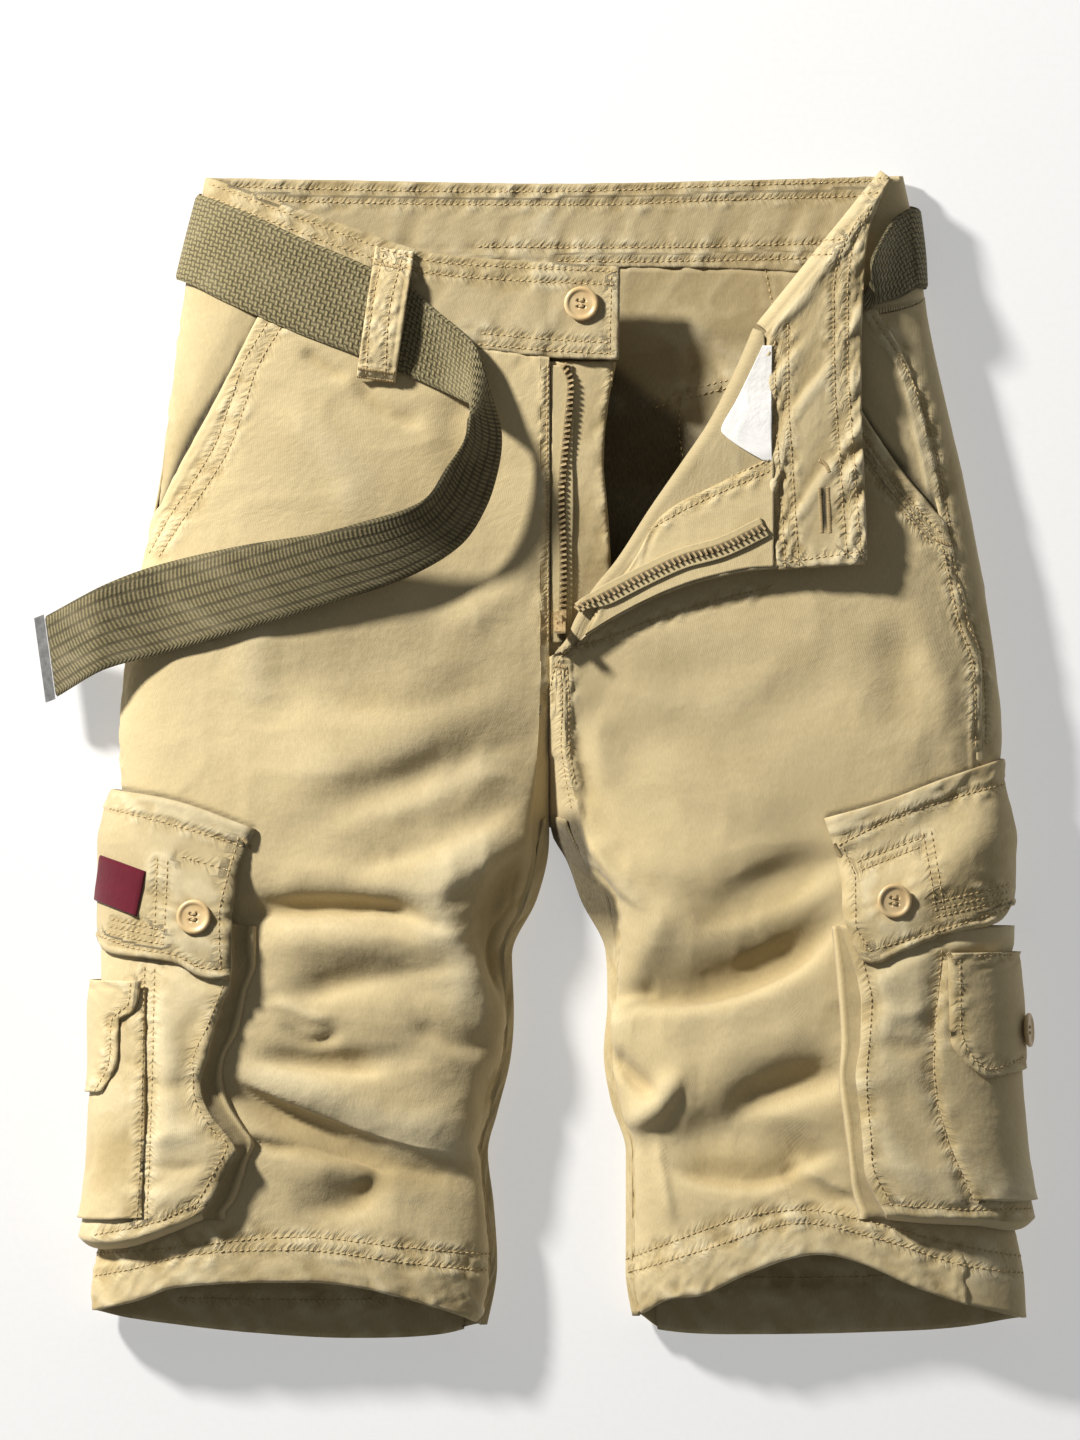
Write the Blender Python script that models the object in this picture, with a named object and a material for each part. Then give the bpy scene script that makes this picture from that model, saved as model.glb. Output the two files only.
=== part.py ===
"""Cargo shorts laid on their back with the fly open, and their own webbing belt.

Axes: +X to the viewer's right, +Y to the waist, +Z up. The garment lies on z = 0. The tables are in
millimetres, with y = 0 at the crotch level; the part's origin lies on the back, SEAT above that level.
Every panel is a wall whose outer face follows one surface: for each half a row of cross sections
(Section), read smoothly between the rows, with the large folds (Fold) added to it.
"""

from collections import namedtuple
from math import pi

import bpy
import numpy as np

MM = 0.001
SEAT = 60.0  # origin above the crotch level
CLOTH = 1.6  # one layer of twill with its seams pressed
DOUBLE = 2.2  # a flap or a band: two layers
WEBBING = 2.2
GAP = 0.3  # between pieces that touch
LIE = 0.9  # between cloth that lies on other cloth
SEAM = 0.35  # each of two sewn pieces is drawn in this far at their seam
CREST = 0.45  # where a section is highest, as a share of its width from the outer side
ROUNDNESS = 2.5  # exponent of the sections' rounded shoulders
SIDE_ROLL = 22.0  # how far the side turns in under the garment
CROTCH_SEAM_Y = -3.0  # where the four panels meet
APEX_Y = -11.0  # the fold between the legs
SEAM_X = -3.0  # centre front and centre back
BELT_ROOM = WEBBING + GAP  # the back waist is lifted this far by the belt that lies under it

# ---------------------------------------------------------------- tables

# outer, edge and contour are x; crown, middle, lip and side are heights. From the outer side the section
# rises over the crown to the contour (height middle), then runs as a low shelf to the edge (height lip).
Section = namedtuple("Section", "y outer contour edge crown middle lip side")

LEFT_SECTIONS = [
    Section(345, -188, -8, -3, 30, 29, 28, 8),
    Section(300, -196, -8, -3, 38, 34, 33, 12),
    Section(260, -202, -8, -3, 42, 38, 37, 15),
    Section(221, -207, -8, -3, 44, 40, 39, 16),
    Section(167, -215, -8, -3, 46, 42, 41, 17),
    Section(113, -225, -8, -3, 48, 42, 40, 18),
    Section(70, -232, -8, -3, 49, 36, 33, 18),
    Section(38, -234, -9, -3, 50, 28, 20, 18),
    Section(5, -232, -11, -3, 51, 18, 7, 18),
    Section(-12, -231, -12, -3, 51, 14, 5, 18),
    Section(-27, -231, -13, -4, 51, 14, 7, 18),
    Section(-49, -231, -18, -10, 50, 16, 10, 18),
    Section(-78, -232, -29, -23, 50, 18, 14, 18),
    Section(-108, -232, -27, -22, 50, 18, 15, 18),
    Section(-135, -232, -29, -24, 50, 18, 15, 18),
    Section(-163, -234, -36, -31, 49, 18, 16, 18),
    Section(-184, -236, -41, -36, 48, 18, 16, 18),
    Section(-211, -240, -38, -33, 47, 18, 16, 18),
    Section(-244, -247, -36, -31, 46, 18, 16, 17),
    Section(-285, -250, -43, -38, 44, 18, 16, 17),
]
RIGHT_SECTIONS = [
    Section(345, 187, 3, -3, 30, 29, 28, 8),
    Section(300, 196, 3, -3, 38, 34, 33, 12),
    Section(276, 199, 3, -3, 40, 36, 35, 14),
    Section(248, 204, 3, -3, 42, 39, 38, 15),
    Section(208, 213, 3, -3, 44, 40, 39, 16),
    Section(167, 222, 3, -3, 46, 42, 41, 17),
    Section(113, 232, 3, -3, 48, 42, 40, 18),
    Section(70, 238, 3, -3, 49, 37, 33, 18),
    Section(38, 240, 5, -3, 50, 31, 20, 18),
    Section(5, 236, 10, -3, 51, 27, 7, 18),
    Section(-12, 234, 14, -2, 51, 24, 5, 18),
    Section(-27, 233, 19, 6, 51, 22, 7, 18),
    Section(-49, 233, 34, 14, 50, 20, 10, 18),
    Section(-76, 233, 35, 27, 50, 18, 13, 18),
    Section(-103, 233, 33, 28, 50, 18, 15, 18),
    Section(-130, 234, 31, 26, 50, 18, 15, 18),
    Section(-157, 235, 35, 30, 49, 18, 16, 18),
    Section(-184, 238, 43, 38, 48, 18, 16, 18),
    Section(-211, 244, 43, 38, 47, 18, 16, 18),
    Section(-248, 252, 43, 38, 46, 18, 16, 17),
    Section(-285, 254, 49, 44, 44, 18, 16, 17),
]

# A fold runs from x0, y0 past xm, ym to x1, y1; rise is its height above the plain surface.
Fold = namedtuple("Fold", "x0 y0 xm ym x1 y1 width rise")

LEFT_FOLDS = [
    Fold(-168, -55, -115, -51, -66, -60, 9, -6),
    Fold(-160, -74, -118, -70, -70, -78, 10, 3),
    Fold(-142, -98, -104, -94, -60, -95, 8, -3),
    Fold(-164, -132, -122, -137, -84, -134, 8, -4),
    Fold(-176, -143, -127, -165, -44, -188, 10, -7),
    Fold(-170, -160, -120, -184, -60, -200, 11, 3),
    Fold(-124, -208, -111, -204, -98, -212, 9, -5),
    Fold(-140, -12, -70, 18, -14, 36, 12, -3),
    Fold(-190, 60, -120, 70, -60, 92, 22, -4),
]
RIGHT_FOLDS = [
    Fold(95, -50, 120, -36, 148, -30, 9, -5),
    Fold(78, -97, 118, -84, 148, -58, 9, -5),
    Fold(100, -158, 128, -147, 152, -145, 9, -6),
    Fold(30, -128, 41, -142, 60, -158, 7, -4),
    Fold(68, -140, 55, -158, 42, -174, 8, 4),
    Fold(58, -180, 95, -172, 134, -184, 14, -8),
    Fold(130, -194, 148, -202, 166, -214, 8, -4),
    Fold(17, -12, 38, -31, 58, -52, 7, -4),
    Fold(40, 66, 100, 58, 160, 74, 22, -4),
]

Line = namedtuple("Line", "x y")
WAIST_SEAM_LEFT = [Line(-197, 285), Line(-170, 275), Line(-138, 266), Line(-111, 258), Line(-81, 251),
                   Line(-35, 247), Line(1, 243), Line(34, 242)]
WAIST_TOP_LEFT = [Line(-187, 341), Line(-159, 331), Line(-127, 320), Line(-94, 308), Line(-73, 301),
                  Line(-30, 296), Line(3, 294), Line(35, 292)]
WAIST_SEAM_RIGHT = [Line(112, 256), Line(140, 263), Line(169, 269), Line(199, 276)]
WAIST_SEAM_BACK = [Line(-197, 285), Line(-160, 292), Line(0, 293), Line(120, 291), Line(199, 276)]
WAIST_TOP_BACK = [Line(-187, 341), Line(-122, 340), Line(0, 338), Line(110, 340), Line(187, 342)]
HEM_FRONT_LEFT = [Line(-249, -269), Line(-224, -263), Line(-204, -256), Line(-138, -253), Line(-110, -255),
                  Line(-84, -261), Line(-52, -271), Line(-38, -277)]
HEM_BACK_LEFT = [Line(-249, -269), Line(-235, -273), Line(-202, -278), Line(-165, -282), Line(-110, -285),
                 Line(-62, -283), Line(-38, -277)]
HEM_FRONT_RIGHT = [Line(44, -272), Line(60, -263), Line(79, -260), Line(100, -250), Line(127, -240),
                   Line(142, -238), Line(165, -243), Line(187, -253), Line(214, -263), Line(253, -273)]
HEM_BACK_RIGHT = [Line(44, -272), Line(54, -280), Line(100, -283), Line(165, -282), Line(219, -279),
                  Line(253, -273)]
# Slant pocket mouths, the side seam where it shows, and the line on which the right front turns over.
MOUTH_LEFT = [Line(-217, 151), Line(-211, 167), Line(-182, 221), Line(-157, 270)]
MOUTH_RIGHT = [Line(211, 153), Line(203, 162), Line(181, 189), Line(163, 217), Line(140, 264)]
SIDE_SEAM_RIGHT = [Line(221, -290), Line(219, -100), Line(229, 27), Line(229, 76), Line(220, 113),
                   Line(212, 146), Line(208, 165), Line(200, 200), Line(190, 238), Line(170, 272)]
TURN_LINE = [Line(0, 80), Line(9, 90), Line(14, 101), Line(24, 117), Line(35, 131), Line(51, 159),
             Line(68, 184), Line(84, 205), Line(100, 235), Line(112, 256)]
FLY_EDGE = [Line(0, 81), Line(9, 88), Line(24, 98), Line(40, 107), Line(57, 115), Line(73, 121),
            Line(88, 125), Line(103, 128), Line(113.5, 129)]
MOUTH_END_LEFT_Y = 152.0
MOUTH_END_RIGHT_Y = 154.0
TURN_LOW_Y = 80.0
TURN_ROOM = [Line(0, 3.6), Line(112, 10.0), Line(190, 10.0)]  # between the layers, by x


# ---------------------------------------------------------------- curves and surface


def smooth(xs, ys, at):
    """A smooth curve through the points (xs, ys) with no overshoot, read at `at`."""
    order = np.argsort(xs)
    xs = np.asarray(xs, float)[order]
    ys = np.asarray(ys, float)[order]
    steps = np.diff(ys) / np.diff(xs)
    slopes = np.empty(len(xs))
    slopes[0], slopes[-1] = steps[0], steps[-1]
    same_way = steps[:-1] * steps[1:] > 0
    slopes[1:-1] = np.where(same_way, (steps[:-1] + steps[1:]) / 2, 0.0)
    limit = 3 * np.minimum(np.abs(steps[:-1]), np.abs(steps[1:]))
    slopes[1:-1] = np.clip(slopes[1:-1], -limit, limit)
    at = np.clip(np.asarray(at, float), xs[0], xs[-1])
    i = np.clip(np.searchsorted(xs, at) - 1, 0, len(xs) - 2)
    h = xs[i + 1] - xs[i]
    t = (at - xs[i]) / h
    return ((2 * t**3 - 3 * t**2 + 1) * ys[i] + (t**3 - 2 * t**2 + t) * h * slopes[i]
            + (3 * t**2 - 2 * t**3) * ys[i + 1] + (t**3 - t**2) * h * slopes[i + 1])


def line_y(line, x):
    return smooth([p.x for p in line], [p.y for p in line], x)


def line_x(line, y):
    return smooth([p.y for p in line], [p.x for p in line], y)


def along(line, share):
    """The point at this share of a line's length."""
    points = np.array(line, float)
    length = np.concatenate([[0], np.cumsum(np.linalg.norm(np.diff(points, axis=0), axis=1))])
    length /= length[-1]
    return np.stack([smooth(length, points[:, 0], share), smooth(length, points[:, 1], share)], -1)


def step(value, low, high):
    t = np.clip((np.asarray(value, float) - low) / (high - low), 0, 1)
    return t * t * (3 - 2 * t)


def fold_height(folds, x, y):
    total = np.zeros(np.broadcast(x, y).shape)
    for fold in folds:
        share = np.linspace(0, 1, 13)
        px = (1 - share)**2 * fold.x0 + 2 * share * (1 - share) * (2 * fold.xm - (fold.x0 + fold.x1) / 2)
        px += share**2 * fold.x1
        py = (1 - share)**2 * fold.y0 + 2 * share * (1 - share) * (2 * fold.ym - (fold.y0 + fold.y1) / 2)
        py += share**2 * fold.y1
        square = (x[..., None] - px)**2 + (y[..., None] - py)**2
        nearest = square.argmin(-1)
        distance = square.min(-1)
        taper = np.sin(pi * (0.12 + 0.76 * share[nearest]))
        total += fold.rise * taper * np.exp(-distance / fold.width**2)
    return total


class Half:
    """One half of the shorts: a surface read by place across (s) and level (y).

    s runs from -1, where the side meets the floor, by 0 at the widest point of the side, over the top to
    1 at the contour and 2 at the edge: the centre seam, or the inner side of the leg.
    """

    def __init__(self, sections, folds, inward):
        self.rows = sections
        self.folds = folds
        self.inward = inward  # +1 where inward is +x
        self.levels = [row.y for row in sections]

    def at(self, name, y):
        return smooth(self.levels, [getattr(row, name) for row in self.rows], y)

    def floor_lift(self, y):
        return BELT_ROOM * step(y, 244, 262)

    def point(self, s, y):
        s, y = np.broadcast_arrays(np.asarray(s, float), np.asarray(y, float))
        outer, contour, edge = self.at("outer", y), self.at("contour", y), self.at("edge", y)
        crown, middle, lip, side = (self.at(name, y) for name in ("crown", "middle", "lip", "side"))
        over = np.clip(s, 0, 1)
        out_k = np.cos(pi * np.minimum(over, 0.5))**(2 / ROUNDNESS)
        in_k = np.sin(pi * np.maximum(over - 0.5, 0))**(2 / ROUNDNESS)
        w = np.where(over < 0.5, CREST * (1 - out_k), CREST + (1 - CREST) * in_k)
        shoulder = np.clip(1 - np.clip(out_k, 0, 1)**ROUNDNESS, 0, 1)**(1 / ROUNDNESS)
        leg = step(-y, -45, 45)
        inner = leg * np.clip(1 - in_k**ROUNDNESS, 0, 1)**(1 / ROUNDNESS)
        inner = inner + (1 - leg) * np.cos(pi / 2 * in_k)**2
        z = np.where(over < 0.5, side + (crown - side) * shoulder, middle + (crown - middle) * inner)
        x = outer + (contour - outer) * w
        fade = step(over, 0.02, 0.2) * (1 - leg * step(over, 0.85, 1.0))
        z = z + fade * fold_height(self.folds, x, y)
        shelf = np.clip(s - 1, 0, 1)
        x = x + (edge - contour) * shelf
        z = z + (lip - middle) * shelf
        turn = np.clip(-s, 0, 1) * pi / 2
        x = x + self.inward * SIDE_ROLL * (1 - np.cos(turn))
        z = z + (self.floor_lift(y) - side) * np.sin(turn)
        return np.stack([x, y, z], -1)

    def normal(self, s, y):
        ds, dy = 0.004, 0.5
        across = self.point(s + ds, y) - self.point(s - ds, y)
        up = self.point(s, y + dy) - self.point(s, y - dy)
        n = np.cross(across, up) * self.inward
        return n / np.maximum(np.linalg.norm(n, axis=-1, keepdims=True), 1e-9)

    def raised(self, s, y, by):
        by = np.asarray(by, float)
        return self.point(s, y) + self.normal(s, y) * by[..., None]

    def place(self, x, y):
        """The s of the point x, y of the top."""
        x, y = np.broadcast_arrays(np.asarray(x, float), np.asarray(y, float))
        outer, contour, edge = self.at("outer", y), self.at("contour", y), self.at("edge", y)
        w = np.clip((x - outer) / (contour - outer), 0, 1)
        out_k = np.clip(1 - w / CREST, 0, 1)
        in_k = np.clip((w - CREST) / (1 - CREST), 0, 1)
        s_out = np.arccos(out_k**(ROUNDNESS / 2)) / pi
        s_in = 0.5 + np.arcsin(in_k**(ROUNDNESS / 2)) / pi
        shelf = np.clip((x - contour) / (edge - contour), 0, 1)
        return np.where(w < CREST, s_out, s_in) + shelf

    def place_over(self, x, y, by):
        """The s whose point, raised by `by`, has this x."""
        x, y, by = np.broadcast_arrays(*(np.asarray(value, float) for value in (x, y, by)))
        low, high = np.zeros(x.shape), np.ones(x.shape)
        for _ in range(20):
            s = (low + high) / 2
            past = (self.raised(s, y, by)[..., 0] - x) * self.inward > 0
            low, high = np.where(past, low, s), np.where(past, s, high)
        return (low + high) / 2

    def height(self, x, y):
        return self.point(self.place(x, y), y)[..., 2]

    def on_top(self, x, y, by):
        """The point over x, y at `by` above the surface, still above x, y."""
        return np.stack(np.broadcast_arrays(x, y, self.height(x, y) + by), -1)


LEFT = Half(LEFT_SECTIONS, LEFT_FOLDS, 1)
RIGHT = Half(RIGHT_SECTIONS, RIGHT_FOLDS, -1)


# ---------------------------------------------------------------- making solids


def material(name, colour, roughness=0.85, metallic=0.0):
    made = bpy.data.materials.get(name) or bpy.data.materials.new(name)
    made.use_nodes = True
    shader = made.node_tree.nodes["Principled BSDF"]
    shader.inputs["Base Color"].default_value = (*colour, 1)
    shader.inputs["Roughness"].default_value = roughness
    shader.inputs["Metallic"].default_value = metallic
    return made


def mesh_object(name, points, faces, finish):
    """points are in the tables' millimetres."""
    mesh = bpy.data.meshes.new(name)
    placed = (np.asarray(points, float) - (0, SEAT, 0)) * MM
    mesh.from_pydata([tuple(p) for p in placed], [], faces)
    mesh.materials.append(finish)
    mesh.shade_smooth()
    obj = bpy.data.objects.new(name, mesh)
    bpy.context.scene.collection.objects.link(obj)
    return obj


def facing_out(points, faces):
    points = np.asarray(points, float)
    volume = 0.0
    for face in faces:
        a = points[face[0]]
        for b, c in zip(face[1:-1], face[2:]):
            volume += np.dot(a, np.cross(points[b], points[c]))
    return faces if volume > 0 else [tuple(reversed(face)) for face in faces]


def wall(name, outer, inner, finish):
    """One closed wall between two grids of points; where a grid holds NaN it has no cloth."""
    there = ~np.isnan(outer[..., 0])
    index = -np.ones(there.shape, int)
    index[there] = np.arange(there.sum())
    count = int(there.sum())
    faces, edges = [], {}
    for i in range(there.shape[0] - 1):
        for j in range(there.shape[1] - 1):
            quad = (index[i, j], index[i, j + 1], index[i + 1, j + 1], index[i + 1, j])
            if min(quad) < 0:
                continue
            faces.append(tuple(int(v) for v in quad))
            faces.append(tuple(int(v) + count for v in reversed(quad)))
            for a, b in zip(quad, quad[1:] + quad[:1]):
                edges[(int(a), int(b))] = True
    for a, b in edges:
        if (b, a) not in edges:
            faces.append((b, a, a + count, b + count))
    points = np.concatenate([outer[there], inner[there]])
    return mesh_object(name, points, facing_out(points, faces), finish)


def trim(grids, first_row=0.0, last_row=0.0, first_col=0.0, last_col=0.0):
    """Draws a piece's border in along the cloth, which leaves the gap at a seam."""
    for grid in grids:
        for amount, here, there in (
            (first_row, grid[0], grid[1]),
            (last_row, grid[-1], grid[-2]),
            (first_col, grid[:, 0], grid[:, 1]),
            (last_col, grid[:, -1], grid[:, -2]),
        ):
            if amount:
                way = there - here
                far = np.maximum(np.linalg.norm(way, axis=-1, keepdims=True), 1e-6)
                here += np.where(np.isnan(way), 0, way / far * amount)
    return grids


# ---------------------------------------------------------------- panels

INSEAM_S = 1.25  # the front's inner edge along the leg: a little past the contour
LOW_ROWS = np.linspace(-36, -262, 15)
ROWS = np.concatenate([np.linspace(262, 98, 9), [89, TURN_LOW_Y, 60, 38, 16, CROTCH_SEAM_Y, -9, -22],
                       LOW_ROWS])
BACK_ROWS = np.concatenate([np.linspace(290, 38, 12), [16, -4], [-14, -24], LOW_ROWS])
MAIN = 15  # columns of a front, from its outer border to the contour


def bent(rows, top, hem, reach):
    """The y of each point: rows bend to the waist line at their top and to the hem line at the bottom."""
    y = rows[:, None] + (top - rows[0]) * (1 - step(rows[0] - rows, 0, reach))[:, None]
    return y + (hem - rows[-1]) * step(-rows, 60, 262)[:, None]


def front_places(start, end, columns):
    """s for each point: even from the outer border to the contour, then over the shelf."""
    inner = np.where(ROWS >= CROTCH_SEAM_Y - 0.1, 2.0, INSEAM_S)[:, None]
    shelf = np.linspace(0, 1, 4)[1:]
    return np.concatenate([start + (end - start) * np.linspace(0, 1, columns), 1 + (inner - 1) * shelf], axis=1)


def front_grid(half, start, end, top_line, hem_line):
    y = ROWS[:, None] * np.ones(MAIN + 3)
    for _ in range(4):
        s = front_places(start(y[:, :1]), end(y[:, MAIN - 1:MAIN]), MAIN)
        x = half.point(s, y)[..., 0]
        y = bent(ROWS, line_y(top_line, x[0]), line_y(hem_line, x[-1]), 105)
    return s, y


def front_left(finish):
    def start(y):
        return np.where(y > MOUTH_END_LEFT_Y, LEFT.place(line_x(MOUTH_LEFT, y), y), 0.0)

    s, y = front_grid(LEFT, start, lambda y: 1.0 + 0 * y, WAIST_SEAM_LEFT, HEM_FRONT_LEFT)
    outer, inner = LEFT.point(s, y), LEFT.raised(s, y, -CLOTH)
    trim((outer, inner), first_row=SEAM, first_col=SEAM, last_col=SEAM)
    return wall("front_left", outer, inner, finish)


def turned(turn_points, end_points, out, share):
    """Outer and inner points of cloth that rolls over at turn_points and lies back to end_points.

    All are x, y; out is the direction of the roll, and share runs from 0 at the turn to 1 at the end.
    """
    room = line_y(TURN_ROOM, turn_points[..., 0])[..., None]
    base = RIGHT.height(turn_points[..., 0], turn_points[..., 1])[..., None]
    outer, inner = [], []
    for angle in np.radians((36, 72, 108, 144)):
        for reach, found in ((0.5 * room, outer), (0.5 * room + CLOTH, inner)):
            place = turn_points + out * reach * np.sin(angle)
            found.append(np.concatenate([place, base + 0.5 * room - reach * np.cos(angle)], -1))
    for part in share:
        place = turn_points + (end_points - turn_points) * part
        outer.append(on_turn(place[..., 0], place[..., 1], 0))
        inner.append(on_turn(place[..., 0], place[..., 1], CLOTH))
    return np.stack(outer, 1), np.stack(inner, 1)


def on_turn(x, y, by):
    """A point on the turned-over front corner, `by` above the lower face of its cloth."""
    return RIGHT.on_top(x, y, line_y(TURN_ROOM, x) + by)


def front_right(finish):
    def start(y):
        border = np.where(y > MOUTH_END_RIGHT_Y, line_x(MOUTH_RIGHT, y), line_x(SIDE_SEAM_RIGHT, y))
        return RIGHT.place(border, y)

    def end(y):
        return np.where(ROWS[:, None] > TURN_LOW_Y + 1, RIGHT.place(line_x(TURN_LINE, y), y), 1.0)

    s, y = front_grid(RIGHT, start, end, WAIST_SEAM_RIGHT, HEM_FRONT_RIGHT)
    y[:, MAIN:] = y[:, MAIN - 1:MAIN]
    outer, inner = RIGHT.point(s, y), RIGHT.raised(s, y, -CLOTH)
    trim((outer, inner), first_row=SEAM, first_col=SEAM, last_col=SEAM)

    turning = ROWS > TURN_LOW_Y + 1
    turn = outer[turning, MAIN - 1, :2]
    way = np.gradient(turn, axis=0)
    out = np.stack([way[:, 1], -way[:, 0]], -1) / np.linalg.norm(way, axis=1, keepdims=True)
    ends = along(FLY_EDGE, np.linspace(1, 0.14, turning.sum()))
    rolled, rolled_in = turned(turn, ends, out, np.linspace(0, 1, 7))
    whole, whole_in = (np.full((len(ROWS), MAIN + rolled.shape[1], 3), np.nan) for _ in range(2))
    for grid, panel, roll in ((whole, outer, rolled), (whole_in, inner, rolled_in)):
        grid[:, :MAIN + 3] = panel
        grid[turning, MAIN:] = roll
    return wall("front_right", whole, whole_in, finish)


def back_top_rows(half, top_line, hem_line, x):
    """The y of the back's rows where it ends on the top of the garment, at x."""
    return bent(BACK_ROWS, line_y(top_line, x), line_y(hem_line, x), 110)


def back(name, half, hem_line, top_columns, finish):
    """The back: flat on the floor, up round the side, and below the crotch up round the inside leg too."""
    rows = BACK_ROWS
    leg = rows < APEX_Y

    def bend(x):
        return bent(rows, line_y(WAIST_SEAM_BACK, x), line_y(hem_line, x), 110)

    roll = 4 + 12 * step(-rows, 14, 60)
    outer_x = half.at("outer", rows) + half.inward * SIDE_ROLL
    inner_x = np.where(leg, half.at("edge", rows) - half.inward * roll, SEAM_X - 1 - half.inward * SEAM / 2)
    x = inner_x[:, None] + (outer_x - inner_x)[:, None] * np.linspace(0, 1, 6)
    y = bend(x)
    floor = np.stack([x, y, half.floor_lift(y)], -1)
    parts = [(floor, floor + (0, 0, CLOTH))]

    side_y = bend(np.repeat(half.at("outer", rows)[:, None], 5, 1))
    side = np.linspace(-1, 0, 6)[1:] + 0 * side_y
    parts.append((half.point(side, side_y), half.raised(side, side_y, -CLOTH)))
    if top_columns:
        share = np.linspace(0, 1, top_columns + 1)[1:]
        outer_line = half.at("outer", rows)[:, None]
        top_y = back_top_rows(half, WAIST_SEAM_RIGHT, HEM_FRONT_RIGHT, outer_line)
        for _ in range(4):
            seam_x = line_x(SIDE_SEAM_RIGHT, top_y[:, -1:])
            top_s = half.place(seam_x, top_y[:, -1:]) * share
            top_y = back_top_rows(half, WAIST_SEAM_RIGHT, HEM_FRONT_RIGHT, half.point(top_s, top_y)[..., 0])
        parts.append((half.point(top_s, top_y), half.raised(top_s, top_y, -CLOTH)))

    near = np.exp(-(-14 - rows) / 8.0)[:, None] * leg[:, None]
    shelf_y = bend(np.repeat(half.at("contour", rows)[:, None], 3, 1)) + near * np.array([5.5, 7, 8.5])
    shelf = np.linspace(INSEAM_S, 2, 3) + 0 * shelf_y
    shelf_points = half.point(shelf, shelf_y)
    shelf_in = half.raised(shelf, shelf_y, -CLOTH)
    edge_out = np.array([half.inward, 0, 1]) / 2**0.5
    shelf_in[:, -1] = shelf_points[:, -1] - edge_out * CLOTH
    turns = np.array([30, 60]) * pi / 180
    arc_y = bend(np.repeat(half.at("edge", rows)[:, None], 2, 1)) + near * np.array([6, 3])
    edge, lip = half.at("edge", arc_y), half.at("lip", arc_y)
    ahead = half.inward * roll[:, None]
    arc = np.stack([edge - ahead * (1 - np.cos(turns)), arc_y, lip * (1 - np.sin(turns))], -1)
    out = np.stack([half.inward * lip * np.cos(turns), 0 * lip, -np.abs(ahead) * np.sin(turns)], -1)
    out /= np.linalg.norm(out, axis=-1, keepdims=True)
    parts.insert(0, (arc, arc - out * CLOTH))
    parts.insert(0, (shelf_points, shelf_in))
    for points, inside in parts[:2]:
        for grid in (points, inside):
            grid[..., 0] -= half.inward * SEAM * near
            grid[~leg] = np.nan
    for points, inside in parts[:1]:
        for grid in (points, inside):
            grid[:, 0, 0] += half.inward * 3.4 * near[:, 0]
    whole, whole_in = (np.concatenate([part[i] for part in parts], 1) for i in (0, 1))
    trim((whole, whole_in), first_row=SEAM, first_col=2 * SEAM, last_col=SEAM)
    return wall(name, whole, whole_in, finish)


def facing(name, half, mouth, side_x, rows, top_line, finish):
    """The cloth inside a slant pocket's mouth: flush at the side seam, and under the front at the mouth."""
    lap, drop = 12.0, CLOTH + 2 * GAP
    y = rows[:, None] * np.ones(7)
    for _ in range(4):
        outer_s = half.place(side_x(y[:, :1]), y[:, :1])
        far = half.place(line_x(mouth, y[:, -1:]) + half.inward * lap, y[:, -1:])
        s = outer_s + (far - outer_s) * np.linspace(0, 1, 7)
        top = line_y(top_line, half.point(s, y)[0, :, 0])
        y = rows[:, None] + (top - rows[0]) * step(rows, 205, rows[0])[:, None]
    x = half.point(s, y)[..., 0]
    depth = drop * step((x - line_x(mouth, y)) * half.inward, -14, -2)
    outer, inner = half.raised(s, y, -depth), half.raised(s, y, -depth - CLOTH)
    trim((outer, inner), first_row=SEAM, first_col=SEAM)
    return wall(name, outer, inner, finish)


# ---------------------------------------------------------------- waistband


def waistband_left(finish):
    share = np.linspace(0, 1, 13)**1.5
    part = np.linspace(0, 1, 4)[:, None]
    top_x = WAIST_TOP_LEFT[0].x + (WAIST_TOP_LEFT[-1].x - WAIST_TOP_LEFT[0].x) * share
    seam_x = WAIST_SEAM_LEFT[0].x + (WAIST_SEAM_LEFT[-1].x - WAIST_SEAM_LEFT[0].x) * share
    x = top_x + (seam_x - top_x) * part
    y = line_y(WAIST_TOP_LEFT, top_x) * (1 - part) + line_y(WAIST_SEAM_LEFT, seam_x) * part
    s = LEFT.place(x, y)
    s[:, 0] = 0
    x[:, 0] = LEFT.at("outer", y[:, 0])
    outer = np.stack([x, y, LEFT.point(s, y)[..., 2]], -1)
    inner = outer + LEFT.normal(s, y) * -DOUBLE
    trim((outer, inner), last_row=SEAM, first_col=SEAM)
    return wall("waistband_front_left", outer, inner, finish)


def waistband_back(finish):
    part = np.linspace(0, 1, 4)[:, None]
    turn = np.linspace(0, -1, 6)

    def across(half):
        x = half.point(turn, 320.0)[:, 0]
        y = line_y(WAIST_TOP_BACK, x) * (1 - part) + line_y(WAIST_SEAM_BACK, x) * part
        return half.point(turn, y), half.raised(turn, y, -DOUBLE)

    x = np.linspace(-150, 150, 8)
    y = line_y(WAIST_TOP_BACK, x) * (1 - part) + line_y(WAIST_SEAM_BACK, x) * part
    floor = np.stack(np.broadcast_arrays(x, y, LEFT.floor_lift(y)), -1)
    left, right = across(LEFT), across(RIGHT)
    outer = np.concatenate([left[0], floor, right[0][:, ::-1]], 1)
    inner = np.concatenate([left[1], floor + (0, 0, DOUBLE), right[1][:, ::-1]], 1)
    trim((outer, inner), last_row=2 * SEAM, first_col=SEAM, last_col=SEAM)
    return wall("waistband_back", outer, inner, finish)


BAND_TURN = [Line(180, 340), Line(113, 257)]
BAND_FREE_TOP = [Line(180, 340), Line(169, 313), Line(165, 275), Line(164, 221), Line(166, 167), Line(167, 132)]
BAND_FREE_SEAM = [Line(113, 257), Line(114, 221), Line(115, 167), Line(119, 129)]


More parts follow.
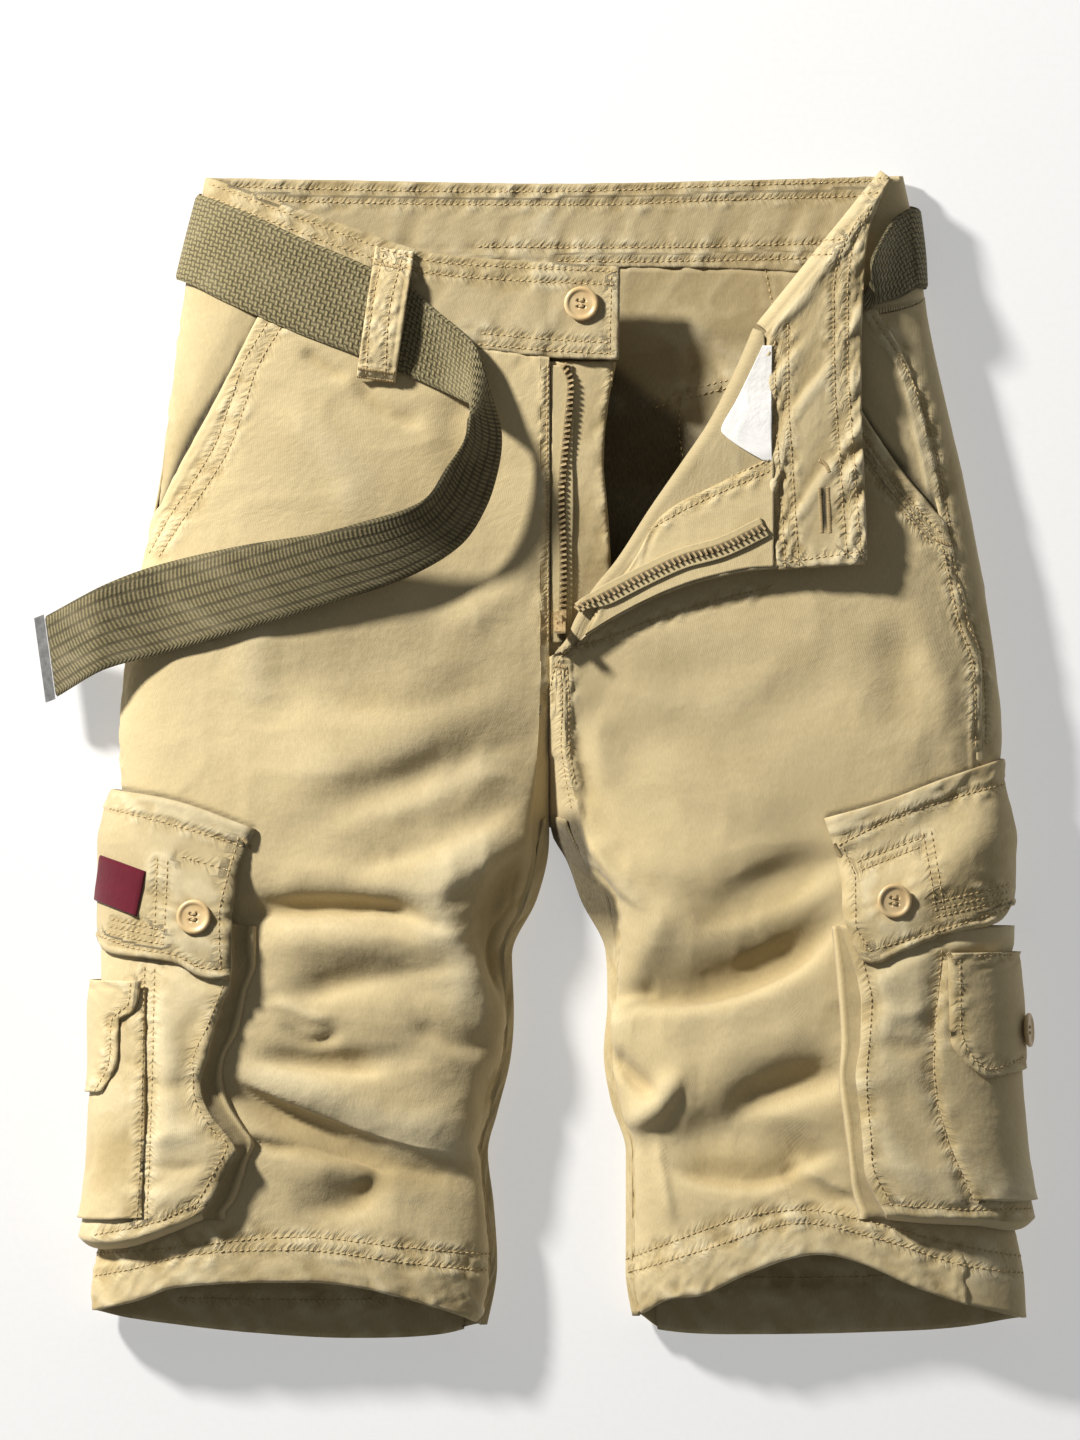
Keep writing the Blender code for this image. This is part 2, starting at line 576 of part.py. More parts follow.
def waistband_right(finish):
    part = np.linspace(0, 1, 5)
    turn = along(BAND_TURN, part)
    s = RIGHT.place(turn[:, 0], turn[:, 1])[:, None] * np.linspace(0, 1, 7)**1.3
    side_y = 341 + (276 - 341) * part
    y = side_y[:, None] + (turn[:, 1] - side_y)[:, None] * np.linspace(0, 1, 7)
    for _ in range(4):
        y[-1] = line_y(WAIST_SEAM_RIGHT, RIGHT.point(s[-1], y[-1])[:, 0])
    outer, inner = RIGHT.point(s, y), RIGHT.raised(s, y, -CLOTH)
    way = turn[0] - turn[-1]
    out = np.array([-way[1], way[0]]) / np.linalg.norm(way)
    share = np.linspace(0, 1, 9)
    top, seam = along(BAND_FREE_TOP, share), along(BAND_FREE_SEAM, share)
    free = top + (seam - top) * part[:, None, None]
    rolled, rolled_in = turned(turn, turn, np.repeat(out[None], 5, 0), [0])
    lying, lying_in = (on_turn(free[:, 1:, 0], free[:, 1:, 1], by) for by in (0, CLOTH))
    whole = np.concatenate([outer, rolled, lying], 1)
    whole_in = np.concatenate([inner, rolled_in, lying_in], 1)
    trim((whole, whole_in), last_row=SEAM, first_col=SEAM)
    return wall("waistband_front_right", whole, whole_in, finish)


# ---------------------------------------------------------------- what lies on the garment


def lay(name, half, s, y, under, thick, finish):
    """A piece that follows the surface, its lower face `under` above it."""
    return wall(name, half.raised(s, y, under + thick), half.raised(s, y, under), finish)


POCKET_DEPTH = 12.5  # how far a bellows pocket stands off the leg
SMALL_PUFF = 2.5
S_TABLE = np.linspace(-1, 2, 601)
CROWD = np.cumsum(1 + 2.5 * np.exp(-((S_TABLE - 0.1) / 0.14)**2))  # columns crowd where the side bends


def crowded(first, last, share):
    """Places from first to last, closest together round the bend of the side."""
    start, end = np.interp(first, S_TABLE, CROWD), np.interp(last, S_TABLE, CROWD)
    return np.interp(start + (end - start) * share, CROWD, S_TABLE)


def pocket_rise(s, y):
    """Height of a bellows pocket's face above the leg; at the side it begins further up."""
    side = 48 * (1 - step(s, 0.1, 0.45))
    return POCKET_DEPTH * step(-y, 20 - side, 60 - 0.9 * side) * (1 - 0.83 * step(-s, 0, 0.6))


POCKET_EDGE_LEFT = [Line(-173, -62), Line(-174, -92), Line(-180, -108), Line(-186, -130), Line(-190, -146),
                    Line(-185, -162), Line(-176, -173), Line(-171, -181), Line(-174, -189), Line(-180, -200),
                    Line(-184, -208), Line(-189, -215)]
POCKET_BASE_LEFT = [Line(-160, -62), Line(-160, -81), Line(-165, -97), Line(-167, -108), Line(-170, -119),
                    Line(-176, -130), Line(-178, -143), Line(-174, -157), Line(-166, -170), Line(-161, -178),
                    Line(-164, -186), Line(-167, -197), Line(-171, -208), Line(-177, -216)]
POCKET_FOOT_LEFT = [Line(-248, -232), Line(-230, -230), Line(-211, -224), Line(-189, -215)]
POCKET_EDGE_RIGHT = [Line(152, -62), Line(159, -81), Line(164, -103), Line(163, -124), Line(161, -140),
                     Line(163, -162), Line(165, -184), Line(166, -194), Line(173, -208), Line(177, -215)]
POCKET_BASE_RIGHT = [Line(148, -62), Line(151, -92), Line(153, -124), Line(152, -146), Line(154, -162),
                     Line(157, -184), Line(159, -202), Line(161, -211), Line(163, -216)]
POCKET_FOOT_RIGHT = [Line(177, -215), Line(197, -217), Line(230, -219), Line(253, -222), Line(258, -222)]


def edge_grid(half, edge, foot, high, by, rows, columns, back_s):
    """s and y of a patch from a free edge round the side to back_s, and from high down to its foot line."""
    part, across = np.linspace(0, 1, rows)[:, None], np.linspace(0, 1, columns)
    y = high + (edge[-1].y - high) * part + 0 * across
    for _ in range(4):
        first = half.place_over(line_x(edge, y[:, :1]), y[:, :1], by)
        s = crowded(first, back_s, across)
        low = line_y(foot, half.raised(s[-1], y[-1], by)[:, 0])
        y = high + (low - high) * part
    return s, y


def bellows(name, half, edge, base, foot, finish):
    """A pocket body: a face that stands off the leg and a skirt down to it, with an open mouth on top."""
    s, y = edge_grid(half, edge, foot, -62.0, POCKET_DEPTH, 12, 11, -0.6)
    rise = pocket_rise(s, y)
    face, face_in = half.raised(s, y, rise), half.raised(s, y, rise - CLOTH)
    out = -half.inward
    side_y = np.append(y[:, 0], y[-1, 0] - 4)
    side_x = line_x(base, np.append(y[:, 0], y[-1, 0]))
    skirt = half.on_top(side_x, side_y, LIE + 0.2)
    skirt_in = half.on_top(side_x + out * 2.6, side_y + np.append(0 * y[:, 0], 1.8), LIE + 0.2)
    foot_out, foot_in = (half.raised(s[-1], y[-1] - drop, LIE + 0.2) for drop in (4, 2.2))
    whole = np.concatenate([face, foot_out[None]])
    whole_in = np.concatenate([face_in, foot_in[None]])
    whole = np.concatenate([skirt[:, None], whole], 1)
    whole_in = np.concatenate([skirt_in[:, None], whole_in], 1)
    return wall(name, whole, whole_in, finish)


FLAP_TOP_LEFT = [Line(-240, 12), Line(-202, 5), Line(-160, -10)]
FLAP_EDGE_LEFT = [Line(-160, -10), Line(-165, -19), Line(-170, -32), Line(-172, -49), Line(-173, -65),
                  Line(-174, -90)]
FLAP_FOOT_LEFT = [Line(-248, -69), Line(-243, -75), Line(-219, -79), Line(-202, -82), Line(-189, -89),
                  Line(-174, -90)]
FLAP_TOP_RIGHT = [Line(144, -4), Line(176, 5), Line(208, 17), Line(242, 28)]
FLAP_EDGE_RIGHT = [Line(144, -4), Line(150, -22), Line(153, -38), Line(154, -57), Line(158, -68),
                   Line(164, -80)]
FLAP_FOOT_RIGHT = [Line(164, -80), Line(170, -82), Line(186, -75), Line(213, -65), Line(242, -57),
                   Line(246, -51)]


def flap(name, half, top, edge, foot, finish):
    part, across = np.linspace(0, 1, 8)[:, None], np.linspace(0, 1, 12)
    y = edge[0].y + (edge[-1].y - edge[0].y) * part + 0 * across
    for _ in range(4):
        first = half.place_over(line_x(edge, y[:, :1]), y[:, :1], pocket_rise(0.5, y[:, :1]) + LIE + DOUBLE)
        s = crowded(first, -0.5, across)
        face = half.raised(s, y, pocket_rise(s, y) + LIE + DOUBLE)[..., 0]
        high, low = line_y(top, face[0]), line_y(foot, face[-1])
        y = high + (low - high) * part
    return lay(name, half, s, y, pocket_rise(s, y) + LIE, DOUBLE, finish)


SMALL_EDGE_LEFT = [Line(-219, -92), Line(-219, -150), Line(-221, -210)]
SMALL_FOOT_LEFT = [Line(-260, -223), Line(-221, -218)]
SMALL_EDGE_RIGHT = [Line(208, -73), Line(202, -135), Line(211, -178), Line(224, -208)]
SMALL_FOOT_RIGHT = [Line(200, -206), Line(260, -213)]
SMALL_FLAP_EDGE_LEFT = [Line(-222, -92), Line(-227, -108), Line(-234, -112), Line(-235, -135),
                        Line(-240, -146), Line(-243, -152)]
SMALL_FLAP_FOOT_LEFT = [Line(-270, -156), Line(-243, -152)]
SMALL_FLAP_EDGE_RIGHT = [Line(210, -75), Line(211, -103), Line(212, -124), Line(220, -135), Line(230, -143)]
SMALL_FLAP_FOOT_RIGHT = [Line(230, -143), Line(253, -139)]


def small_puff(half, edge, s, y):
    """How far the small side pocket bellies out from the pocket it is sewn to."""
    first = half.place_over(line_x(edge, y), y, POCKET_DEPTH)
    return SMALL_PUFF * step(first - s, 0, 0.25) * step(s, -0.4, 0) * step(-y, 75, 110)


def small_pocket(name, half, edge, foot, high, finish):
    s, y = edge_grid(half, edge, foot, high, POCKET_DEPTH, 9, 9, -0.4)
    under = pocket_rise(s, y) + LIE + small_puff(half, edge, s, y) * step(y, -225, -160)
    return lay(name, half, s, y, under, CLOTH, finish)


def small_flap(name, half, edge, foot, high, pocket_edge, finish):
    s, y = edge_grid(half, edge, foot, high, POCKET_DEPTH + 5, 7, 8, -0.35)
    under = pocket_rise(s, y) + CLOTH + 2 * LIE + small_puff(half, pocket_edge, s, y)
    return lay(name, half, s, y, under, 1.8, finish)


def label(finish):
    corners = np.array([[[-244, -24], [-219, -32]], [[-247, -48], [-224, -57]]], float)
    down, across = np.linspace(0, 1, 4)[:, None, None], np.linspace(0, 1, 6)[None, :, None]
    left = corners[0, 0] + (corners[1, 0] - corners[0, 0]) * down
    right = corners[0, 1] + (corners[1, 1] - corners[0, 1]) * down
    place = left + (right - left) * across
    x, y = place[..., 0], place[..., 1]
    rise = pocket_rise(0.0, y) + LIE + DOUBLE + 0.7
    s = LEFT.place_over(x, y, rise)
    return lay("brand_label_plain", LEFT, s, y, pocket_rise(s, y) + LIE + DOUBLE + 0.7, 0.9, finish)


def button(name, centre, axis, finish):
    """A round button of 18.5 mm with a raised rim, standing on `centre`."""
    axis = np.asarray(axis, float) / np.linalg.norm(axis)
    side = np.cross(axis, (0, 1, 0))
    side /= np.linalg.norm(side)
    up = np.cross(axis, side)
    profile = [(6.2, 0.0), (9.25, 1.2), (9.0, 2.7), (7.2, 3.0), (6.3, 2.1)]
    turns = np.linspace(0, 2 * pi, 16, endpoint=False)
    points = [centre + axis * z + (side * np.cos(turn) + up * np.sin(turn)) * r
              for r, z in profile for turn in turns]
    faces = [tuple(range(16)), tuple(range(64, 80))[::-1]]
    for ring in range(4):
        for k in range(16):
            a, b = ring * 16 + k, ring * 16 + (k + 1) % 16
            faces.append((b, a, a + 16, b + 16))
    return mesh_object(name, points, facing_out(points, faces), finish)


LOOP_RISE = [Line(0, 0.3), Line(0.07, 0.9), Line(0.16, 6), Line(0.3, 8.5), Line(0.5, 9), Line(0.7, 8.8),
             Line(0.86, 7), Line(0.95, 4), Line(1, 0.3)]


def belt_loop(finish):
    start, end = np.array([-86, 300.0]), np.array([-96, 231.0])
    share = np.array([point.x for point in LOOP_RISE])[:, None]
    way = (end - start) / np.linalg.norm(end - start)
    aside = np.array([-way[1], way[0]])
    across = np.linspace(-10.5, 10.5, 3)[None, :, None]
    place = (start + (end - start) * share)[:, None, :] + aside * across
    rise = line_y(LOOP_RISE, share)
    x, y = place[..., 0], place[..., 1]
    return wall("belt_loop", LEFT.on_top(x, y, rise + 1.8), LEFT.on_top(x, y, rise), finish)


# ---------------------------------------------------------------- fly

SHIELD_EDGE = [Line(33, 241), Line(29, 221), Line(26, 189), Line(29, 151), Line(30, 130), Line(25, 110),
               Line(20, 95), Line(9, 78)]
CHAIN_LEFT = [Line(5, 240), Line(6, 200), Line(4, 167), Line(6, 135), Line(4, 110)]
CHAIN_RIGHT = [Line(12, 108.5), Line(16, 111), Line(24, 114), Line(46, 125), Line(68, 135), Line(89, 141),
               Line(112, 152)]
FACING_LOW = [Line(16, 94.5), Line(24, 99.7), Line(40, 108.7), Line(57, 116.7), Line(73, 122.7), Line(88, 126.7),
              Line(103, 129.7), Line(111, 130.3)]
FACING_HIGH = [Line(18, 100), Line(27, 115), Line(38, 129.5), Line(54, 157), Line(89, 176), Line(111, 187)]
BAG_EDGE = [Line(108.5, 247), Line(101, 229), Line(89, 207), Line(98, 196), Line(108, 188.5)]
FACING_CLOTH = 1.2
SLIDER = np.array([2.5, 101.0, 0.0])


def shield_top(x, y):
    droop = 3 * (np.clip(x, 0, 40) / 33)**2 + 2 * step(-y, -145, -115) * step(x, 2, 22)
    return LEFT.height(x, y) - CLOTH - GAP - 1.0 - droop


def fly_shield(finish):
    y = np.linspace(241, 78, 10)[:, None]
    x = -12 + (line_x(SHIELD_EDGE, y) + 12) * np.linspace(0, 1, 8)
    y = y + 0 * x
    top = np.stack([x, y, shield_top(x, y)], -1)
    return wall("fly_shield", top, top - (0, 0, DOUBLE), finish)


def zip_left(finish):
    """The tape with its row of teeth as one low bead."""
    y = np.append(np.linspace(239, 121, 6), [110, 108, 90])
    chain = line_x(CHAIN_LEFT, y)
    x = np.stack([-2 + 0 * y, chain - 2.3, chain - 2.1, chain + 2.1, chain + 2.3, 9 + 0 * y], -1)
    y = y[:, None] + 0 * x
    bead = np.array([0, 0, 1.3, 1.3, 0, 0]) * step(y, 108, 110)
    under = shield_top(x, y) + 0.5
    top = np.stack([x, y, under + 1.0 + bead], -1)
    return wall("zip_tape_left", top, np.stack([x, y, under], -1), finish)


def fly_facing(finish):
    share = np.linspace(0, 1, 8)
    low, high = along(FACING_LOW, share), along(FACING_HIGH, share)
    place = low[None] + (high - low)[None] * np.linspace(0, 1, 4)[:, None, None]
    x, y = place[..., 0], place[..., 1]
    under = CLOTH + GAP
    return wall("fly_facing_right", on_turn(x, y, under + FACING_CLOTH), on_turn(x, y, under), finish)


def zip_right(finish):
    """The other tape: on the facing, and at its low end free, from the roll of the cloth to the slider."""
    share = np.linspace(0, 1, 12)
    centre = along(CHAIN_RIGHT, share)
    way = np.gradient(centre, axis=0)
    aside = np.stack([-way[:, 1], way[:, 0]], -1) / np.linalg.norm(way, axis=1, keepdims=True)
    half_width = 3.0 + 2.2 * step(centre[:, 0], 12, 30)
    across = np.array([-1, -0.42, -0.4, 0.4, 0.42, 1])
    place = centre[:, None] + aside[:, None] * (half_width[:, None] * across)[..., None]
    x, y = place[..., 0], place[..., 1]
    lying = RIGHT.height(x, y) + line_y(TURN_ROOM, x) + CLOTH + FACING_CLOTH + 3 * GAP
    free = lying - 1.2 * step(-x, -16, -8)
    bead = np.array([0, 0, 1.3, 1.3, 0, 0])
    top = np.stack([x, y, free + 1.0 + bead], -1)
    return wall("zip_tape_right", top, np.stack([x, y, free], -1), finish)


def pocket_bag(finish):
    y = np.linspace(246, 189, 7)[:, None]
    x = line_x(BAG_EDGE, y) + (111.5 - line_x(BAG_EDGE, y)) * np.linspace(0, 1, 4)
    y = y + 0 * x
    return wall("pocket_bag", on_turn(x, y, CLOTH + GAP + 0.9), on_turn(x, y, CLOTH + GAP), finish)


def block(low, high):
    """The corners and faces of a box."""
    points = [(x, y, z) for z in (low[2], high[2]) for y in (low[1], high[1]) for x in (low[0], high[0])]
    faces = [(0, 2, 3, 1), (4, 5, 7, 6), (0, 1, 5, 4), (2, 6, 7, 3), (0, 4, 6, 2), (1, 3, 7, 5)]
    return points, faces


def slider_base():
    return float(shield_top(np.array(2.5), np.array(101.0))) + 0.5 + 1.0 + 0.6


AXIS_OVER_BASE = 2.6 + 1.0  # the tab's hinge line above the slider's underside


def zip_slider(finish):
    """The slider's body with the arch that holds the pull tab."""
    base = SLIDER + (0, 0, slider_base())
    y, z = 4.0, 2.6
    # One outline across the middle: body, feet and arch; the body is wider than the arch.
    lower, lower_faces = block(base + (-3.5, -6, 0), base + (3.5, 6, z))
    body = mesh_object("zip_slider", lower, lower_faces, finish)
    outline = [(-y, z - 0.6), (-y, z + 3.0), (y, z + 3.0), (y, z - 0.6), (y - 1, z - 0.6), (y - 1, z + 2.0),
               (1 - y, z + 2.0), (1 - y, z - 0.6)]
    points = [base + (x, a, b) for x in (-1.1, 1.1) for a, b in outline]
    quads = [(0, 1, 6, 7), (1, 2, 5, 6), (2, 3, 4, 5)]
    faces = quads + [tuple(8 + k for k in reversed(quad)) for quad in quads]
    faces += [(k, (k + 1) % 8, 8 + (k + 1) % 8, 8 + k)[::-1] for k in range(8)]
    arch = mesh_object("arch", points, facing_out(points, faces), finish)
    join = body.modifiers.new("arch", "BOOLEAN")
    join.operation, join.solver, join.object = "UNION", "EXACT", arch
    graph = bpy.context.evaluated_depsgraph_get()
    body.data = bpy.data.meshes.new_from_object(body.evaluated_get(graph))
    body.modifiers.clear()
    bpy.data.objects.remove(arch, do_unlink=True)
    return body


def pull_tab(finish):
    """A flat tab with a slot near one end; its origin is on the hinge line, and it leans down the fly."""
    length, wide, slot_wide, slot_low, slot_high, thick = 16.0, 3.0, 1.6, 0.55, 5.2, 1.1
    outline = [(-wide, -0.55), (wide, -0.55), (wide, length), (-wide, length)]
    slot = [(-slot_wide, slot_low), (slot_wide, slot_low), (slot_wide, slot_high), (-slot_wide, slot_high)]
    lean = np.radians(70)
    reach = np.array([0, -np.cos(lean), np.sin(lean)])
    depth = np.array([0, np.sin(lean), np.cos(lean)])
    hinge = SLIDER + (0, 0, slider_base() + AXIS_OVER_BASE)
    points = []
    for side in (-thick / 2, thick / 2):
        for x, along_tab in outline + slot:
            points.append(np.array([x, 0, 0]) + reach * along_tab + depth * side)
    faces = []
    for k in range(4):
        n = (k + 1) % 4
        faces += [(k, n, 4 + n, 4 + k), (12 + k, 12 + n, 8 + n, 8 + k)]
        faces += [(n, k, 8 + k, 8 + n), (4 + k, 4 + n, 12 + n, 12 + k)]
    points = np.array(points) + (0, SEAT, 0)
    tab = mesh_object("zip_pull", points, facing_out(points, faces), finish)
    tab.location = (hinge - (0, SEAT, 0)) * MM
    return tab


# ---------------------------------------------------------------- belt

# The strap's two edges: on the waist, and then free above the front, where rise is its upper face's
# height above the garment.
BELT_TOP = [Line(-192, 332), Line(-159, 318), Line(-138, 308), Line(-103, 293), Line(-81, 282)]
BELT_LOW = [Line(-204, 288), Line(-181, 275), Line(-159, 265), Line(-138, 256), Line(-106, 244), Line(-78, 233)]
Station = namedtuple("Station", "x_top y_top rise_top x_low y_low rise_low")
FREE_STRAP = [
    Station(-65, 269.5, 3.5, -62, 225.7, 4.5),
    Station(-51, 258, 6, -51, 220, 12),
    Station(-41, 247, 9, -46.5, 217, 24),
    Station(-34, 225.7, 12, -46, 209.5, 34),
    Station(-27.5, 200, 14, -48, 197, 38),
    Station(-29.7, 182, 15, -57.8, 182, 38),
    Station(-36.7, 161, 15, -67.5, 167.4, 36),
    Station(-50.8, 141, 14, -81, 160, 32),
    Station(-79.4, 124.2, 12, -102.6, 154, 26),
    Station(-121.5, 110.2, 10, -127, 148, 20),
    Station(-170, 96, 8, -170, 141.5, 13),
    Station(-213, 83.7, 8, -213, 131.8, 11),
    Station(-243, 75, 29, -244, 120, 29),
    Station(-268.5, 61, 6.5, -274.5, 104.5, 6.5),
]
TIP_END = Station(-274.2, 58.9, 3, -280.2, 102.4, 3)
# The belt's right end comes over the side, twists on edge and goes in under the turned-over band.
END_STRAP = [
    Station(181, 316, 9, 186, 275.5, 3),
    Station(170.5, 296, 18, 176, 272, 3),
    Station(167.8, 281, 8.4, 169.5, 270, 3),
    Station(161, 273, 5, 161.5, 262, 3),
    Station(148, 266.8, 2.8, 158.2, 226, 2.8),
]
BUCKLE = np.array([[148 - 0.6, 266.6], [158.2 - 0.6, 225.9], [130.9, 219.2], [120.7, 259.9]])


def strap_points(stations, half, shares):
    """Points across the strap at each station; the upper face."""
    table = np.array(stations)
    top, low = table[:, :3], table[:, 3:]
    both = top[:, None] + (low - top)[:, None] * shares[:, None]
    ends = [half.on_top(edge[:, 0], edge[:, 1], edge[:, 2])[..., 2] for edge in (top, low)]
    z = ends[0][:, None] + (ends[1] - ends[0])[:, None] * shares
    lying = half.on_top(both[..., 0], both[..., 1], both[..., 2])[..., 2]
    return np.stack([both[..., 0], both[..., 1], np.maximum(z, lying)], -1)


def under_face(upper, thick):
    """The strap's other face, by the upper face's own normals; these point up where the strap is flat."""
    normal = np.cross(np.gradient(upper, axis=0), np.gradient(upper, axis=1))
    normal /= np.linalg.norm(normal, axis=-1, keepdims=True)
    if normal[..., 2].sum() < 0:
        normal = -normal
    return upper - normal * thick


def belt_strap(finish):
    shares = np.linspace(0, 1, 5)
    place = np.array([0, 0.05, 0.1, 0.16, 0.24, 0.36, 0.48, 0.58])[:, None]
    top_y = low_y = place * 0
    for _ in range(5):
        top_y = line_y(BELT_TOP, LEFT.point(place, top_y)[..., 0])
        low_y = line_y(BELT_LOW, LEFT.point(place, low_y)[..., 0])
    y = top_y + (low_y - top_y) * shares
    stand = 0.8 + 3.5 * shares * (1 - step(place, 0, 0.2))
    s = place + 0 * y
    on_waist, on_waist_in = LEFT.raised(s, y, stand + WEBBING), LEFT.raised(s, y, stand)
    free = strap_points(FREE_STRAP, LEFT, shares)
    upper = np.concatenate([on_waist, free])
    lower = np.concatenate([on_waist_in, under_face(np.concatenate([on_waist[-1:], free]), WEBBING)[1:]])
    trim((upper, lower), first_row=SEAM)
    return wall("belt_strap", upper, lower, finish)


def belt_tip(finish):
    last = np.array(FREE_STRAP[-1])
    end = np.array(TIP_END)
    rows = np.array([last + (end - last) * 0.06, end])
    rows = rows.reshape(2, 2, 3)
    wider = rows[:, 1] - rows[:, 0]
    wider /= np.linalg.norm(wider, axis=1, keepdims=True)
    rows[:, 0] -= wider
    rows[:, 1] += wider
    x, y, rise = rows[..., 0], rows[..., 1], rows[..., 2]
    upper = LEFT.on_top(x, y, rise + 0.7)
    return wall("belt_tip", upper, upper - (0, 0, WEBBING + 1.4), finish)


def belt_back(finish):
    """The run from the left side under the back to the right side, and its end under the front corner."""
    shares = np.linspace(0, 1, 5)
    turn = np.linspace(0, -1, 7)[:, None]
    left_y = 310.5 + 21.8 - 43.6 * shares
    stand = GAP + 3.7 * shares * step(turn, -0.6, 0)
    left = LEFT.raised(turn + 0 * left_y, left_y + 0 * turn, stand + WEBBING)
    left_in = LEFT.raised(turn + 0 * left_y, left_y + 0 * turn, stand)
    x = np.linspace(-150, 150, 6)[:, None]
    y = line_y([Line(-176, 310.5), Line(0, 315), Line(177, 303)], x) + 21.8 - 43.6 * shares
    floor = np.stack([x + 0 * y, y, 0 * y], -1)
    over = np.append(np.linspace(-1, 0, 7), [0.06, 0.12])[:, None]
    right_y = 303 + 22.5 - 45 * shares - 3 * step(over, -0.2, 0.12) * (1 - shares)
    lift = GAP + 0.2 * step(over, -1, -0.5) + 3.5 * (1 - shares) * step(over, -0.3, 0.12)
    right = RIGHT.raised(over + 0 * right_y, right_y + 0 * over, lift + WEBBING)
    right_in = RIGHT.raised(over + 0 * right_y, right_y + 0 * over, lift)
    end = strap_points(END_STRAP, RIGHT, shares)
    end_in = under_face(np.concatenate([right[-1:], end]), WEBBING)[1:]
    outer = np.concatenate([left, floor, right, end])
    inner = np.concatenate([left_in, floor + (0, 0, WEBBING), right_in, end_in])
    outer[..., 2] = np.maximum(outer[..., 2], 0)
    trim((outer, inner), first_row=SEAM)
    return wall("belt_back", outer, inner, finish)


def buckle(finish):
    """A plain clamp plate on the belt's end, hidden under the front corner."""
    share = np.linspace(0, 1, 4)
    top = BUCKLE[0] + (BUCKLE[3] - BUCKLE[0]) * share[:, None]
    low = BUCKLE[1] + (BUCKLE[2] - BUCKLE[1]) * share[:, None]
    place = top[:, None] + (low - top)[:, None] * np.linspace(0, 1, 4)[:, None]
    x, y = place[..., 0], place[..., 1]
    return wall("belt_buckle", RIGHT.on_top(x, y, 4.2), RIGHT.on_top(x, y, 0.5), finish)


def build():
    for obj in list(bpy.data.objects):
        bpy.data.objects.remove(obj, do_unlink=True)
    twill = material("khaki_twill", (0.62, 0.50, 0.32))
    webbing = material("olive_webbing", (0.16, 0.15, 0.07))
    brass = material("antique_brass", (0.30, 0.20, 0.09), 0.45, 0.9)
    tape = material("zip_tape", (0.42, 0.30, 0.16))
    resin = material("button_resin", (0.66, 0.50, 0.27), 0.4)
    steel = material("tip_steel", (0.55, 0.55, 0.55), 0.35, 1.0)
    burgundy = material("label_burgundy", (0.20, 0.008, 0.03))
    white = material("pocket_cotton", (0.85, 0.85, 0.83))

    front_left(twill)
    front_right(twill)
    back("back_left", LEFT, HEM_BACK_LEFT, 0, twill)
    back("back_right", RIGHT, HEM_BACK_RIGHT, 3, twill)
    left_rows = np.array([285, 262, 238, 214, 190, 168.0])
    facing("pocket_facing_left", LEFT, MOUTH_LEFT, lambda y: LEFT.at("outer", y), left_rows, WAIST_SEAM_LEFT,
           twill)
    seam_rows = back_top_rows(RIGHT, WAIST_SEAM_RIGHT, HEM_FRONT_RIGHT, 170.0)[:6, 0]
    facing("pocket_facing_right", RIGHT, MOUTH_RIGHT, lambda y: line_x(SIDE_SEAM_RIGHT, y),
           np.append(seam_rows, 161), WAIST_SEAM_RIGHT, twill)
    waistband_left(twill)
    waistband_back(twill)
    waistband_right(twill)

    fly_shield(twill)
    fly_facing(twill)
    pocket_bag(white)
    zip_left(tape)
    zip_right(tape)
    zip_slider(brass)
    pull_tab(brass)

    bellows("cargo_pocket_left", LEFT, POCKET_EDGE_LEFT, POCKET_BASE_LEFT, POCKET_FOOT_LEFT, twill)
    bellows("cargo_pocket_right", RIGHT, POCKET_EDGE_RIGHT, POCKET_BASE_RIGHT, POCKET_FOOT_RIGHT, twill)
    flap("cargo_flap_left", LEFT, FLAP_TOP_LEFT, FLAP_EDGE_LEFT, FLAP_FOOT_LEFT, twill)
    flap("cargo_flap_right", RIGHT, FLAP_TOP_RIGHT, FLAP_EDGE_RIGHT, FLAP_FOOT_RIGHT, twill)
    small_pocket("side_pocket_left", LEFT, SMALL_EDGE_LEFT, SMALL_FOOT_LEFT, -95.0, twill)
    small_pocket("side_pocket_right", RIGHT, SMALL_EDGE_RIGHT, SMALL_FOOT_RIGHT, -80.0, twill)
    small_flap("side_flap_left", LEFT, SMALL_FLAP_EDGE_LEFT, SMALL_FLAP_FOOT_LEFT, -91.0, SMALL_EDGE_LEFT, twill)
    small_flap("side_flap_right", RIGHT, SMALL_FLAP_EDGE_RIGHT, SMALL_FLAP_FOOT_RIGHT, -76.0, SMALL_EDGE_RIGHT,
               twill)
    label(burgundy)
    belt_loop(twill)

    waist = LEFT.on_top(14.0, 272.0, 0.6)
    button("waist_button", waist, (0, 0, 1), resin)
    for name, half, x, y, clear in (("cargo_button_left", LEFT, -193.0, -57.0, -0.1),
                                    ("cargo_button_right", RIGHT, 181.0, -48.0, 0.8)):
        rise = pocket_rise(0.5, y) + LIE + DOUBLE + 0.6
        s = half.place_over(x, y, rise)
        rise = pocket_rise(s, y) + LIE + DOUBLE + clear
        button(name, half.raised(s, y, rise), half.normal(s, y), resin)
    rise = POCKET_DEPTH + CLOTH + 2 * LIE + SMALL_PUFF + 1.8 + 0.6
    button("side_button_right", RIGHT.raised(0.04, -119.0, rise), RIGHT.normal(0.04, -119.0), resin)

    belt_strap(webbing)
    belt_tip(steel)
    belt_back(webbing)
    buckle(steel)


build()
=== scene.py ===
"""The looks of a pair of cargo shorts laid on their back with the fly open, with their webbing belt.

The surface and the lines are those of the part's own source: +X to the viewer's right, +Y to the waist,
+Z up, in millimetres with y = 0 at the crotch level. The part's origin lies SEAT above that level.
"""

from collections import namedtuple
from math import pi

import bpy
import numpy as np
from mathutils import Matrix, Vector
from mathutils.bvhtree import BVHTree
from mathutils.kdtree import KDTree


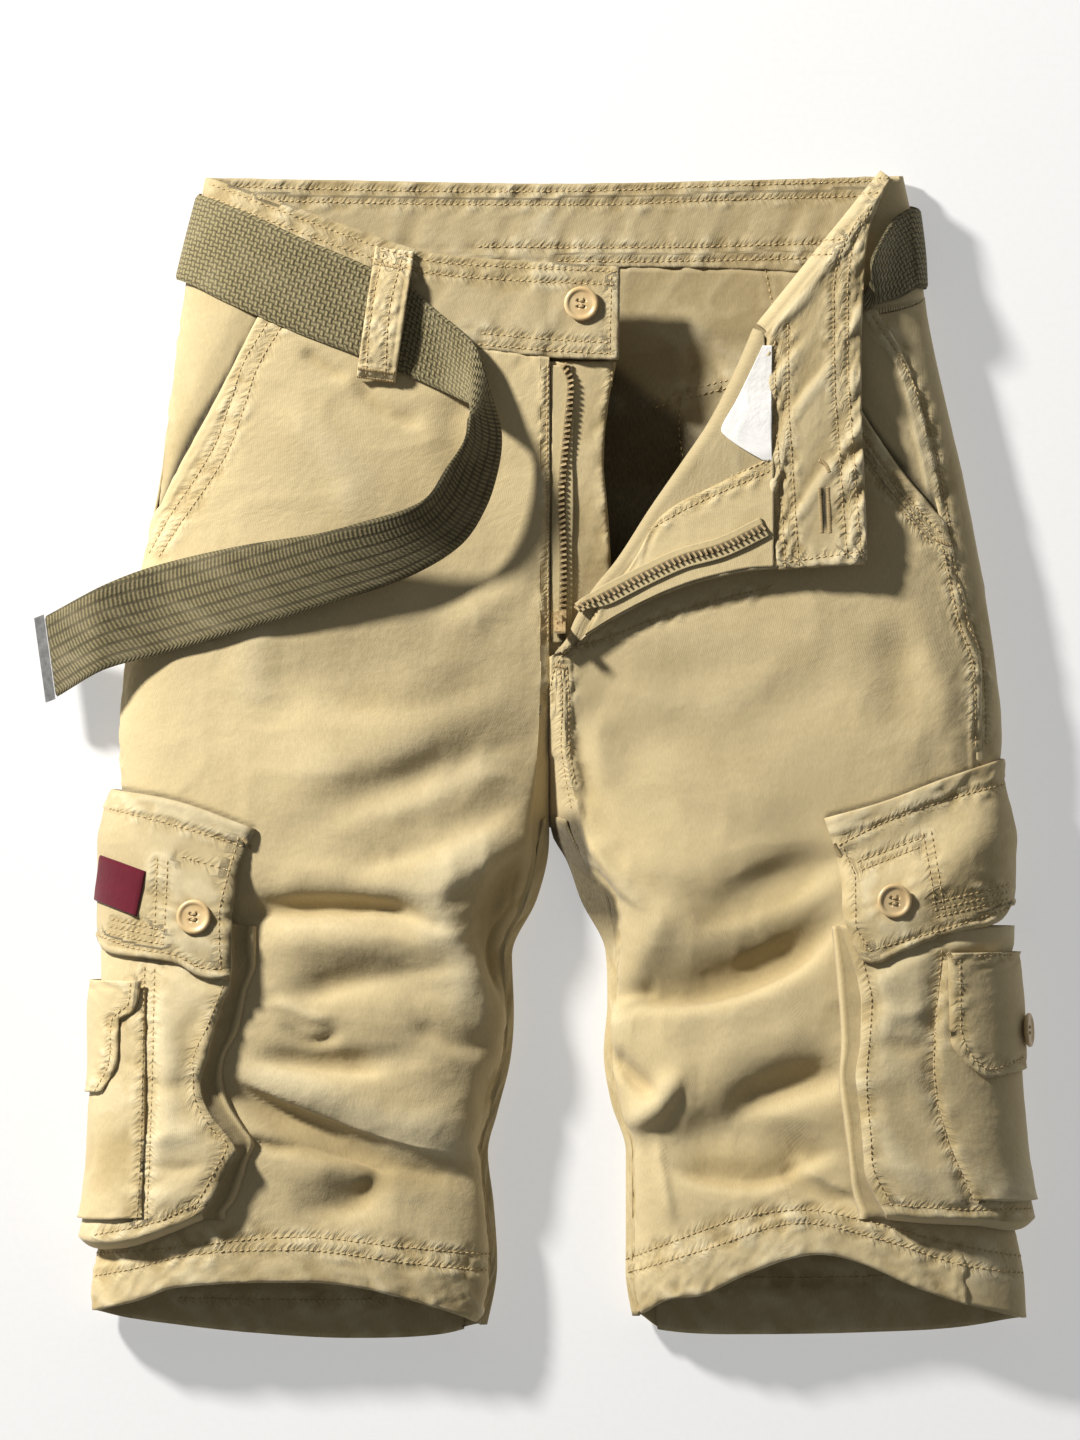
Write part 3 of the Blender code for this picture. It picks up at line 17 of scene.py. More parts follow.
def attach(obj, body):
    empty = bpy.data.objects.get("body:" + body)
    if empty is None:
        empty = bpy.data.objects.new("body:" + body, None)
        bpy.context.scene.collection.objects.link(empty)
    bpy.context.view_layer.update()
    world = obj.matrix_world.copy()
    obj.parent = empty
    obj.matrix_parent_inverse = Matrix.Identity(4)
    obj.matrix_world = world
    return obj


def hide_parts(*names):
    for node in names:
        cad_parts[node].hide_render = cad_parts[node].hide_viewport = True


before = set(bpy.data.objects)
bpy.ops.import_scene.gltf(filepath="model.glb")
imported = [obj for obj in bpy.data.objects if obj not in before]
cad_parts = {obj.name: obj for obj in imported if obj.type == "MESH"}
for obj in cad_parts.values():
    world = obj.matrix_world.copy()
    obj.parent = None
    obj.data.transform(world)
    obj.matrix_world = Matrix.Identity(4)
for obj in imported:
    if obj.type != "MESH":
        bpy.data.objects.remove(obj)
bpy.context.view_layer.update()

MM = 0.001
SEAT = 60.0  # origin above the crotch level
CLOTH = 1.6  # one layer of twill with its seams pressed
DOUBLE = 2.2  # a flap or a band: two layers
WEBBING = 2.2
GAP = 0.3  # between pieces that touch
LIE = 0.9  # between cloth that lies on other cloth
CREST = 0.45  # where a section is highest, as a share of its width from the outer side
ROUNDNESS = 2.5  # exponent of the sections' rounded shoulders
SIDE_ROLL = 22.0  # how far the side turns in under the garment
CROTCH_SEAM_Y = -3.0  # where the four panels meet
APEX_Y = -11.0  # the fold between the legs
SEAM_X = -3.0  # centre front and centre back
BELT_ROOM = WEBBING + GAP  # the back waist is lifted this far by the belt that lies under it

# ---------------------------------------------------------------- tables

# outer, edge and contour are x; crown, middle, lip and side are heights. From the outer side the section
# rises over the crown to the contour (height middle), then runs as a low shelf to the edge (height lip).
Section = namedtuple("Section", "y outer contour edge crown middle lip side")

LEFT_SECTIONS = [
    Section(345, -188, -8, -3, 30, 29, 28, 8),
    Section(300, -196, -8, -3, 38, 34, 33, 12),
    Section(260, -202, -8, -3, 42, 38, 37, 15),
    Section(221, -207, -8, -3, 44, 40, 39, 16),
    Section(167, -215, -8, -3, 46, 42, 41, 17),
    Section(113, -225, -8, -3, 48, 42, 40, 18),
    Section(70, -232, -8, -3, 49, 36, 33, 18),
    Section(38, -234, -9, -3, 50, 28, 20, 18),
    Section(5, -232, -11, -3, 51, 18, 7, 18),
    Section(-12, -231, -12, -3, 51, 14, 5, 18),
    Section(-27, -231, -13, -4, 51, 14, 7, 18),
    Section(-49, -231, -18, -10, 50, 16, 10, 18),
    Section(-78, -232, -29, -23, 50, 18, 14, 18),
    Section(-108, -232, -27, -22, 50, 18, 15, 18),
    Section(-135, -232, -29, -24, 50, 18, 15, 18),
    Section(-163, -234, -36, -31, 49, 18, 16, 18),
    Section(-184, -236, -41, -36, 48, 18, 16, 18),
    Section(-211, -240, -38, -33, 47, 18, 16, 18),
    Section(-244, -247, -36, -31, 46, 18, 16, 17),
    Section(-285, -250, -43, -38, 44, 18, 16, 17),
]
RIGHT_SECTIONS = [
    Section(345, 187, 3, -3, 30, 29, 28, 8),
    Section(300, 196, 3, -3, 38, 34, 33, 12),
    Section(276, 199, 3, -3, 40, 36, 35, 14),
    Section(248, 204, 3, -3, 42, 39, 38, 15),
    Section(208, 213, 3, -3, 44, 40, 39, 16),
    Section(167, 222, 3, -3, 46, 42, 41, 17),
    Section(113, 232, 3, -3, 48, 42, 40, 18),
    Section(70, 238, 3, -3, 49, 37, 33, 18),
    Section(38, 240, 5, -3, 50, 31, 20, 18),
    Section(5, 236, 10, -3, 51, 27, 7, 18),
    Section(-12, 234, 14, -2, 51, 24, 5, 18),
    Section(-27, 233, 19, 6, 51, 22, 7, 18),
    Section(-49, 233, 34, 14, 50, 20, 10, 18),
    Section(-76, 233, 35, 27, 50, 18, 13, 18),
    Section(-103, 233, 33, 28, 50, 18, 15, 18),
    Section(-130, 234, 31, 26, 50, 18, 15, 18),
    Section(-157, 235, 35, 30, 49, 18, 16, 18),
    Section(-184, 238, 43, 38, 48, 18, 16, 18),
    Section(-211, 244, 43, 38, 47, 18, 16, 18),
    Section(-248, 252, 43, 38, 46, 18, 16, 17),
    Section(-285, 254, 49, 44, 44, 18, 16, 17),
]

# A fold runs from x0, y0 past xm, ym to x1, y1; rise is its height above the plain surface.
Fold = namedtuple("Fold", "x0 y0 xm ym x1 y1 width rise")

LEFT_FOLDS = [
    Fold(-168, -55, -115, -51, -66, -60, 9, -6),
    Fold(-160, -74, -118, -70, -70, -78, 10, 3),
    Fold(-142, -98, -104, -94, -60, -95, 8, -3),
    Fold(-164, -132, -122, -137, -84, -134, 8, -4),
    Fold(-176, -143, -127, -165, -44, -188, 10, -7),
    Fold(-170, -160, -120, -184, -60, -200, 11, 3),
    Fold(-124, -208, -111, -204, -98, -212, 9, -5),
    Fold(-140, -12, -70, 18, -14, 36, 12, -3),
    Fold(-190, 60, -120, 70, -60, 92, 22, -4),
]
RIGHT_FOLDS = [
    Fold(95, -50, 120, -36, 148, -30, 9, -5),
    Fold(78, -97, 118, -84, 148, -58, 9, -5),
    Fold(100, -158, 128, -147, 152, -145, 9, -6),
    Fold(30, -128, 41, -142, 60, -158, 7, -4),
    Fold(68, -140, 55, -158, 42, -174, 8, 4),
    Fold(58, -180, 95, -172, 134, -184, 14, -8),
    Fold(130, -194, 148, -202, 166, -214, 8, -4),
    Fold(17, -12, 38, -31, 58, -52, 7, -4),
    Fold(40, 66, 100, 58, 160, 74, 22, -4),
]

Point = namedtuple("Point", "x y")


def through(*places):
    return [Point(*place) for place in places]


WAIST_SEAM_LEFT = through((-197, 285), (-170, 275), (-138, 266), (-111, 258), (-81, 251), (-35, 247),
                          (1, 243), (34, 242))
WAIST_TOP_LEFT = through((-187, 341), (-159, 331), (-127, 320), (-94, 308), (-73, 301), (-30, 296),
                         (3, 294), (35, 292))
WAIST_SEAM_RIGHT = through((112, 256), (140, 263), (169, 269), (199, 276))
WAIST_SEAM_BACK = through((-197, 285), (-160, 292), (0, 293), (120, 291), (199, 276))
WAIST_TOP_BACK = through((-187, 341), (-122, 340), (0, 338), (110, 340), (187, 342))
HEM_FRONT_LEFT = through((-249, -269), (-224, -263), (-204, -256), (-138, -253), (-110, -255),
                         (-84, -261), (-52, -271), (-38, -277))
HEM_BACK_LEFT = through((-249, -269), (-235, -273), (-202, -278), (-165, -282), (-110, -285),
                        (-62, -283), (-38, -277))
HEM_FRONT_RIGHT = through((44, -272), (60, -263), (79, -260), (100, -250), (127, -240), (142, -238),
                          (165, -243), (187, -253), (214, -263), (253, -273))
HEM_BACK_RIGHT = through((44, -272), (54, -280), (100, -283), (165, -282), (219, -279), (253, -273))
# Slant pocket mouths, the side seam where it shows, and the line on which the right front turns over.
MOUTH_LEFT = through((-217, 151), (-211, 167), (-182, 221), (-157, 270))
MOUTH_RIGHT = through((211, 153), (203, 162), (181, 189), (163, 217), (140, 264))
SIDE_SEAM_RIGHT = through((221, -290), (219, -100), (229, 27), (229, 76), (220, 113), (212, 146),
                          (208, 165), (200, 200), (190, 238), (170, 272))
TURN_LINE = through((0, 80), (9, 90), (14, 101), (24, 117), (36, 131), (55, 159), (73, 184),
                    (87.5, 205), (103, 235), (112, 256))
FLY_EDGE = through((0, 81), (9, 88), (24, 98), (40, 107), (57, 115), (73, 121), (88, 125), (103, 128),
                   (119, 129.5))
MOUTH_END_LEFT_Y = 152.0
MOUTH_END_RIGHT_Y = 154.0
TURN_LOW_Y = 80.0
TURN_ROOM = through((0, 3.6), (112, 10.0), (190, 10.0))  # between the layers, by x


# ---------------------------------------------------------------- curves and surface


def bell(off, wide):
    return np.exp(-(off / wide)**2)


def xyz(x, y, z):
    return np.stack(np.broadcast_arrays(x, y, z), -1)


def smooth(xs, ys, at):
    """A smooth curve through the points (xs, ys) with no overshoot, read at `at`."""
    order = np.argsort(xs)
    xs = np.asarray(xs, float)[order]
    ys = np.asarray(ys, float)[order]
    steps = np.diff(ys) / np.diff(xs)
    slopes = np.empty(len(xs))
    slopes[0], slopes[-1] = steps[0], steps[-1]
    same_way = steps[:-1] * steps[1:] > 0
    slopes[1:-1] = np.where(same_way, (steps[:-1] + steps[1:]) / 2, 0.0)
    limit = 3 * np.minimum(np.abs(steps[:-1]), np.abs(steps[1:]))
    slopes[1:-1] = np.clip(slopes[1:-1], -limit, limit)
    at = np.clip(np.asarray(at, float), xs[0], xs[-1])
    i = np.clip(np.searchsorted(xs, at) - 1, 0, len(xs) - 2)
    h = xs[i + 1] - xs[i]
    t = (at - xs[i]) / h
    return ((2 * t**3 - 3 * t**2 + 1) * ys[i] + (t**3 - 2 * t**2 + t) * h * slopes[i]
            + (3 * t**2 - 2 * t**3) * ys[i + 1] + (t**3 - t**2) * h * slopes[i + 1])


def line_y(line, x):
    return smooth([p.x for p in line], [p.y for p in line], x)


def line_x(line, y):
    return smooth([p.y for p in line], [p.x for p in line], y)


def run_of(points):
    """How far along its line each point lies."""
    return np.append(0, np.cumsum(np.linalg.norm(np.diff(points, axis=0), axis=1)))


def read_at(points, run, at):
    """The places at `at` on a smooth line through points that lie `run` along it."""
    return np.stack([smooth(run, points[:, k], at) for k in (0, 1)], -1)


def along(line, share):
    """The point at this share of a line's length."""
    points = np.array(line, float)
    run = run_of(points)
    return read_at(points, run / run[-1], share)


def step(value, low, high):
    t = np.clip((np.asarray(value, float) - low) / (high - low), 0, 1)
    return t * t * (3 - 2 * t)


def to_path(path, x, y):
    """The signed distance from a path, positive on its right as it runs, and the share of its run."""
    place = np.stack([x, y], -1)
    best = np.full(x.shape, 1e9)
    signed, run = np.zeros(x.shape), np.zeros(x.shape)
    for k, (start, way) in enumerate(zip(path[:-1], np.diff(path, axis=0))):
        offset = place - start
        part = np.clip(offset @ way / (way @ way), 0, 1)
        away = offset - part[..., None] * way
        square = (away**2).sum(-1)
        closer = square < best
        side = way[1] * away[..., 0] - way[0] * away[..., 1]
        best = np.where(closer, square, best)
        signed = np.where(closer, np.copysign(np.sqrt(square), side), signed)
        run = np.where(closer, (k + part) / (len(path) - 1), run)
    return signed, run


def near_path(path, reach, x, y):
    """Which points lie about a path, how far each lies from it, and the share of the run it lies at."""
    low, high = path.min(0) - reach, path.max(0) + reach
    near = (x > low[0]) & (x < high[0]) & (y > low[1]) & (y < high[1])
    return near, *to_path(path, x[near], y[near])


def fold_height(folds, x, y):
    x, y = np.broadcast_arrays(x, y)
    total = np.zeros(x.shape)
    share = np.linspace(0, 1, 13)[:, None]
    for fold in folds:
        first, middle, last = np.array([(fold.x0, fold.y0), (fold.xm, fold.ym), (fold.x1, fold.y1)], float)
        control = 2 * middle - (first + last) / 2
        path = (1 - share)**2 * first + 2 * share * (1 - share) * control + share**2 * last
        near, signed, run = near_path(path, 3 * fold.width, x, y)
        total[near] += fold.rise * np.sin(pi * (0.12 + 0.76 * run)) * bell(signed, fold.width)
    return total


class Half:
    """One half of the shorts: a surface read by place across (s) and level (y).

    s runs from -1, where the side meets the floor, by 0 at the widest point of the side, over the top to
    1 at the contour and 2 at the edge: the centre seam, or the inner side of the leg.
    """

    def __init__(self, sections, folds, inward):
        self.rows = sections
        self.folds = folds
        self.inward = inward  # +1 where inward is +x
        self.levels = [row.y for row in sections]

    def at(self, name, y):
        return smooth(self.levels, [getattr(row, name) for row in self.rows], y)

    def floor_lift(self, y):
        return BELT_ROOM * step(y, 244, 262)

    def point(self, s, y):
        s, y = np.broadcast_arrays(np.asarray(s, float), np.asarray(y, float))
        outer, contour, edge = self.at("outer", y), self.at("contour", y), self.at("edge", y)
        crown, middle, lip, side = (self.at(name, y) for name in ("crown", "middle", "lip", "side"))
        over = np.clip(s, 0, 1)
        out_k = np.cos(pi * np.minimum(over, 0.5))**(2 / ROUNDNESS)
        in_k = np.sin(pi * np.maximum(over - 0.5, 0))**(2 / ROUNDNESS)
        w = np.where(over < 0.5, CREST * (1 - out_k), CREST + (1 - CREST) * in_k)
        shoulder = np.clip(1 - np.clip(out_k, 0, 1)**ROUNDNESS, 0, 1)**(1 / ROUNDNESS)
        leg = step(-y, -45, 45)
        inner = leg * np.clip(1 - in_k**ROUNDNESS, 0, 1)**(1 / ROUNDNESS)
        inner = inner + (1 - leg) * np.cos(pi / 2 * in_k)**2
        z = np.where(over < 0.5, side + (crown - side) * shoulder, middle + (crown - middle) * inner)
        x = outer + (contour - outer) * w
        fade = step(over, 0.02, 0.2) * (1 - leg * step(over, 0.85, 1.0))
        z = z + fade * fold_height(self.folds, x, y)
        shelf = np.clip(s - 1, 0, 1)
        x = x + (edge - contour) * shelf
        z = z + (lip - middle) * shelf
        turn = np.clip(-s, 0, 1) * pi / 2
        x = x + self.inward * SIDE_ROLL * (1 - np.cos(turn))
        z = z + (self.floor_lift(y) - side) * np.sin(turn)
        return xyz(x, y, z)

    def normal(self, s, y):
        ds, dy = 0.004, 0.5
        across = self.point(s + ds, y) - self.point(s - ds, y)
        up = self.point(s, y + dy) - self.point(s, y - dy)
        n = np.cross(across, up) * self.inward
        return n / np.maximum(np.linalg.norm(n, axis=-1, keepdims=True), 1e-9)

    def raised(self, s, y, by):
        by = np.asarray(by, float)
        return self.point(s, y) + self.normal(s, y) * by[..., None]

    def place(self, x, y):
        """The s of the point x, y of the top."""
        x, y = np.broadcast_arrays(np.asarray(x, float), np.asarray(y, float))
        outer, contour, edge = self.at("outer", y), self.at("contour", y), self.at("edge", y)
        w = np.clip((x - outer) / (contour - outer), 0, 1)
        out_k = np.clip(1 - w / CREST, 0, 1)
        in_k = np.clip((w - CREST) / (1 - CREST), 0, 1)
        s_out = np.arccos(out_k**(ROUNDNESS / 2)) / pi
        s_in = 0.5 + np.arcsin(in_k**(ROUNDNESS / 2)) / pi
        shelf = np.clip((x - contour) / (edge - contour), 0, 1)
        return np.where(w < CREST, s_out, s_in) + shelf

    def place_over(self, x, y, by):
        """The s whose point, raised by `by`, has this x."""
        x, y, by = np.broadcast_arrays(*(np.asarray(value, float) for value in (x, y, by)))
        low, high = np.zeros(x.shape), np.ones(x.shape)
        for _ in range(20):
            s = (low + high) / 2
            past = (self.raised(s, y, by)[..., 0] - x) * self.inward > 0
            low, high = np.where(past, low, s), np.where(past, s, high)
        return (low + high) / 2

    def height(self, x, y):
        return self.point(self.place(x, y), y)[..., 2]

    def on_top(self, x, y, by):
        """The point over x, y at `by` above the surface, still above x, y."""
        return xyz(x, y, self.height(x, y) + by)


LEFT = Half(LEFT_SECTIONS, LEFT_FOLDS, 1)
RIGHT = Half(RIGHT_SECTIONS, RIGHT_FOLDS, -1)


# ---------------------------------------------------------------- relief of the cloth

DRAWN = 0.54  # millimetres in a step of the drawing grid, whose x runs right and y down
CROTCH = (555, 810)  # the crotch on that grid


def drawn(*places):
    """Places on the drawing grid as millimetres."""
    return (np.array(places, float) - CROTCH) * (DRAWN, -DRAWN)


# A crease runs on the drawing grid. Its rise, and how far it reaches to the left and to the right as it
# runs, are millimetres; with a rise below zero it is a hollow.
Crease = namedtuple("Crease", "line rise left right")

LEFT_CREASES = [
    Crease([(232, 930), (262, 912), (310, 909), (380, 909), (456, 934)], -2.9, 7, 3.0),
    Crease([(252, 898), (340, 890), (430, 898)], 1.6, 14, 7),
    Crease([(256, 930), (340, 926), (420, 945)], 1.3, 3, 11),
    Crease([(280, 1008), (330, 985), (400, 970), (480, 958)], -2.6, 12, 6),
    Crease([(268, 996), (305, 1010), (338, 1026)], 1.8, 5, 3),
    Crease([(280, 1016), (318, 1040), (348, 1024)], -1.8, 3, 4),
    Crease([(254, 1054), (310, 1064), (396, 1068)], -2.8, 9, 3.4),
    Crease([(200, 1056), (300, 1096), (400, 1138), (506, 1158)], 4.6, 20, 6),
    Crease([(214, 1078), (310, 1120), (404, 1160), (500, 1182)], -4.2, 5, 13),
    Crease([(247, 1136), (275, 1146), (300, 1152)], -2.2, 3.4, 2),
    Crease([(250, 1134), (310, 1146), (360, 1154), (378, 1174), (360, 1196), (290, 1208)], -3.2, 8, 6),
    Crease([(508, 1050), (486, 985), (452, 940), (437, 895), (470, 866), (520, 843), (550, 822)], 3.4, 20, 9),
    Crease([(514, 1020), (504, 960), (500, 915), (522, 872), (548, 842)], -6.0, 12, 13),
    Crease([(506, 1050), (498, 1100), (492, 1170)], -3.0, 9, 10),
    Crease([(352, 376), (380, 410), (430, 430)], -2.2, 6, 4),
    Crease([(300, 352), (330, 372), (352, 384)], -2.0, 4, 3),
    Crease([(270, 400), (340, 470), (360, 540)], 1.6, 14, 9),
    Crease([(470, 380), (455, 440), (470, 520)], -1.6, 12, 9),
    Crease([(300, 832), (425, 800), (540, 742)], 1.8, 12, 9),
    Crease([(330, 872), (430, 846), (536, 790)], -1.4, 9, 6),
    Crease([(268, 770), (380, 760), (470, 716)], 1.4, 14, 10),
    Crease([(300, 700), (400, 704), (520, 670)], -1.6, 12, 10),
    Crease([(476, 1140), (489, 1150), (500, 1172)], -1.8, 4, 3),
    Crease([(404, 1012), (450, 1040), (508, 1046)], -1.8, 8, 5),
    Crease([(245, 560), (258, 640), (246, 740)], 1.4, 14, 14),
    Crease([(540, 560), (500, 600), (430, 640)], 1.4, 10, 10),
]
RIGHT_CREASES = [
    Crease([(584, 827), (606, 862), (630, 893), (656, 915)], 3.0, 10, 4),
    Crease([(570, 850), (590, 885), (610, 932)], -3.6, 6, 6),
    Crease([(660, 934), (716, 914), (770, 897), (846, 842)], -3.1, 20, 8),
    Crease([(672, 876), (656, 930), (637, 965), (622, 1005), (612, 1064)], 2.6, 8, 10),
    Crease([(612, 700), (600, 740), (606, 800)], 1.4, 10, 6),
    Crease([(566, 700), (580, 760), (590, 812)], -2.0, 6, 4),
    Crease([(560, 770), (578, 800), (584, 830)], -1.8, 3, 5),
    Crease([(596, 1022), (640, 1000), (690, 996), (736, 985), (790, 960), (846, 900)], -6.2, 22, 5),
    Crease([(650, 1012), (720, 1004), (806, 964)], 2.2, 6, 16),
    Crease([(604, 1003), (636, 992), (656, 994)], -2.6, 6, 2.6),
    Crease([(716, 1118), (790, 1084), (856, 1066)], -3.0, 14, 8),
    Crease([(604, 1046), (630, 1076), (660, 1100)], -3.4, 6, 3.4),
    Crease([(678, 1064), (662, 1098), (620, 1129)], 2.6, 5, 9),
    Crease([(656, 1158), (700, 1172), (750, 1177), (800, 1160), (842, 1138)], -5.6, 16, 5),
    Crease([(786, 1150), (820, 1175), (858, 1194)], 2.4, 4, 3),
    Crease([(778, 1164), (815, 1188), (852, 1206)], -2.6, 3, 5),
    Crease([(655, 1128), (664, 1180), (674, 1226)], 1.6, 3, 4),
    Crease([(576, 760), (600, 830), (640, 880)], -2.0, 12, 9),
    Crease([(640, 740), (720, 800), (790, 810)], 1.6, 14, 12),
    Crease([(600, 700), (700, 706), (800, 660)], 1.6, 12, 14),
    Crease([(880, 620), (900, 680), (890, 750)], -1.8, 14, 12),
    Crease([(690, 1050), (760, 1040), (830, 1016)], 1.6, 12, 12),
    Crease([(900, 600), (930, 660), (950, 740)], 1.2, 8, 8),
]


def noise(x, y, size, seed):
    """Smooth heights between -1 and 1, with a lump every `size` millimetres."""
    table = np.random.default_rng(seed).uniform(-1, 1, (128, 128))
    u, v = np.asarray(x, float) / size + 40, np.asarray(y, float) / size + 40
    i, j = np.floor(u).astype(int), np.floor(v).astype(int)
    a, b = u - i, v - j
    a, b = a**3 * (a * (6 * a - 15) + 10), b**3 * (b * (6 * b - 15) + 10)
    near = table[i % 128, j % 128] * (1 - a) + table[(i + 1) % 128, j % 128] * a
    far = table[i % 128, (j + 1) % 128] * (1 - a) + table[(i + 1) % 128, (j + 1) % 128] * a
    return near * (1 - b) + far * b


def crumple(x, y, seed):
    """Soft swells with sharper ridges on them, as washed cotton lies."""
    bent_x = x + 9 * noise(x, y, 30, seed + 1)
    bent_y = y + 9 * noise(x, y, 30, seed + 2)
    swell = noise(x, y, 48, seed + 3) + 0.5 * noise(x, y, 23, seed + 4)
    ridge = 0.5 - np.abs(noise(bent_x, bent_y, 26, seed + 5)) * 1.6
    fine = 0.5 - np.abs(noise(bent_y, bent_x, 11, seed + 6)) * 1.6
    return 0.9 * swell + 0.55 * ridge + 0.22 * fine


def crease_height(creases, x, y):
    total = np.zeros(x.shape)
    for crease in creases:
        corners = drawn(*crease.line)
        run = run_of(corners)
        path = read_at(corners, run, np.linspace(0, run[-1], 19))
        near, signed, share = near_path(path, 3 * max(crease.left, crease.right), x, y)
        ends = step(share, 0, 0.28) * step(1 - share, 0, 0.28)
        total[near] += crease.rise * ends * bell(signed, np.where(signed > 0, crease.right, crease.left))
    return total


def length_over(points, axis):
    """Millimetres along a grid of points, from its first row or column."""
    steps = np.nan_to_num(np.linalg.norm(np.diff(points, axis=axis), axis=-1))
    lengths = np.cumsum(steps, axis=axis)
    return np.concatenate([np.zeros_like(np.take(lengths, [0], axis)), lengths], axis)


def lengths(points):
    return length_over(points, 1), length_over(points, 0)


def pucker(along, off, reach, rise, seed, wave=7.0):
    """The roping of a sewn edge: slanted lumps along it that die out `reach` from it."""
    lumps = noise(along + 0.7 * off, 0.3 * off, wave, seed)
    lumps += 0.5 * noise(along - 0.4 * off, off, wave * 0.5, seed + 1)
    return rise * lumps * bell(off, reach)


def hem(off, wide, rise):
    """The turned-in layers within `wide` of an edge, and the edge itself rolled down."""
    return rise * step(wide - off, -0.9, 0.9) - 0.8 * bell(off, 0.9)


def groove(off, at, deep, wide=0.9):
    """Where a row of stitches draws the cloth down."""
    return -deep * bell(off - at, wide)


# ---------------------------------------------------------------- meshes


def shown_as(name, data):
    """An object in the scene that shows this mesh, lamp or camera."""
    obj = bpy.data.objects.new(name, data)
    bpy.context.scene.collection.objects.link(obj)
    return obj


def note(mesh, name, values, kind="FLOAT"):
    """Keeps a value for each of the mesh's points."""
    field = "value" if kind == "FLOAT" else "vector"
    mesh.attributes.new(name, kind, "POINT").data.foreach_set(field, values)


def mesh_piece(name, points, faces, finish):
    """points are millimetres."""
    mesh = bpy.data.meshes.new(name)
    placed = (np.asarray(points, float) - (0, SEAT, 0)) * MM
    mesh.from_pydata(placed.tolist(), [], faces.tolist() if isinstance(faces, np.ndarray) else faces)
    mesh.materials.append(finish)
    mesh.shade_smooth()
    mesh.validate()
    return shown_as(name, mesh)


def outward(points, faces):
    """The four-cornered faces turned so that a closed mesh's faces point out."""
    a, b, c, d = (points[faces[:, k]] for k in range(4))
    volume = (a * np.cross(b, c)).sum() + (a * np.cross(c, d)).sum()
    return faces if volume > 0 else faces[:, ::-1]


def cloth(name, outer, inner, finish, wear_and_painted_shade=0.0, depth=1.0, dim=0.0):
    """A closed wall of cloth between two grids; where they hold NaN there is none.

    Its UV map runs along the cloth in centimetres; its wear value says where it is paled by wear (1) or
    darkened with painted shade (-1), and the two shade values how much painted shade darkens its outer and
    its inner face.
    """
    there = ~np.isnan(outer[..., 0])
    index = -np.ones(there.shape, int)
    index[there] = np.arange(there.sum())
    count = int(there.sum())
    corners = np.stack([index[:-1, :-1], index[:-1, 1:], index[1:, 1:], index[1:, :-1]], -1)
    quads = corners[(corners >= 0).all(-1)]
    sides = np.concatenate([quads[:, [k, (k + 1) % 4]] for k in range(4)])
    rim = sides[~np.isin(sides[:, 0] * count + sides[:, 1], sides[:, 1] * count + sides[:, 0])]
    rim = np.stack([rim[:, 1], rim[:, 0], rim[:, 0] + count, rim[:, 1] + count], -1)
    faces = np.concatenate([quads, quads[:, ::-1] + count, rim])
    points = np.concatenate([outer[there], inner[there]])
    obj = mesh_piece(name, points, outward(points, faces), finish)
    across, down = lengths(outer)
    run = np.tile(np.stack([across[there], down[there]], -1) / 10, (2, 1))
    corner = np.empty(len(obj.data.loops), int)
    obj.data.loops.foreach_get("vertex_index", corner)
    layer = obj.data.uv_layers.new(name="cloth")
    layer.data.foreach_set("uv", run[corner].ravel())
    # Painted shade: the outer face takes the shade it is given; the inner face is darkened in full unless
    # told otherwise, as the inside of the shorts lies in shade.
    shade_on_faces = [np.broadcast_to(grid, there.shape)[there] for grid in (dim, depth)]
    note(obj.data, "inside", np.concatenate(shade_on_faces))
    note(obj.data, "wear_and_painted_shade", np.tile(np.broadcast_to(wear_and_painted_shade, there.shape)[there], 2))
    return obj


Cut = namedtuple("Cut", "wide long area")


def measured(name, points):
    """Works out the lengths across and down this grid of cloth, in millimetres, and keeps nothing."""
    across, down = lengths(points)


def wear_and_shade_from(relief):
    """Ridges rub pale, partly wear and partly painted light, and hollows get painted shade."""
    return np.clip(relief / 0.9, -1, 1)


def laid_piece(name, half, s, y, under, thick, relief, finish, dim=0.0):
    """Cloth that follows the surface, its lower face `under` above it and its upper face in relief."""
    measured(name, half.raised(s, y, under + thick))
    outer = half.raised(s, y, under + thick + relief)
    inner = half.raised(s, y, under + 0 * relief)
    return cloth(name, outer, inner, finish, wear_and_shade_from(relief), dim=dim)


# ---------------------------------------------------------------- panels

INSEAM_S = 1.25  # the front's inner edge along the leg: a little past the contour
FRONT_ROWS = np.linspace(262, -262, 290)
BACK_ROWS = np.concatenate([np.linspace(290, -9, 98), np.linspace(-11, -262, 92)])
ACROSS = 125  # columns of a front, from its outer border to the contour
OVER_SHELF = 9
LEG_HEM = 24.0
FELLED = 7.5  # width of a felled side seam, and of a pocket mouth's hem


def bent(rows, top, low, reach):
    """The y of each point: rows bend to the waist line at their top and to the hem line at the bottom."""
    y = rows[:, None] + (top - rows[0]) * (1 - step(rows[0] - rows, 0, reach))[:, None]
    return y + (low - rows[-1]) * step(-rows, 60, 262)[:, None]


def front_grid(half, start, end, top_line, hem_line):
    rows = FRONT_ROWS[:, None]
    y = rows * np.ones(ACROSS + OVER_SHELF)
    inner = 2.0 - (2.0 - INSEAM_S) * step(CROTCH_SEAM_Y - rows, 0, 17)
    shelf = np.linspace(0, 1, OVER_SHELF + 1)[1:]
    for _ in range(4):
        first, last = start(y[:, :1]), end(y[:, ACROSS - 1:ACROSS])
        share, short = np.linspace(0, 1, ACROSS), 1 - last
        power = np.clip(0.6 * (1 - first) / np.maximum(short, 0.01), 1, 8)
        main = first + (1 - first) * share - short * share**power
        s = np.concatenate([main, last + (inner - last) * shelf], axis=1)
        top, low = (half.point(s[row], y[row])[:, 0] for row in (0, -1))
        y = bent(FRONT_ROWS, line_y(top_line, top), line_y(hem_line, low), 105)
    return s, y


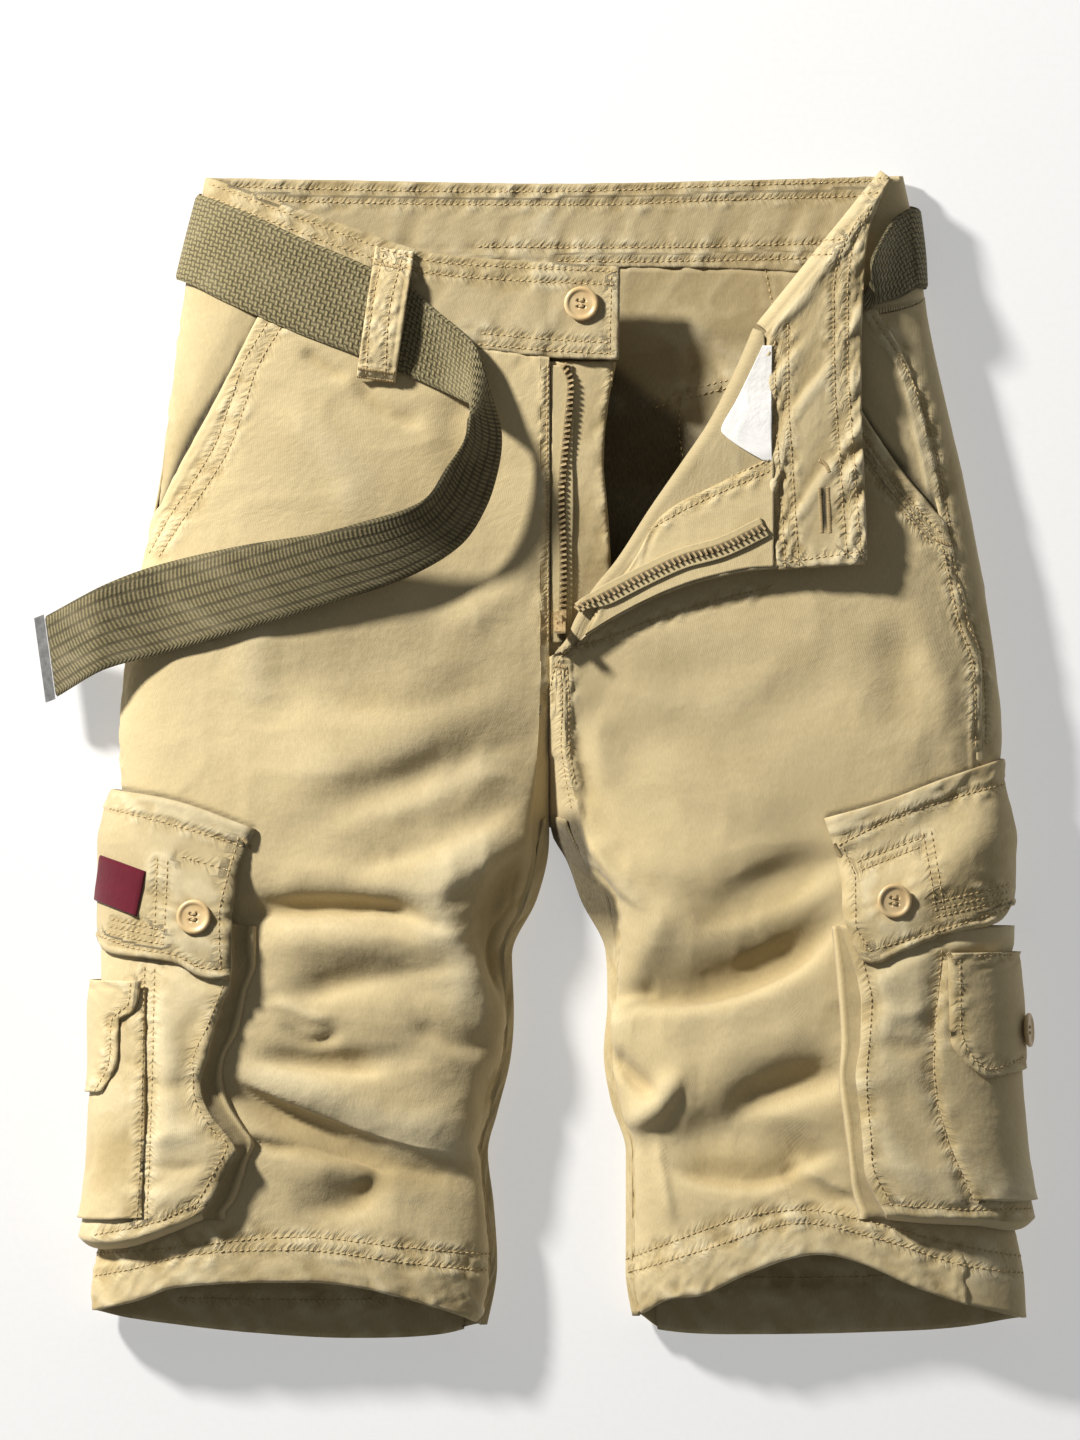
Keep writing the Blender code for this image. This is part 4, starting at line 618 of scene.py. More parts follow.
def front_relief(creases, base, seed):
    """What a front's cloth does above the plain surface: in the open, along its edges, and in layers."""
    x, y = base[..., 0], base[..., 1]
    across, down = lengths(base)
    above_hem = down[-1] - down
    inside = across[:, ACROSS - 1:ACROSS] - across
    loose = 0.75 + 0.25 * step(-y, -60, 60)
    fade = step(above_hem, 0, 30) * step(down, 0, 26) * step(across, 2, 16) * step(inside, -6, 12)
    soft = crumple(x, y, seed) * loose * (0.25 + 0.75 * fade)
    soft += 1.35 * crease_height(creases, x, y) * step(above_hem, 6, 40) * step(inside, -3, 9)
    edge = pucker(x, above_hem, 17, 1.1, seed + 10) + pucker(x, above_hem - LEG_HEM, 11, 0.9, seed + 12)
    edge += pucker(y, across, 11, 0.6, seed + 14) + pucker(x, down, 12, 0.5, seed + 16)
    edge += step(-y, 0, 30) * pucker(y, inside, 9, 0.6, seed + 18)
    return soft, edge, hem(above_hem, LEG_HEM, 0.8) + hem(across, FELLED, 0.6)


Spot = namedtuple("Spot", "place dim wide tall")
# Spots of painted shade on each front; below 0 they are painted light.
LEFT_SPOTS = [Spot((360, 740), -0.5, 55, 40), Spot((340, 865), -0.35, 45, 18), Spot((500, 960), 0.7, 14, 40),
              Spot((350, 1180), 0.5, 45, 14), Spot((350, 490), 0.5, 40, 50)]
RIGHT_SPOTS = [Spot((715, 755), 0.8, 55, 45), Spot((700, 940), 1.2, 40, 18), Spot((666, 978), 1.0, 20, 14)]
INNER_SIDE = [(574, 800), (589, 847), (594, 873), (616, 896), (620, 916), (612, 976)]  # the fold along it
# How strong the painted shade is past the right leg's inner fold and above a flap's seam.
FOLD_SHADE = 3.0
SEAM_SHADE = 2.2


def lit(x, y, spots, flap_top):
    """The painted shade on the cloth: each spot of painted shade, or of painted light where it is below 0,
    dies out
    `wide` and `tall` millimetres from its place.

    A flap sewn on along flap_top gets a painted dark line of shade above its seam.
    """
    free_end = min(abs(corner.x) for corner in flap_top)
    dim = SEAM_SHADE * step(np.abs(x), free_end - 1, free_end + 2) * bell(y - line_y(flap_top, x) - 0.8, 1.7)
    for spot in spots:
        across, down = drawn(spot.place)[0]
        dim += spot.dim * bell(x - across, spot.wide) * bell(y - down, spot.tall)
    return dim


def past_fold(x, y):
    """1 on the inner side of the right leg past the fold that runs down from the crotch, where shade is
    painted on.
    """
    signed, run = to_path(drawn(*INNER_SIDE), x, y)
    return step(signed, -0.8, 2.2) * step(run, 0, 0.1) * step(1 - run, 0, 0.25)


def front_panel_left(finish):
    def start(y):
        return LEFT.place(line_x(MOUTH_LEFT, y), y) * step(y, MOUTH_END_LEFT_Y - 2, MOUTH_END_LEFT_Y + 14)

    s, y = front_grid(LEFT, start, lambda y: 1.0 + 0 * y, WAIST_SEAM_LEFT, HEM_FRONT_LEFT)
    base = LEFT.point(s, y)
    measured("front_panel_left", base)
    soft, edge, layers = front_relief(LEFT_CREASES, base, 11)
    edge = np.where(s > 1, 0.4 * edge, edge)
    relief = soft * step(2 - s, 0, 0.6) + edge + layers
    thick = CLOTH + np.maximum(layers, 0)
    normal = LEFT.normal(s, y)
    outer = base + normal * relief[..., None]
    inner = outer - normal * thick[..., None]
    # Painted shade: spots of it, and a dark line above the flap's seam.
    dim = lit(base[..., 0], base[..., 1], LEFT_SPOTS, CARGO_LEFT.flap_top)
    return cloth("front_panel_left", outer, inner, finish, wear_and_shade_from(edge + 0.2 * soft), dim=dim)


def on_turn(x, y, by):
    """A point on the turned-over front corner, `by` above the lower face of its cloth."""
    return RIGHT.on_top(x, y, line_y(TURN_ROOM, x) + by)


ROLL_STEPS = np.radians(np.linspace(0, 180, 14)[1:-1])


def turned(turn_points, end_points, out, share, relief=0.0):
    """Outer and inner points of cloth that rolls over at turn_points and lies back to end_points.

    All are x, y; out is the direction of the roll, and share runs from 0 at the turn to 1 at the end.
    """
    room = line_y(TURN_ROOM, turn_points[..., 0])[..., None]
    base = RIGHT.height(turn_points[..., 0], turn_points[..., 1])[..., None]
    outer, inner = [], []
    for angle in ROLL_STEPS:
        for reach, found in ((0.5 * room, outer), (0.5 * room + CLOTH, inner)):
            place = turn_points + out * reach * np.sin(angle)
            found.append(np.concatenate([place, base + 0.5 * room - reach * np.cos(angle)], -1))
    place = turn_points[:, None] + (end_points - turn_points)[:, None] * share[:, None]
    x, y = place[..., 0], place[..., 1]
    outer = np.concatenate([np.stack(outer, 1), on_turn(x, y, relief)], 1)
    return outer, np.concatenate([np.stack(inner, 1), on_turn(x, y, CLOTH + relief)], 1)


def turned_relief(place_x, place_y, from_edge, seed):
    """The turned corner's own crumples; its free edge is piped."""
    soft = 0.6 * crumple(place_x, place_y, seed) * step(from_edge, 0, 14)
    return soft + pucker(place_x, from_edge, 9, 0.7, seed + 3) + hem(from_edge, 3.2, 0.9)


def front_panel_right(finish):
    def start(y):
        border = np.where(y > MOUTH_END_RIGHT_Y, line_x(MOUTH_RIGHT, y), line_x(SIDE_SEAM_RIGHT, y))
        return RIGHT.place(border, y)

    turning = FRONT_ROWS > TURN_LOW_Y + 4.2

    def end(y):
        return np.where(turning[:, None], RIGHT.place(line_x(TURN_LINE, y), y), 1.0)

    s, y = front_grid(RIGHT, start, end, WAIST_SEAM_RIGHT, HEM_FRONT_RIGHT)
    y[:, ACROSS:] = y[:, ACROSS - 1:ACROSS]
    base = RIGHT.point(s, y)
    measured("front_panel_right", base)
    soft, edge, layers = front_relief(RIGHT_CREASES, base, 31)
    flat = step(s, 1, 2)
    across = length_over(base, 1)
    near_turn = bell(across[:, ACROSS - 1:ACROSS] - across, 12)
    calm = 1 - near_turn * step(FRONT_ROWS, TURN_LOW_Y - 30, TURN_LOW_Y + 4)[:, None]
    relief = (soft + edge + layers) * calm * (1 - 0.7 * flat)
    thick = CLOTH + np.maximum(layers, 0) * calm
    placket = step(9 - base[..., 0], -0.8, 0.8) * step(base[..., 1], 27, 31)
    piping = bell(base[..., 0] + 1.2, 1.1) - 1.4 * bell(base[..., 0] + 3, 0.7)
    relief = relief + placket * (0.9 + 0.6 * piping * (s > 1))
    normal = RIGHT.normal(s, y)
    outer = base + normal * relief[..., None]
    inner = outer - normal * thick[..., None]

    turn = outer[turning, ACROSS - 1, :2]
    way = np.gradient(turn, axis=0)
    out = np.stack([way[:, 1], -way[:, 0]], -1) / np.linalg.norm(way, axis=1, keepdims=True)
    ends = along(FLY_EDGE, np.linspace(1, 0.14, turning.sum()))
    share = np.linspace(0, 1, 76)
    place = turn[:, None] + (ends - turn)[:, None] * share[:, None]
    left_over = np.linalg.norm(ends - turn, axis=1)[:, None] * (1 - share)
    roll_relief = turned_relief(place[..., 0], place[..., 1], left_over, 47) * step(share, 0, 0.12)
    rolled, rolled_in = turned(turn, ends, out, share, roll_relief)
    columns = ACROSS + max(rolled.shape[1], OVER_SHELF)
    whole, whole_in = np.full((2, len(FRONT_ROWS), columns, 3), np.nan)
    wear_and_painted_shade, dim = np.zeros((2, len(FRONT_ROWS), columns))
    x, y = base[..., 0], base[..., 1]
    # Painted shade on the front: the spots, the line above the flap's seam, and the inner side past the fold.
    dim[:, :ACROSS + OVER_SHELF] = lit(x, y, RIGHT_SPOTS, CARGO_RIGHT.flap_top) + FOLD_SHADE * past_fold(x, y)
    for grid, panel, roll in ((whole, outer, rolled), (whole_in, inner, rolled_in)):
        grid[:, :ACROSS + OVER_SHELF] = panel
        grid[turning, ACROSS:] = np.nan
        grid[turning, ACROSS:ACROSS + roll.shape[1]] = roll
    wear_and_painted_shade[:, :ACROSS + OVER_SHELF] = wear_and_shade_from(edge + 0.15 * soft)
    wear_and_painted_shade[turning, ACROSS + len(ROLL_STEPS):ACROSS + rolled.shape[1]] = wear_and_shade_from(roll_relief)
    return cloth("front_panel_right", whole, whole_in, finish, wear_and_painted_shade, dim=dim)


YOKE_SEAM = [(560, 412), (655, 401), (700, 390), (770, 368)]


def back_panel(name, half, hem_line, top_columns, seed, finish):
    """The back: flat on the floor, up round the side, and below the crotch up round the inside leg too."""
    rows = BACK_ROWS
    leg = rows < APEX_Y + 1

    def bend(x):
        return bent(rows, line_y(WAIST_SEAM_BACK, x), line_y(hem_line, x), 110)

    roll = 4 + 12 * step(-rows, 14, 60)
    outer_x = half.at("outer", rows) + half.inward * SIDE_ROLL
    inner_x = np.where(leg, half.at("edge", rows) - half.inward * roll, SEAM_X - 1)
    x = inner_x[:, None] + (outer_x - inner_x)[:, None] * np.linspace(0, 1, 84)
    y = bend(x)
    floor = xyz(x, y, half.floor_lift(y))
    down = length_over(floor, 0)
    above_hem = down[-1] - down
    swell = np.maximum(1.9 * crumple(x, y, seed) + 0.8, 0) * step(np.abs(x - SEAM_X), 2, 30)
    edge = pucker(x, above_hem, 15, 0.8, seed + 9) + pucker(x, above_hem - LEG_HEM, 10, 0.9, seed + 10)
    upper = np.maximum(swell * step(above_hem, 5, 40) + edge + hem(above_hem, LEG_HEM, 0.9), 0)
    upper += 1.0 * step(6 - np.abs(x - SEAM_X), -1, 1) * (x * half.inward < 0)
    off_seam, run = to_path(drawn(*YOKE_SEAM), x, y)
    upper += (1.2 + pucker(160 * run, np.abs(off_seam), 8, 1.6, seed + 20, 5)) * bell(off_seam, 7)
    parts = [(floor, floor + xyz(0, 0, CLOTH + upper), upper - 0.6)]

    side = np.linspace(-1, 0, 23)[1:] + 0 * rows[:, None]
    side_y = bend(half.at("outer", rows)[:, None] + half.inward * SIDE_ROLL * (1 - np.cos(side * pi / 2)))
    side_points = half.point(side, side_y)
    side_relief = 0.8 * crumple(side_points[..., 2] * 1.3, side_y, seed + 4) * step(side, -1, -0.6)
    outer_side = half.raised(side, side_y, side_relief)
    parts.append((outer_side, half.raised(side, side_y, side_relief - CLOTH), side_relief))
    if top_columns:
        share = np.linspace(0, 1, top_columns + 1)[1:]
        outer_line = half.at("outer", rows)[:, None]
        top_y = bent(rows, line_y(WAIST_SEAM_RIGHT, outer_line), line_y(HEM_FRONT_RIGHT, outer_line), 110)
        for _ in range(4):
            seam_x = line_x(SIDE_SEAM_RIGHT, top_y[:, -1:]) - 3
            top_s = half.place(seam_x, top_y[:, -1:]) * share
            top_x = half.point(top_s, top_y)[..., 0]
            top_y = bent(rows, line_y(WAIST_SEAM_RIGHT, top_x), line_y(HEM_FRONT_RIGHT, top_x), 110)
        to_seam = length_over(half.point(top_s, top_y), 1)
        to_seam = to_seam[:, -1:] - to_seam
        relief = pucker(top_y, to_seam - 3, 10, 0.6, seed + 6) + 0.6 * crumple(top_x, top_y, seed + 4)
        relief = relief * step(top_s, 0, 0.06) - 0.3 * step(3 - to_seam, 0, 2)
        parts.append((half.raised(top_s, top_y, relief), half.raised(top_s, top_y, relief - CLOTH), relief))

    near = (np.minimum(np.exp((rows + 14) / 8.0), 1) * leg)[:, None]  # 1 at the crotch, and less down the leg
    shelf_share = np.linspace(0, 1, 9)
    shelf_y = bend(np.repeat(half.at("contour", rows)[:, None], 9, 1)) + near * (5.5 + 3 * shelf_share)
    shelf = INSEAM_S + (2 - INSEAM_S) * shelf_share + 0 * shelf_y
    shelf_points = half.point(shelf, shelf_y)
    along_leg = length_over(shelf_points, 0)
    shelf_relief = pucker(along_leg, shelf_share * 6 + 0 * along_leg, 8, 0.7, seed + 7, 6)
    shelf_relief *= step(1 - shelf_share, 0, 0.5)
    outer_shelf = half.raised(shelf, shelf_y, shelf_relief - 0.3)
    shelf_in = half.raised(shelf, shelf_y, -CLOTH)
    edge_out = np.array([half.inward, 0, 1]) / 2**0.5
    shelf_in[:, -1] = shelf_points[:, -1] - edge_out * CLOTH
    turns = np.radians(np.linspace(0, 90, 9)[1:-1])
    ahead = half.inward * roll[:, None]
    arc_y = bend(half.at("edge", rows)[:, None] - ahead * (1 - np.cos(turns))) + near * np.linspace(8, 1, 7)
    edge_x, lip = half.at("edge", arc_y), half.at("lip", arc_y)
    arc = xyz(edge_x - ahead * (1 - np.cos(turns)), arc_y, lip * (1 - np.sin(turns)))
    out = xyz(half.inward * lip * np.cos(turns), 0, -np.abs(ahead) * np.sin(turns))
    out /= np.linalg.norm(out, axis=-1, keepdims=True)
    arc_in = arc - out * CLOTH
    parts = [(outer_shelf, shelf_in, shelf_relief), (arc, arc_in, 0 * lip)] + parts
    for grid in (arc, arc_in, outer_shelf, shelf_in):
        grid[~leg] = np.nan
    for grid in (outer_shelf, shelf_in):
        grid[..., 0] += half.inward * 3.4 * near * (1 - shelf_share)
    whole, whole_in, relief = (np.concatenate([part[i] for part in parts], 1) for i in range(3))
    measured(name, whole)
    # Painted shade: on the inside, less down the legs and heavy under the fly, where the front shades it; and
    # on the right leg's inner side past the fold.
    under_fly = 242 - 0.8 * (whole[..., 0] - 33.5) - whole[..., 1]
    depth = 0.6 + 0.4 * step(whole[..., 1], 0, 60)
    depth += 1.9 * step(under_fly, -3, 9) * step(whole[..., 1], 60, 90)
    dim = FOLD_SHADE * past_fold(whole[..., 0], whole[..., 1]) * (half is RIGHT)
    return cloth(name, whole, whole_in, finish, wear_and_shade_from(relief), depth, dim)


MOUTH_SHADE_WIDEST_Y = {LEFT: 203, RIGHT: 170}  # where the painted shade along each pocket's mouth is widest


def mouth_facing(name, half, mouth, side_x, rows, top_line, seed, finish):
    """The cloth inside a slant pocket's mouth: flush at the side seam, and under the front at the mouth."""
    lap, drop = 12.0, CLOTH + 0.8
    y = rows[:, None] * np.ones(28)
    for _ in range(4):
        outer_s = half.place(side_x(y[:, :1]), y[:, :1])
        far = half.place(line_x(mouth, y[:, -1:]) + half.inward * lap, y[:, -1:])
        s = outer_s + (far - outer_s) * np.linspace(0, 1, 28)
        top = line_y(top_line, half.point(s, y)[0, :, 0])
        y = rows[:, None] + (top - rows[0]) * step(rows, 205, rows[0])[:, None]
    base = half.point(s, y)
    measured(name, base)
    from_mouth = (line_x(mouth, y) - base[..., 0]) * half.inward
    depth = drop * step(-from_mouth, -16, 0)
    across = length_over(base, 1)
    relief = 0.4 * crumple(base[..., 0], y, seed) + pucker(y, across, 9, 0.6, seed + 3)
    relief += 0.8 * step(FELLED - across, -0.9, 0.9) * (half is RIGHT)
    relief *= step(from_mouth, -4, 4)
    outer, inner = half.raised(s, y, relief - depth), half.raised(s, y, -depth - CLOTH)
    # Painted shade: a dark band along the mouth, widest where it opens most; the left facing is drawn darker
    # all over, and every facing a little darker.
    shade_widening = bell(y - MOUTH_SHADE_WIDEST_Y[half], 26)
    mouth_shade = 3.0 * bell(from_mouth - 0.5 - 2 * shade_widening, 1.7 + 2.2 * shade_widening)
    return cloth(name, outer, inner, finish, wear_and_shade_from(relief) - 0.2, dim=mouth_shade + 0.5 * (half is LEFT))


# ---------------------------------------------------------------- waistband


def between(top, low, x, part):
    """The y at x, this part of the way from the line on top to the line below it."""
    return line_y(top, x) * (1 - part) + line_y(low, x) * part


def band_relief(along_band, from_top, seed, rise=0.7):
    """A waistband's ridges between its rows of stitches."""
    from_low = from_top[-1:] - from_top
    relief = pucker(along_band, from_top - 3, 8, rise, seed, 8)
    relief += pucker(along_band, from_low - 3, 9, rise, seed + 1, 8)
    relief += 0.35 * crumple(along_band, from_top, seed + 2)
    relief += 0.7 * rise * noise(along_band + 0.35 * from_top, 0.22 * from_top, 8.5, seed + 5)
    relief += groove(from_top, 3.2, 0.3) + groove(from_top, 10.5, 0.3) + groove(from_low, 3.5, 0.3)
    relief += groove(from_low, 10.5, 0.3)
    return relief - 0.7 * bell(from_top, 1.0) - 0.5 * bell(from_low, 1.0)


def waistband_left(finish):
    share = np.linspace(0, 1, 150)**1.4
    part = np.linspace(0, 1, 36)[:, None]
    ends = [(line[0].x, line[-1].x) for line in (WAIST_TOP_LEFT, WAIST_SEAM_LEFT)]
    top_x, seam_x = (start + (end - start) * share for start, end in ends)
    x = top_x + (seam_x - top_x) * part
    y = line_y(WAIST_TOP_LEFT, top_x) * (1 - part) + line_y(WAIST_SEAM_LEFT, seam_x) * part
    s = LEFT.place(x, y)
    s[:, 0] = 0
    x[:, 0] = LEFT.at("outer", y[:, 0])
    base = xyz(x, y, LEFT.point(s, y)[..., 2])
    measured("waistband_left", base)
    across, down = lengths(base)
    relief = band_relief(across, down, 61) + 0.7 * step(part, 0, 1)
    from_end = across[:, -1:] - across
    relief += 0.8 * step(5 - from_end, -1, 1) - 0.6 * bell(from_end, 1.0)
    normal = LEFT.normal(s, y)
    outer = base + normal * relief[..., None]
    inner = base - normal * (DOUBLE + 0 * relief)[..., None]
    # Painted shade: the whole band is drawn darker.
    return cloth("waistband_left", outer, inner, finish, wear_and_shade_from(relief) - 0.4, dim=0.8)


def waistband_rear(finish):
    part = np.linspace(0, 1, 36)[:, None]
    turn = np.linspace(0, -1, 22)

    def across(half):
        y = between(WAIST_TOP_BACK, WAIST_SEAM_BACK, half.point(turn, 320.0)[:, 0], part)
        return half.point(turn, y), half.raised(turn, y, -DOUBLE)

    x = np.linspace(-160, 160, 165)
    y = between(WAIST_TOP_BACK, WAIST_SEAM_BACK, x, part)
    floor = xyz(x, y, LEFT.floor_lift(y))
    down = length_over(floor, 0)
    relief = np.maximum(band_relief(x + 0 * y, down, 71, 0.9) + 0.8, 0)
    upper = floor + xyz(0, 0, DOUBLE + relief)
    left, right = across(LEFT), across(RIGHT)
    outer = np.concatenate([left[0], floor, right[0][:, ::-1]], 1)
    inner = np.concatenate([left[1], upper, right[1][:, ::-1]], 1)
    measured("waistband_rear", outer)
    wear_and_painted_shade = np.zeros(outer.shape[:2])
    wear_and_painted_shade[:, 22:-22] = wear_and_shade_from(relief - 0.8)
    return cloth("waistband_rear", outer, inner, finish, wear_and_painted_shade)


BAND_TURN = through((180, 340), (113, 257))
BAND_FREE_TOP = through((180, 340), (169, 313), (165, 275), (164, 221), (166, 167), (167, 132))
BAND_FREE_SEAM = through((113, 257), (114, 221), (115, 167), (119, 129))
HOLE = Point(143.9, 161.5)  # the middle of the waistband's buttonhole


def waistband_right(finish):
    """The right front's waistband: from the side seam to the fold, over it, and lying back to its end."""
    part = np.linspace(0, 1, 40)
    turn = along(BAND_TURN, part)
    columns = np.linspace(0, 1, 60)
    s = RIGHT.place(turn[:, 0], turn[:, 1])[:, None] * columns**1.2
    side_y = 341 + (276 - 341) * part
    y = side_y[:, None] + (turn[:, 1] - side_y)[:, None] * columns
    for _ in range(4):
        y[-1] = line_y(WAIST_SEAM_RIGHT, RIGHT.point(s[-1], y[-1])[:, 0])
    outer, inner = RIGHT.point(s, y), RIGHT.raised(s, y, -CLOTH)
    way = turn[0] - turn[-1]
    out = np.array([-way[1], way[0]]) / np.linalg.norm(way)
    share = np.linspace(0, 1, 110)
    top, seam = along(BAND_FREE_TOP, share), along(BAND_FREE_SEAM, share)
    free = top + (seam - top) * part[:, None, None]
    rolled, rolled_in = turned(turn, turn, np.repeat(out[None], len(part), 0), np.array([0.0]))
    run, down = lengths(free)
    relief = band_relief(run, down, 81, 1.6)
    from_end = run[:, -1:] - run
    relief += 0.8 * step(6 - from_end, -1, 1) - 0.7 * bell(from_end, 1.1)
    relief = (relief * step(run, 0, 6))[:, 1:]
    x, y = free[:, 1:, 0], free[:, 1:, 1]
    lying, lying_in = on_turn(x, y, 0.4), on_turn(x, y, DOUBLE + 0.4 + relief)
    whole = np.concatenate([outer, rolled, lying], 1)
    whole_in = np.concatenate([inner, rolled_in, lying_in], 1)
    measured("waistband_right", whole)
    # Painted shade on the band's upper face, darkest in a narrow dark mark at the buttonhole.
    wear_and_painted_shade, depth = np.zeros(whole.shape[:2]), np.full(whole.shape[:2], 0.4)
    wear_and_painted_shade[:, -relief.shape[1]:] = wear_and_shade_from(relief)
    depth[:, -relief.shape[1]:] += 3.2 * np.exp(-((x - HOLE.x) / 1.7)**4 - ((y - HOLE.y) / 11)**8)
    return cloth("waistband_right", whole, whole_in, finish, wear_and_painted_shade, depth)


# ---------------------------------------------------------------- cargo pockets and flaps

POCKET_DEPTH = 12.5  # how far a bellows pocket stands off the leg
SKIRT = 14  # columns of its free side
SMALL_PUFF = 2.5  # how far the small pocket bellies out
SMALL_FLAP = 1.8  # its flap is thinner
POCKET_TOP_Y = -62.0
S_TABLE = np.linspace(-1, 2, 601)
CROWD = np.cumsum(1 + 2.5 * bell(S_TABLE - 0.1, 0.14))  # columns crowd where the side bends

# The lines of one leg's pocket: its body's free edge, the foot of its skirt on the leg and its lower edge;
# its flap's three sides; and the free and lower edges, and the tops, of the small pocket on its side and of
# that one's flap. button_clear is how far the button stands off, flap_band how thick the flap's sewn band is,
# and the field after it how much painted shade darkens the flap.
Cargo = namedtuple("Cargo", "half edge base foot flap_top flap_edge flap_foot small_edge small_foot "
                            "small_flap_edge small_flap_foot small_top small_flap_top button button_clear "
                            "flap_band flap_dim creases")
CARGO_LEFT = Cargo(
    half=LEFT,
    edge=through((-173, -62), (-174, -92), (-180, -108), (-186, -130), (-190, -146), (-185, -162),
                 (-176, -173), (-171, -181), (-174, -189), (-180, -200), (-184, -208), (-189, -215)),
    base=through((-160, -62), (-160, -81), (-165, -97), (-167, -108), (-170, -119), (-176, -130),
                 (-178, -143), (-174, -157), (-166, -170), (-161, -178), (-164, -186), (-167, -197),
                 (-171, -208), (-177, -216)),
    foot=through((-248, -232), (-230, -230), (-211, -224), (-189, -215)),
    flap_top=through((-240, 12), (-202, 5), (-160, -10)),
    flap_edge=through((-160, -10), (-165, -19), (-170, -32), (-172, -49), (-173, -65), (-174, -90)),
    flap_foot=through((-248, -69), (-243, -75), (-219, -79), (-202, -82), (-189, -89), (-174, -90)),
    small_edge=through((-219, -92), (-219, -150), (-221, -210)),
    small_foot=through((-260, -223), (-221, -218)),
    small_flap_edge=through((-222, -92), (-227, -108), (-234, -112), (-235, -135), (-240, -146),
                            (-243, -152)),
    small_flap_foot=through((-270, -156), (-243, -152)),
    small_top=-95.0, small_flap_top=-91.0, button=(-193, -57), button_clear=-0.1,
    # The left flap carries painted shade.
    flap_band=0.9, flap_dim=0.6,
    creases=[
        Crease([(150, 985), (172, 1060), (160, 1180)], 1.8, 7.0, 7.0),
        Crease([(205, 1000), (190, 1040), (206, 1090)], -1.8, 6.0, 6.0),
        Crease([(128, 1060), (170, 1084), (214, 1078)], -1.5, 5.0, 5.0),
        Crease([(128, 1120), (165, 1132), (214, 1126)], 1.5, 6.0, 6.0),
        Crease([(140, 1150), (172, 1166), (214, 1160)], -1.8, 4.0, 4.0),
        Crease([(120, 1190), (150, 1196), (190, 1184)], 1.1, 4.0, 4.0),
        Crease([(222, 985), (210, 1030), (200, 1066)], 1.2, 4.0, 4.0),
    ],
)
CARGO_RIGHT = Cargo(
    half=RIGHT,
    edge=through((152, -62), (159, -81), (164, -103), (163, -124), (161, -140), (163, -162),
                 (165, -184), (166, -194), (173, -208), (177, -215)),
    base=through((148, -62), (151, -92), (153, -124), (152, -146), (154, -162), (157, -184),
                 (159, -202), (161, -211), (163, -216)),
    foot=through((177, -215), (197, -217), (230, -219), (253, -222), (258, -222)),
    flap_top=through((144, -4), (176, 5), (208, 17), (242, 28)),
    flap_edge=through((144, -4), (150, -22), (153, -38), (154, -57), (158, -68), (164, -80)),
    flap_foot=through((164, -80), (170, -82), (186, -75), (213, -65), (242, -57), (246, -51)),
    small_edge=through((208, -73), (202, -135), (211, -178), (224, -208)),
    small_foot=through((200, -206), (260, -213)),
    small_flap_edge=through((210, -75), (211, -103), (212, -124), (220, -135), (230, -143)),
    small_flap_foot=through((230, -143), (253, -139)),
    small_top=-80.0, small_flap_top=-76.0, button=(181, -48), button_clear=0.8,
    flap_band=0.5, flap_dim=0.0,
    creases=[
        Crease([(872, 955), (882, 1010), (870, 1060)], 1.6, 6.0, 6.0),
        Crease([(938, 945), (932, 1050), (968, 1190)], -1.8, 4.0, 4.0),
        Crease([(880, 1070), (910, 1120), (952, 1160)], -2.4, 9.0, 9.0),
        Crease([(862, 1100), (890, 1150), (930, 1186)], 1.6, 5.0, 5.0),
        Crease([(870, 1030), (905, 1046), (936, 1040)], -1.6, 5.0, 5.0),
        Crease([(868, 1004), (900, 1012), (930, 1000)], 1.2, 4.0, 4.0),
        Crease([(984, 1080), (1000, 1130), (1018, 1180)], -1.6, 4.0, 4.0),
    ],
)

ON_POCKET = LIE + DOUBLE  # the flap's upper face above the pocket's


def crowded(first, last, share):
    """Places from first to last, closest together round the bend of the side."""
    start, end = np.interp(first, S_TABLE, CROWD), np.interp(last, S_TABLE, CROWD)
    return np.interp(start + (end - start) * share, CROWD, S_TABLE)


def pocket_rise(s, y):
    """Height of a bellows pocket's face above the leg; at the side it begins further up."""
    side = 48 * (1 - step(s, 0.1, 0.45))
    return POCKET_DEPTH * step(-y, 20 - side, 60 - 0.9 * side) * (1 - 0.83 * step(-s, 0, 0.6))


def edge_grid(half, edge, foot, high, by, rows, columns, back_s):
    """s and y of a patch from a free edge round the side to back_s, and from high down to its foot line."""
    part, across = np.linspace(0, 1, rows)[:, None], np.linspace(0, 1, columns)
    y = high + (edge[-1].y - high) * part + 0 * across
    for _ in range(4):
        first = half.place_over(line_x(edge, y[:, :1]), y[:, :1], by)
        s = crowded(first, back_s, across)
        low = line_y(foot, half.raised(s[-1], y[-1], by)[:, 0])
        y = high + (low - high) * part
    return s, y


def stretched(skirt):
    """A skirt's row of points with its last step drawn out in seven."""
    return np.concatenate([skirt[:-1], skirt[-2] + (skirt[-1] - skirt[-2]) * np.linspace(0, 1, 8)[1:, None]])


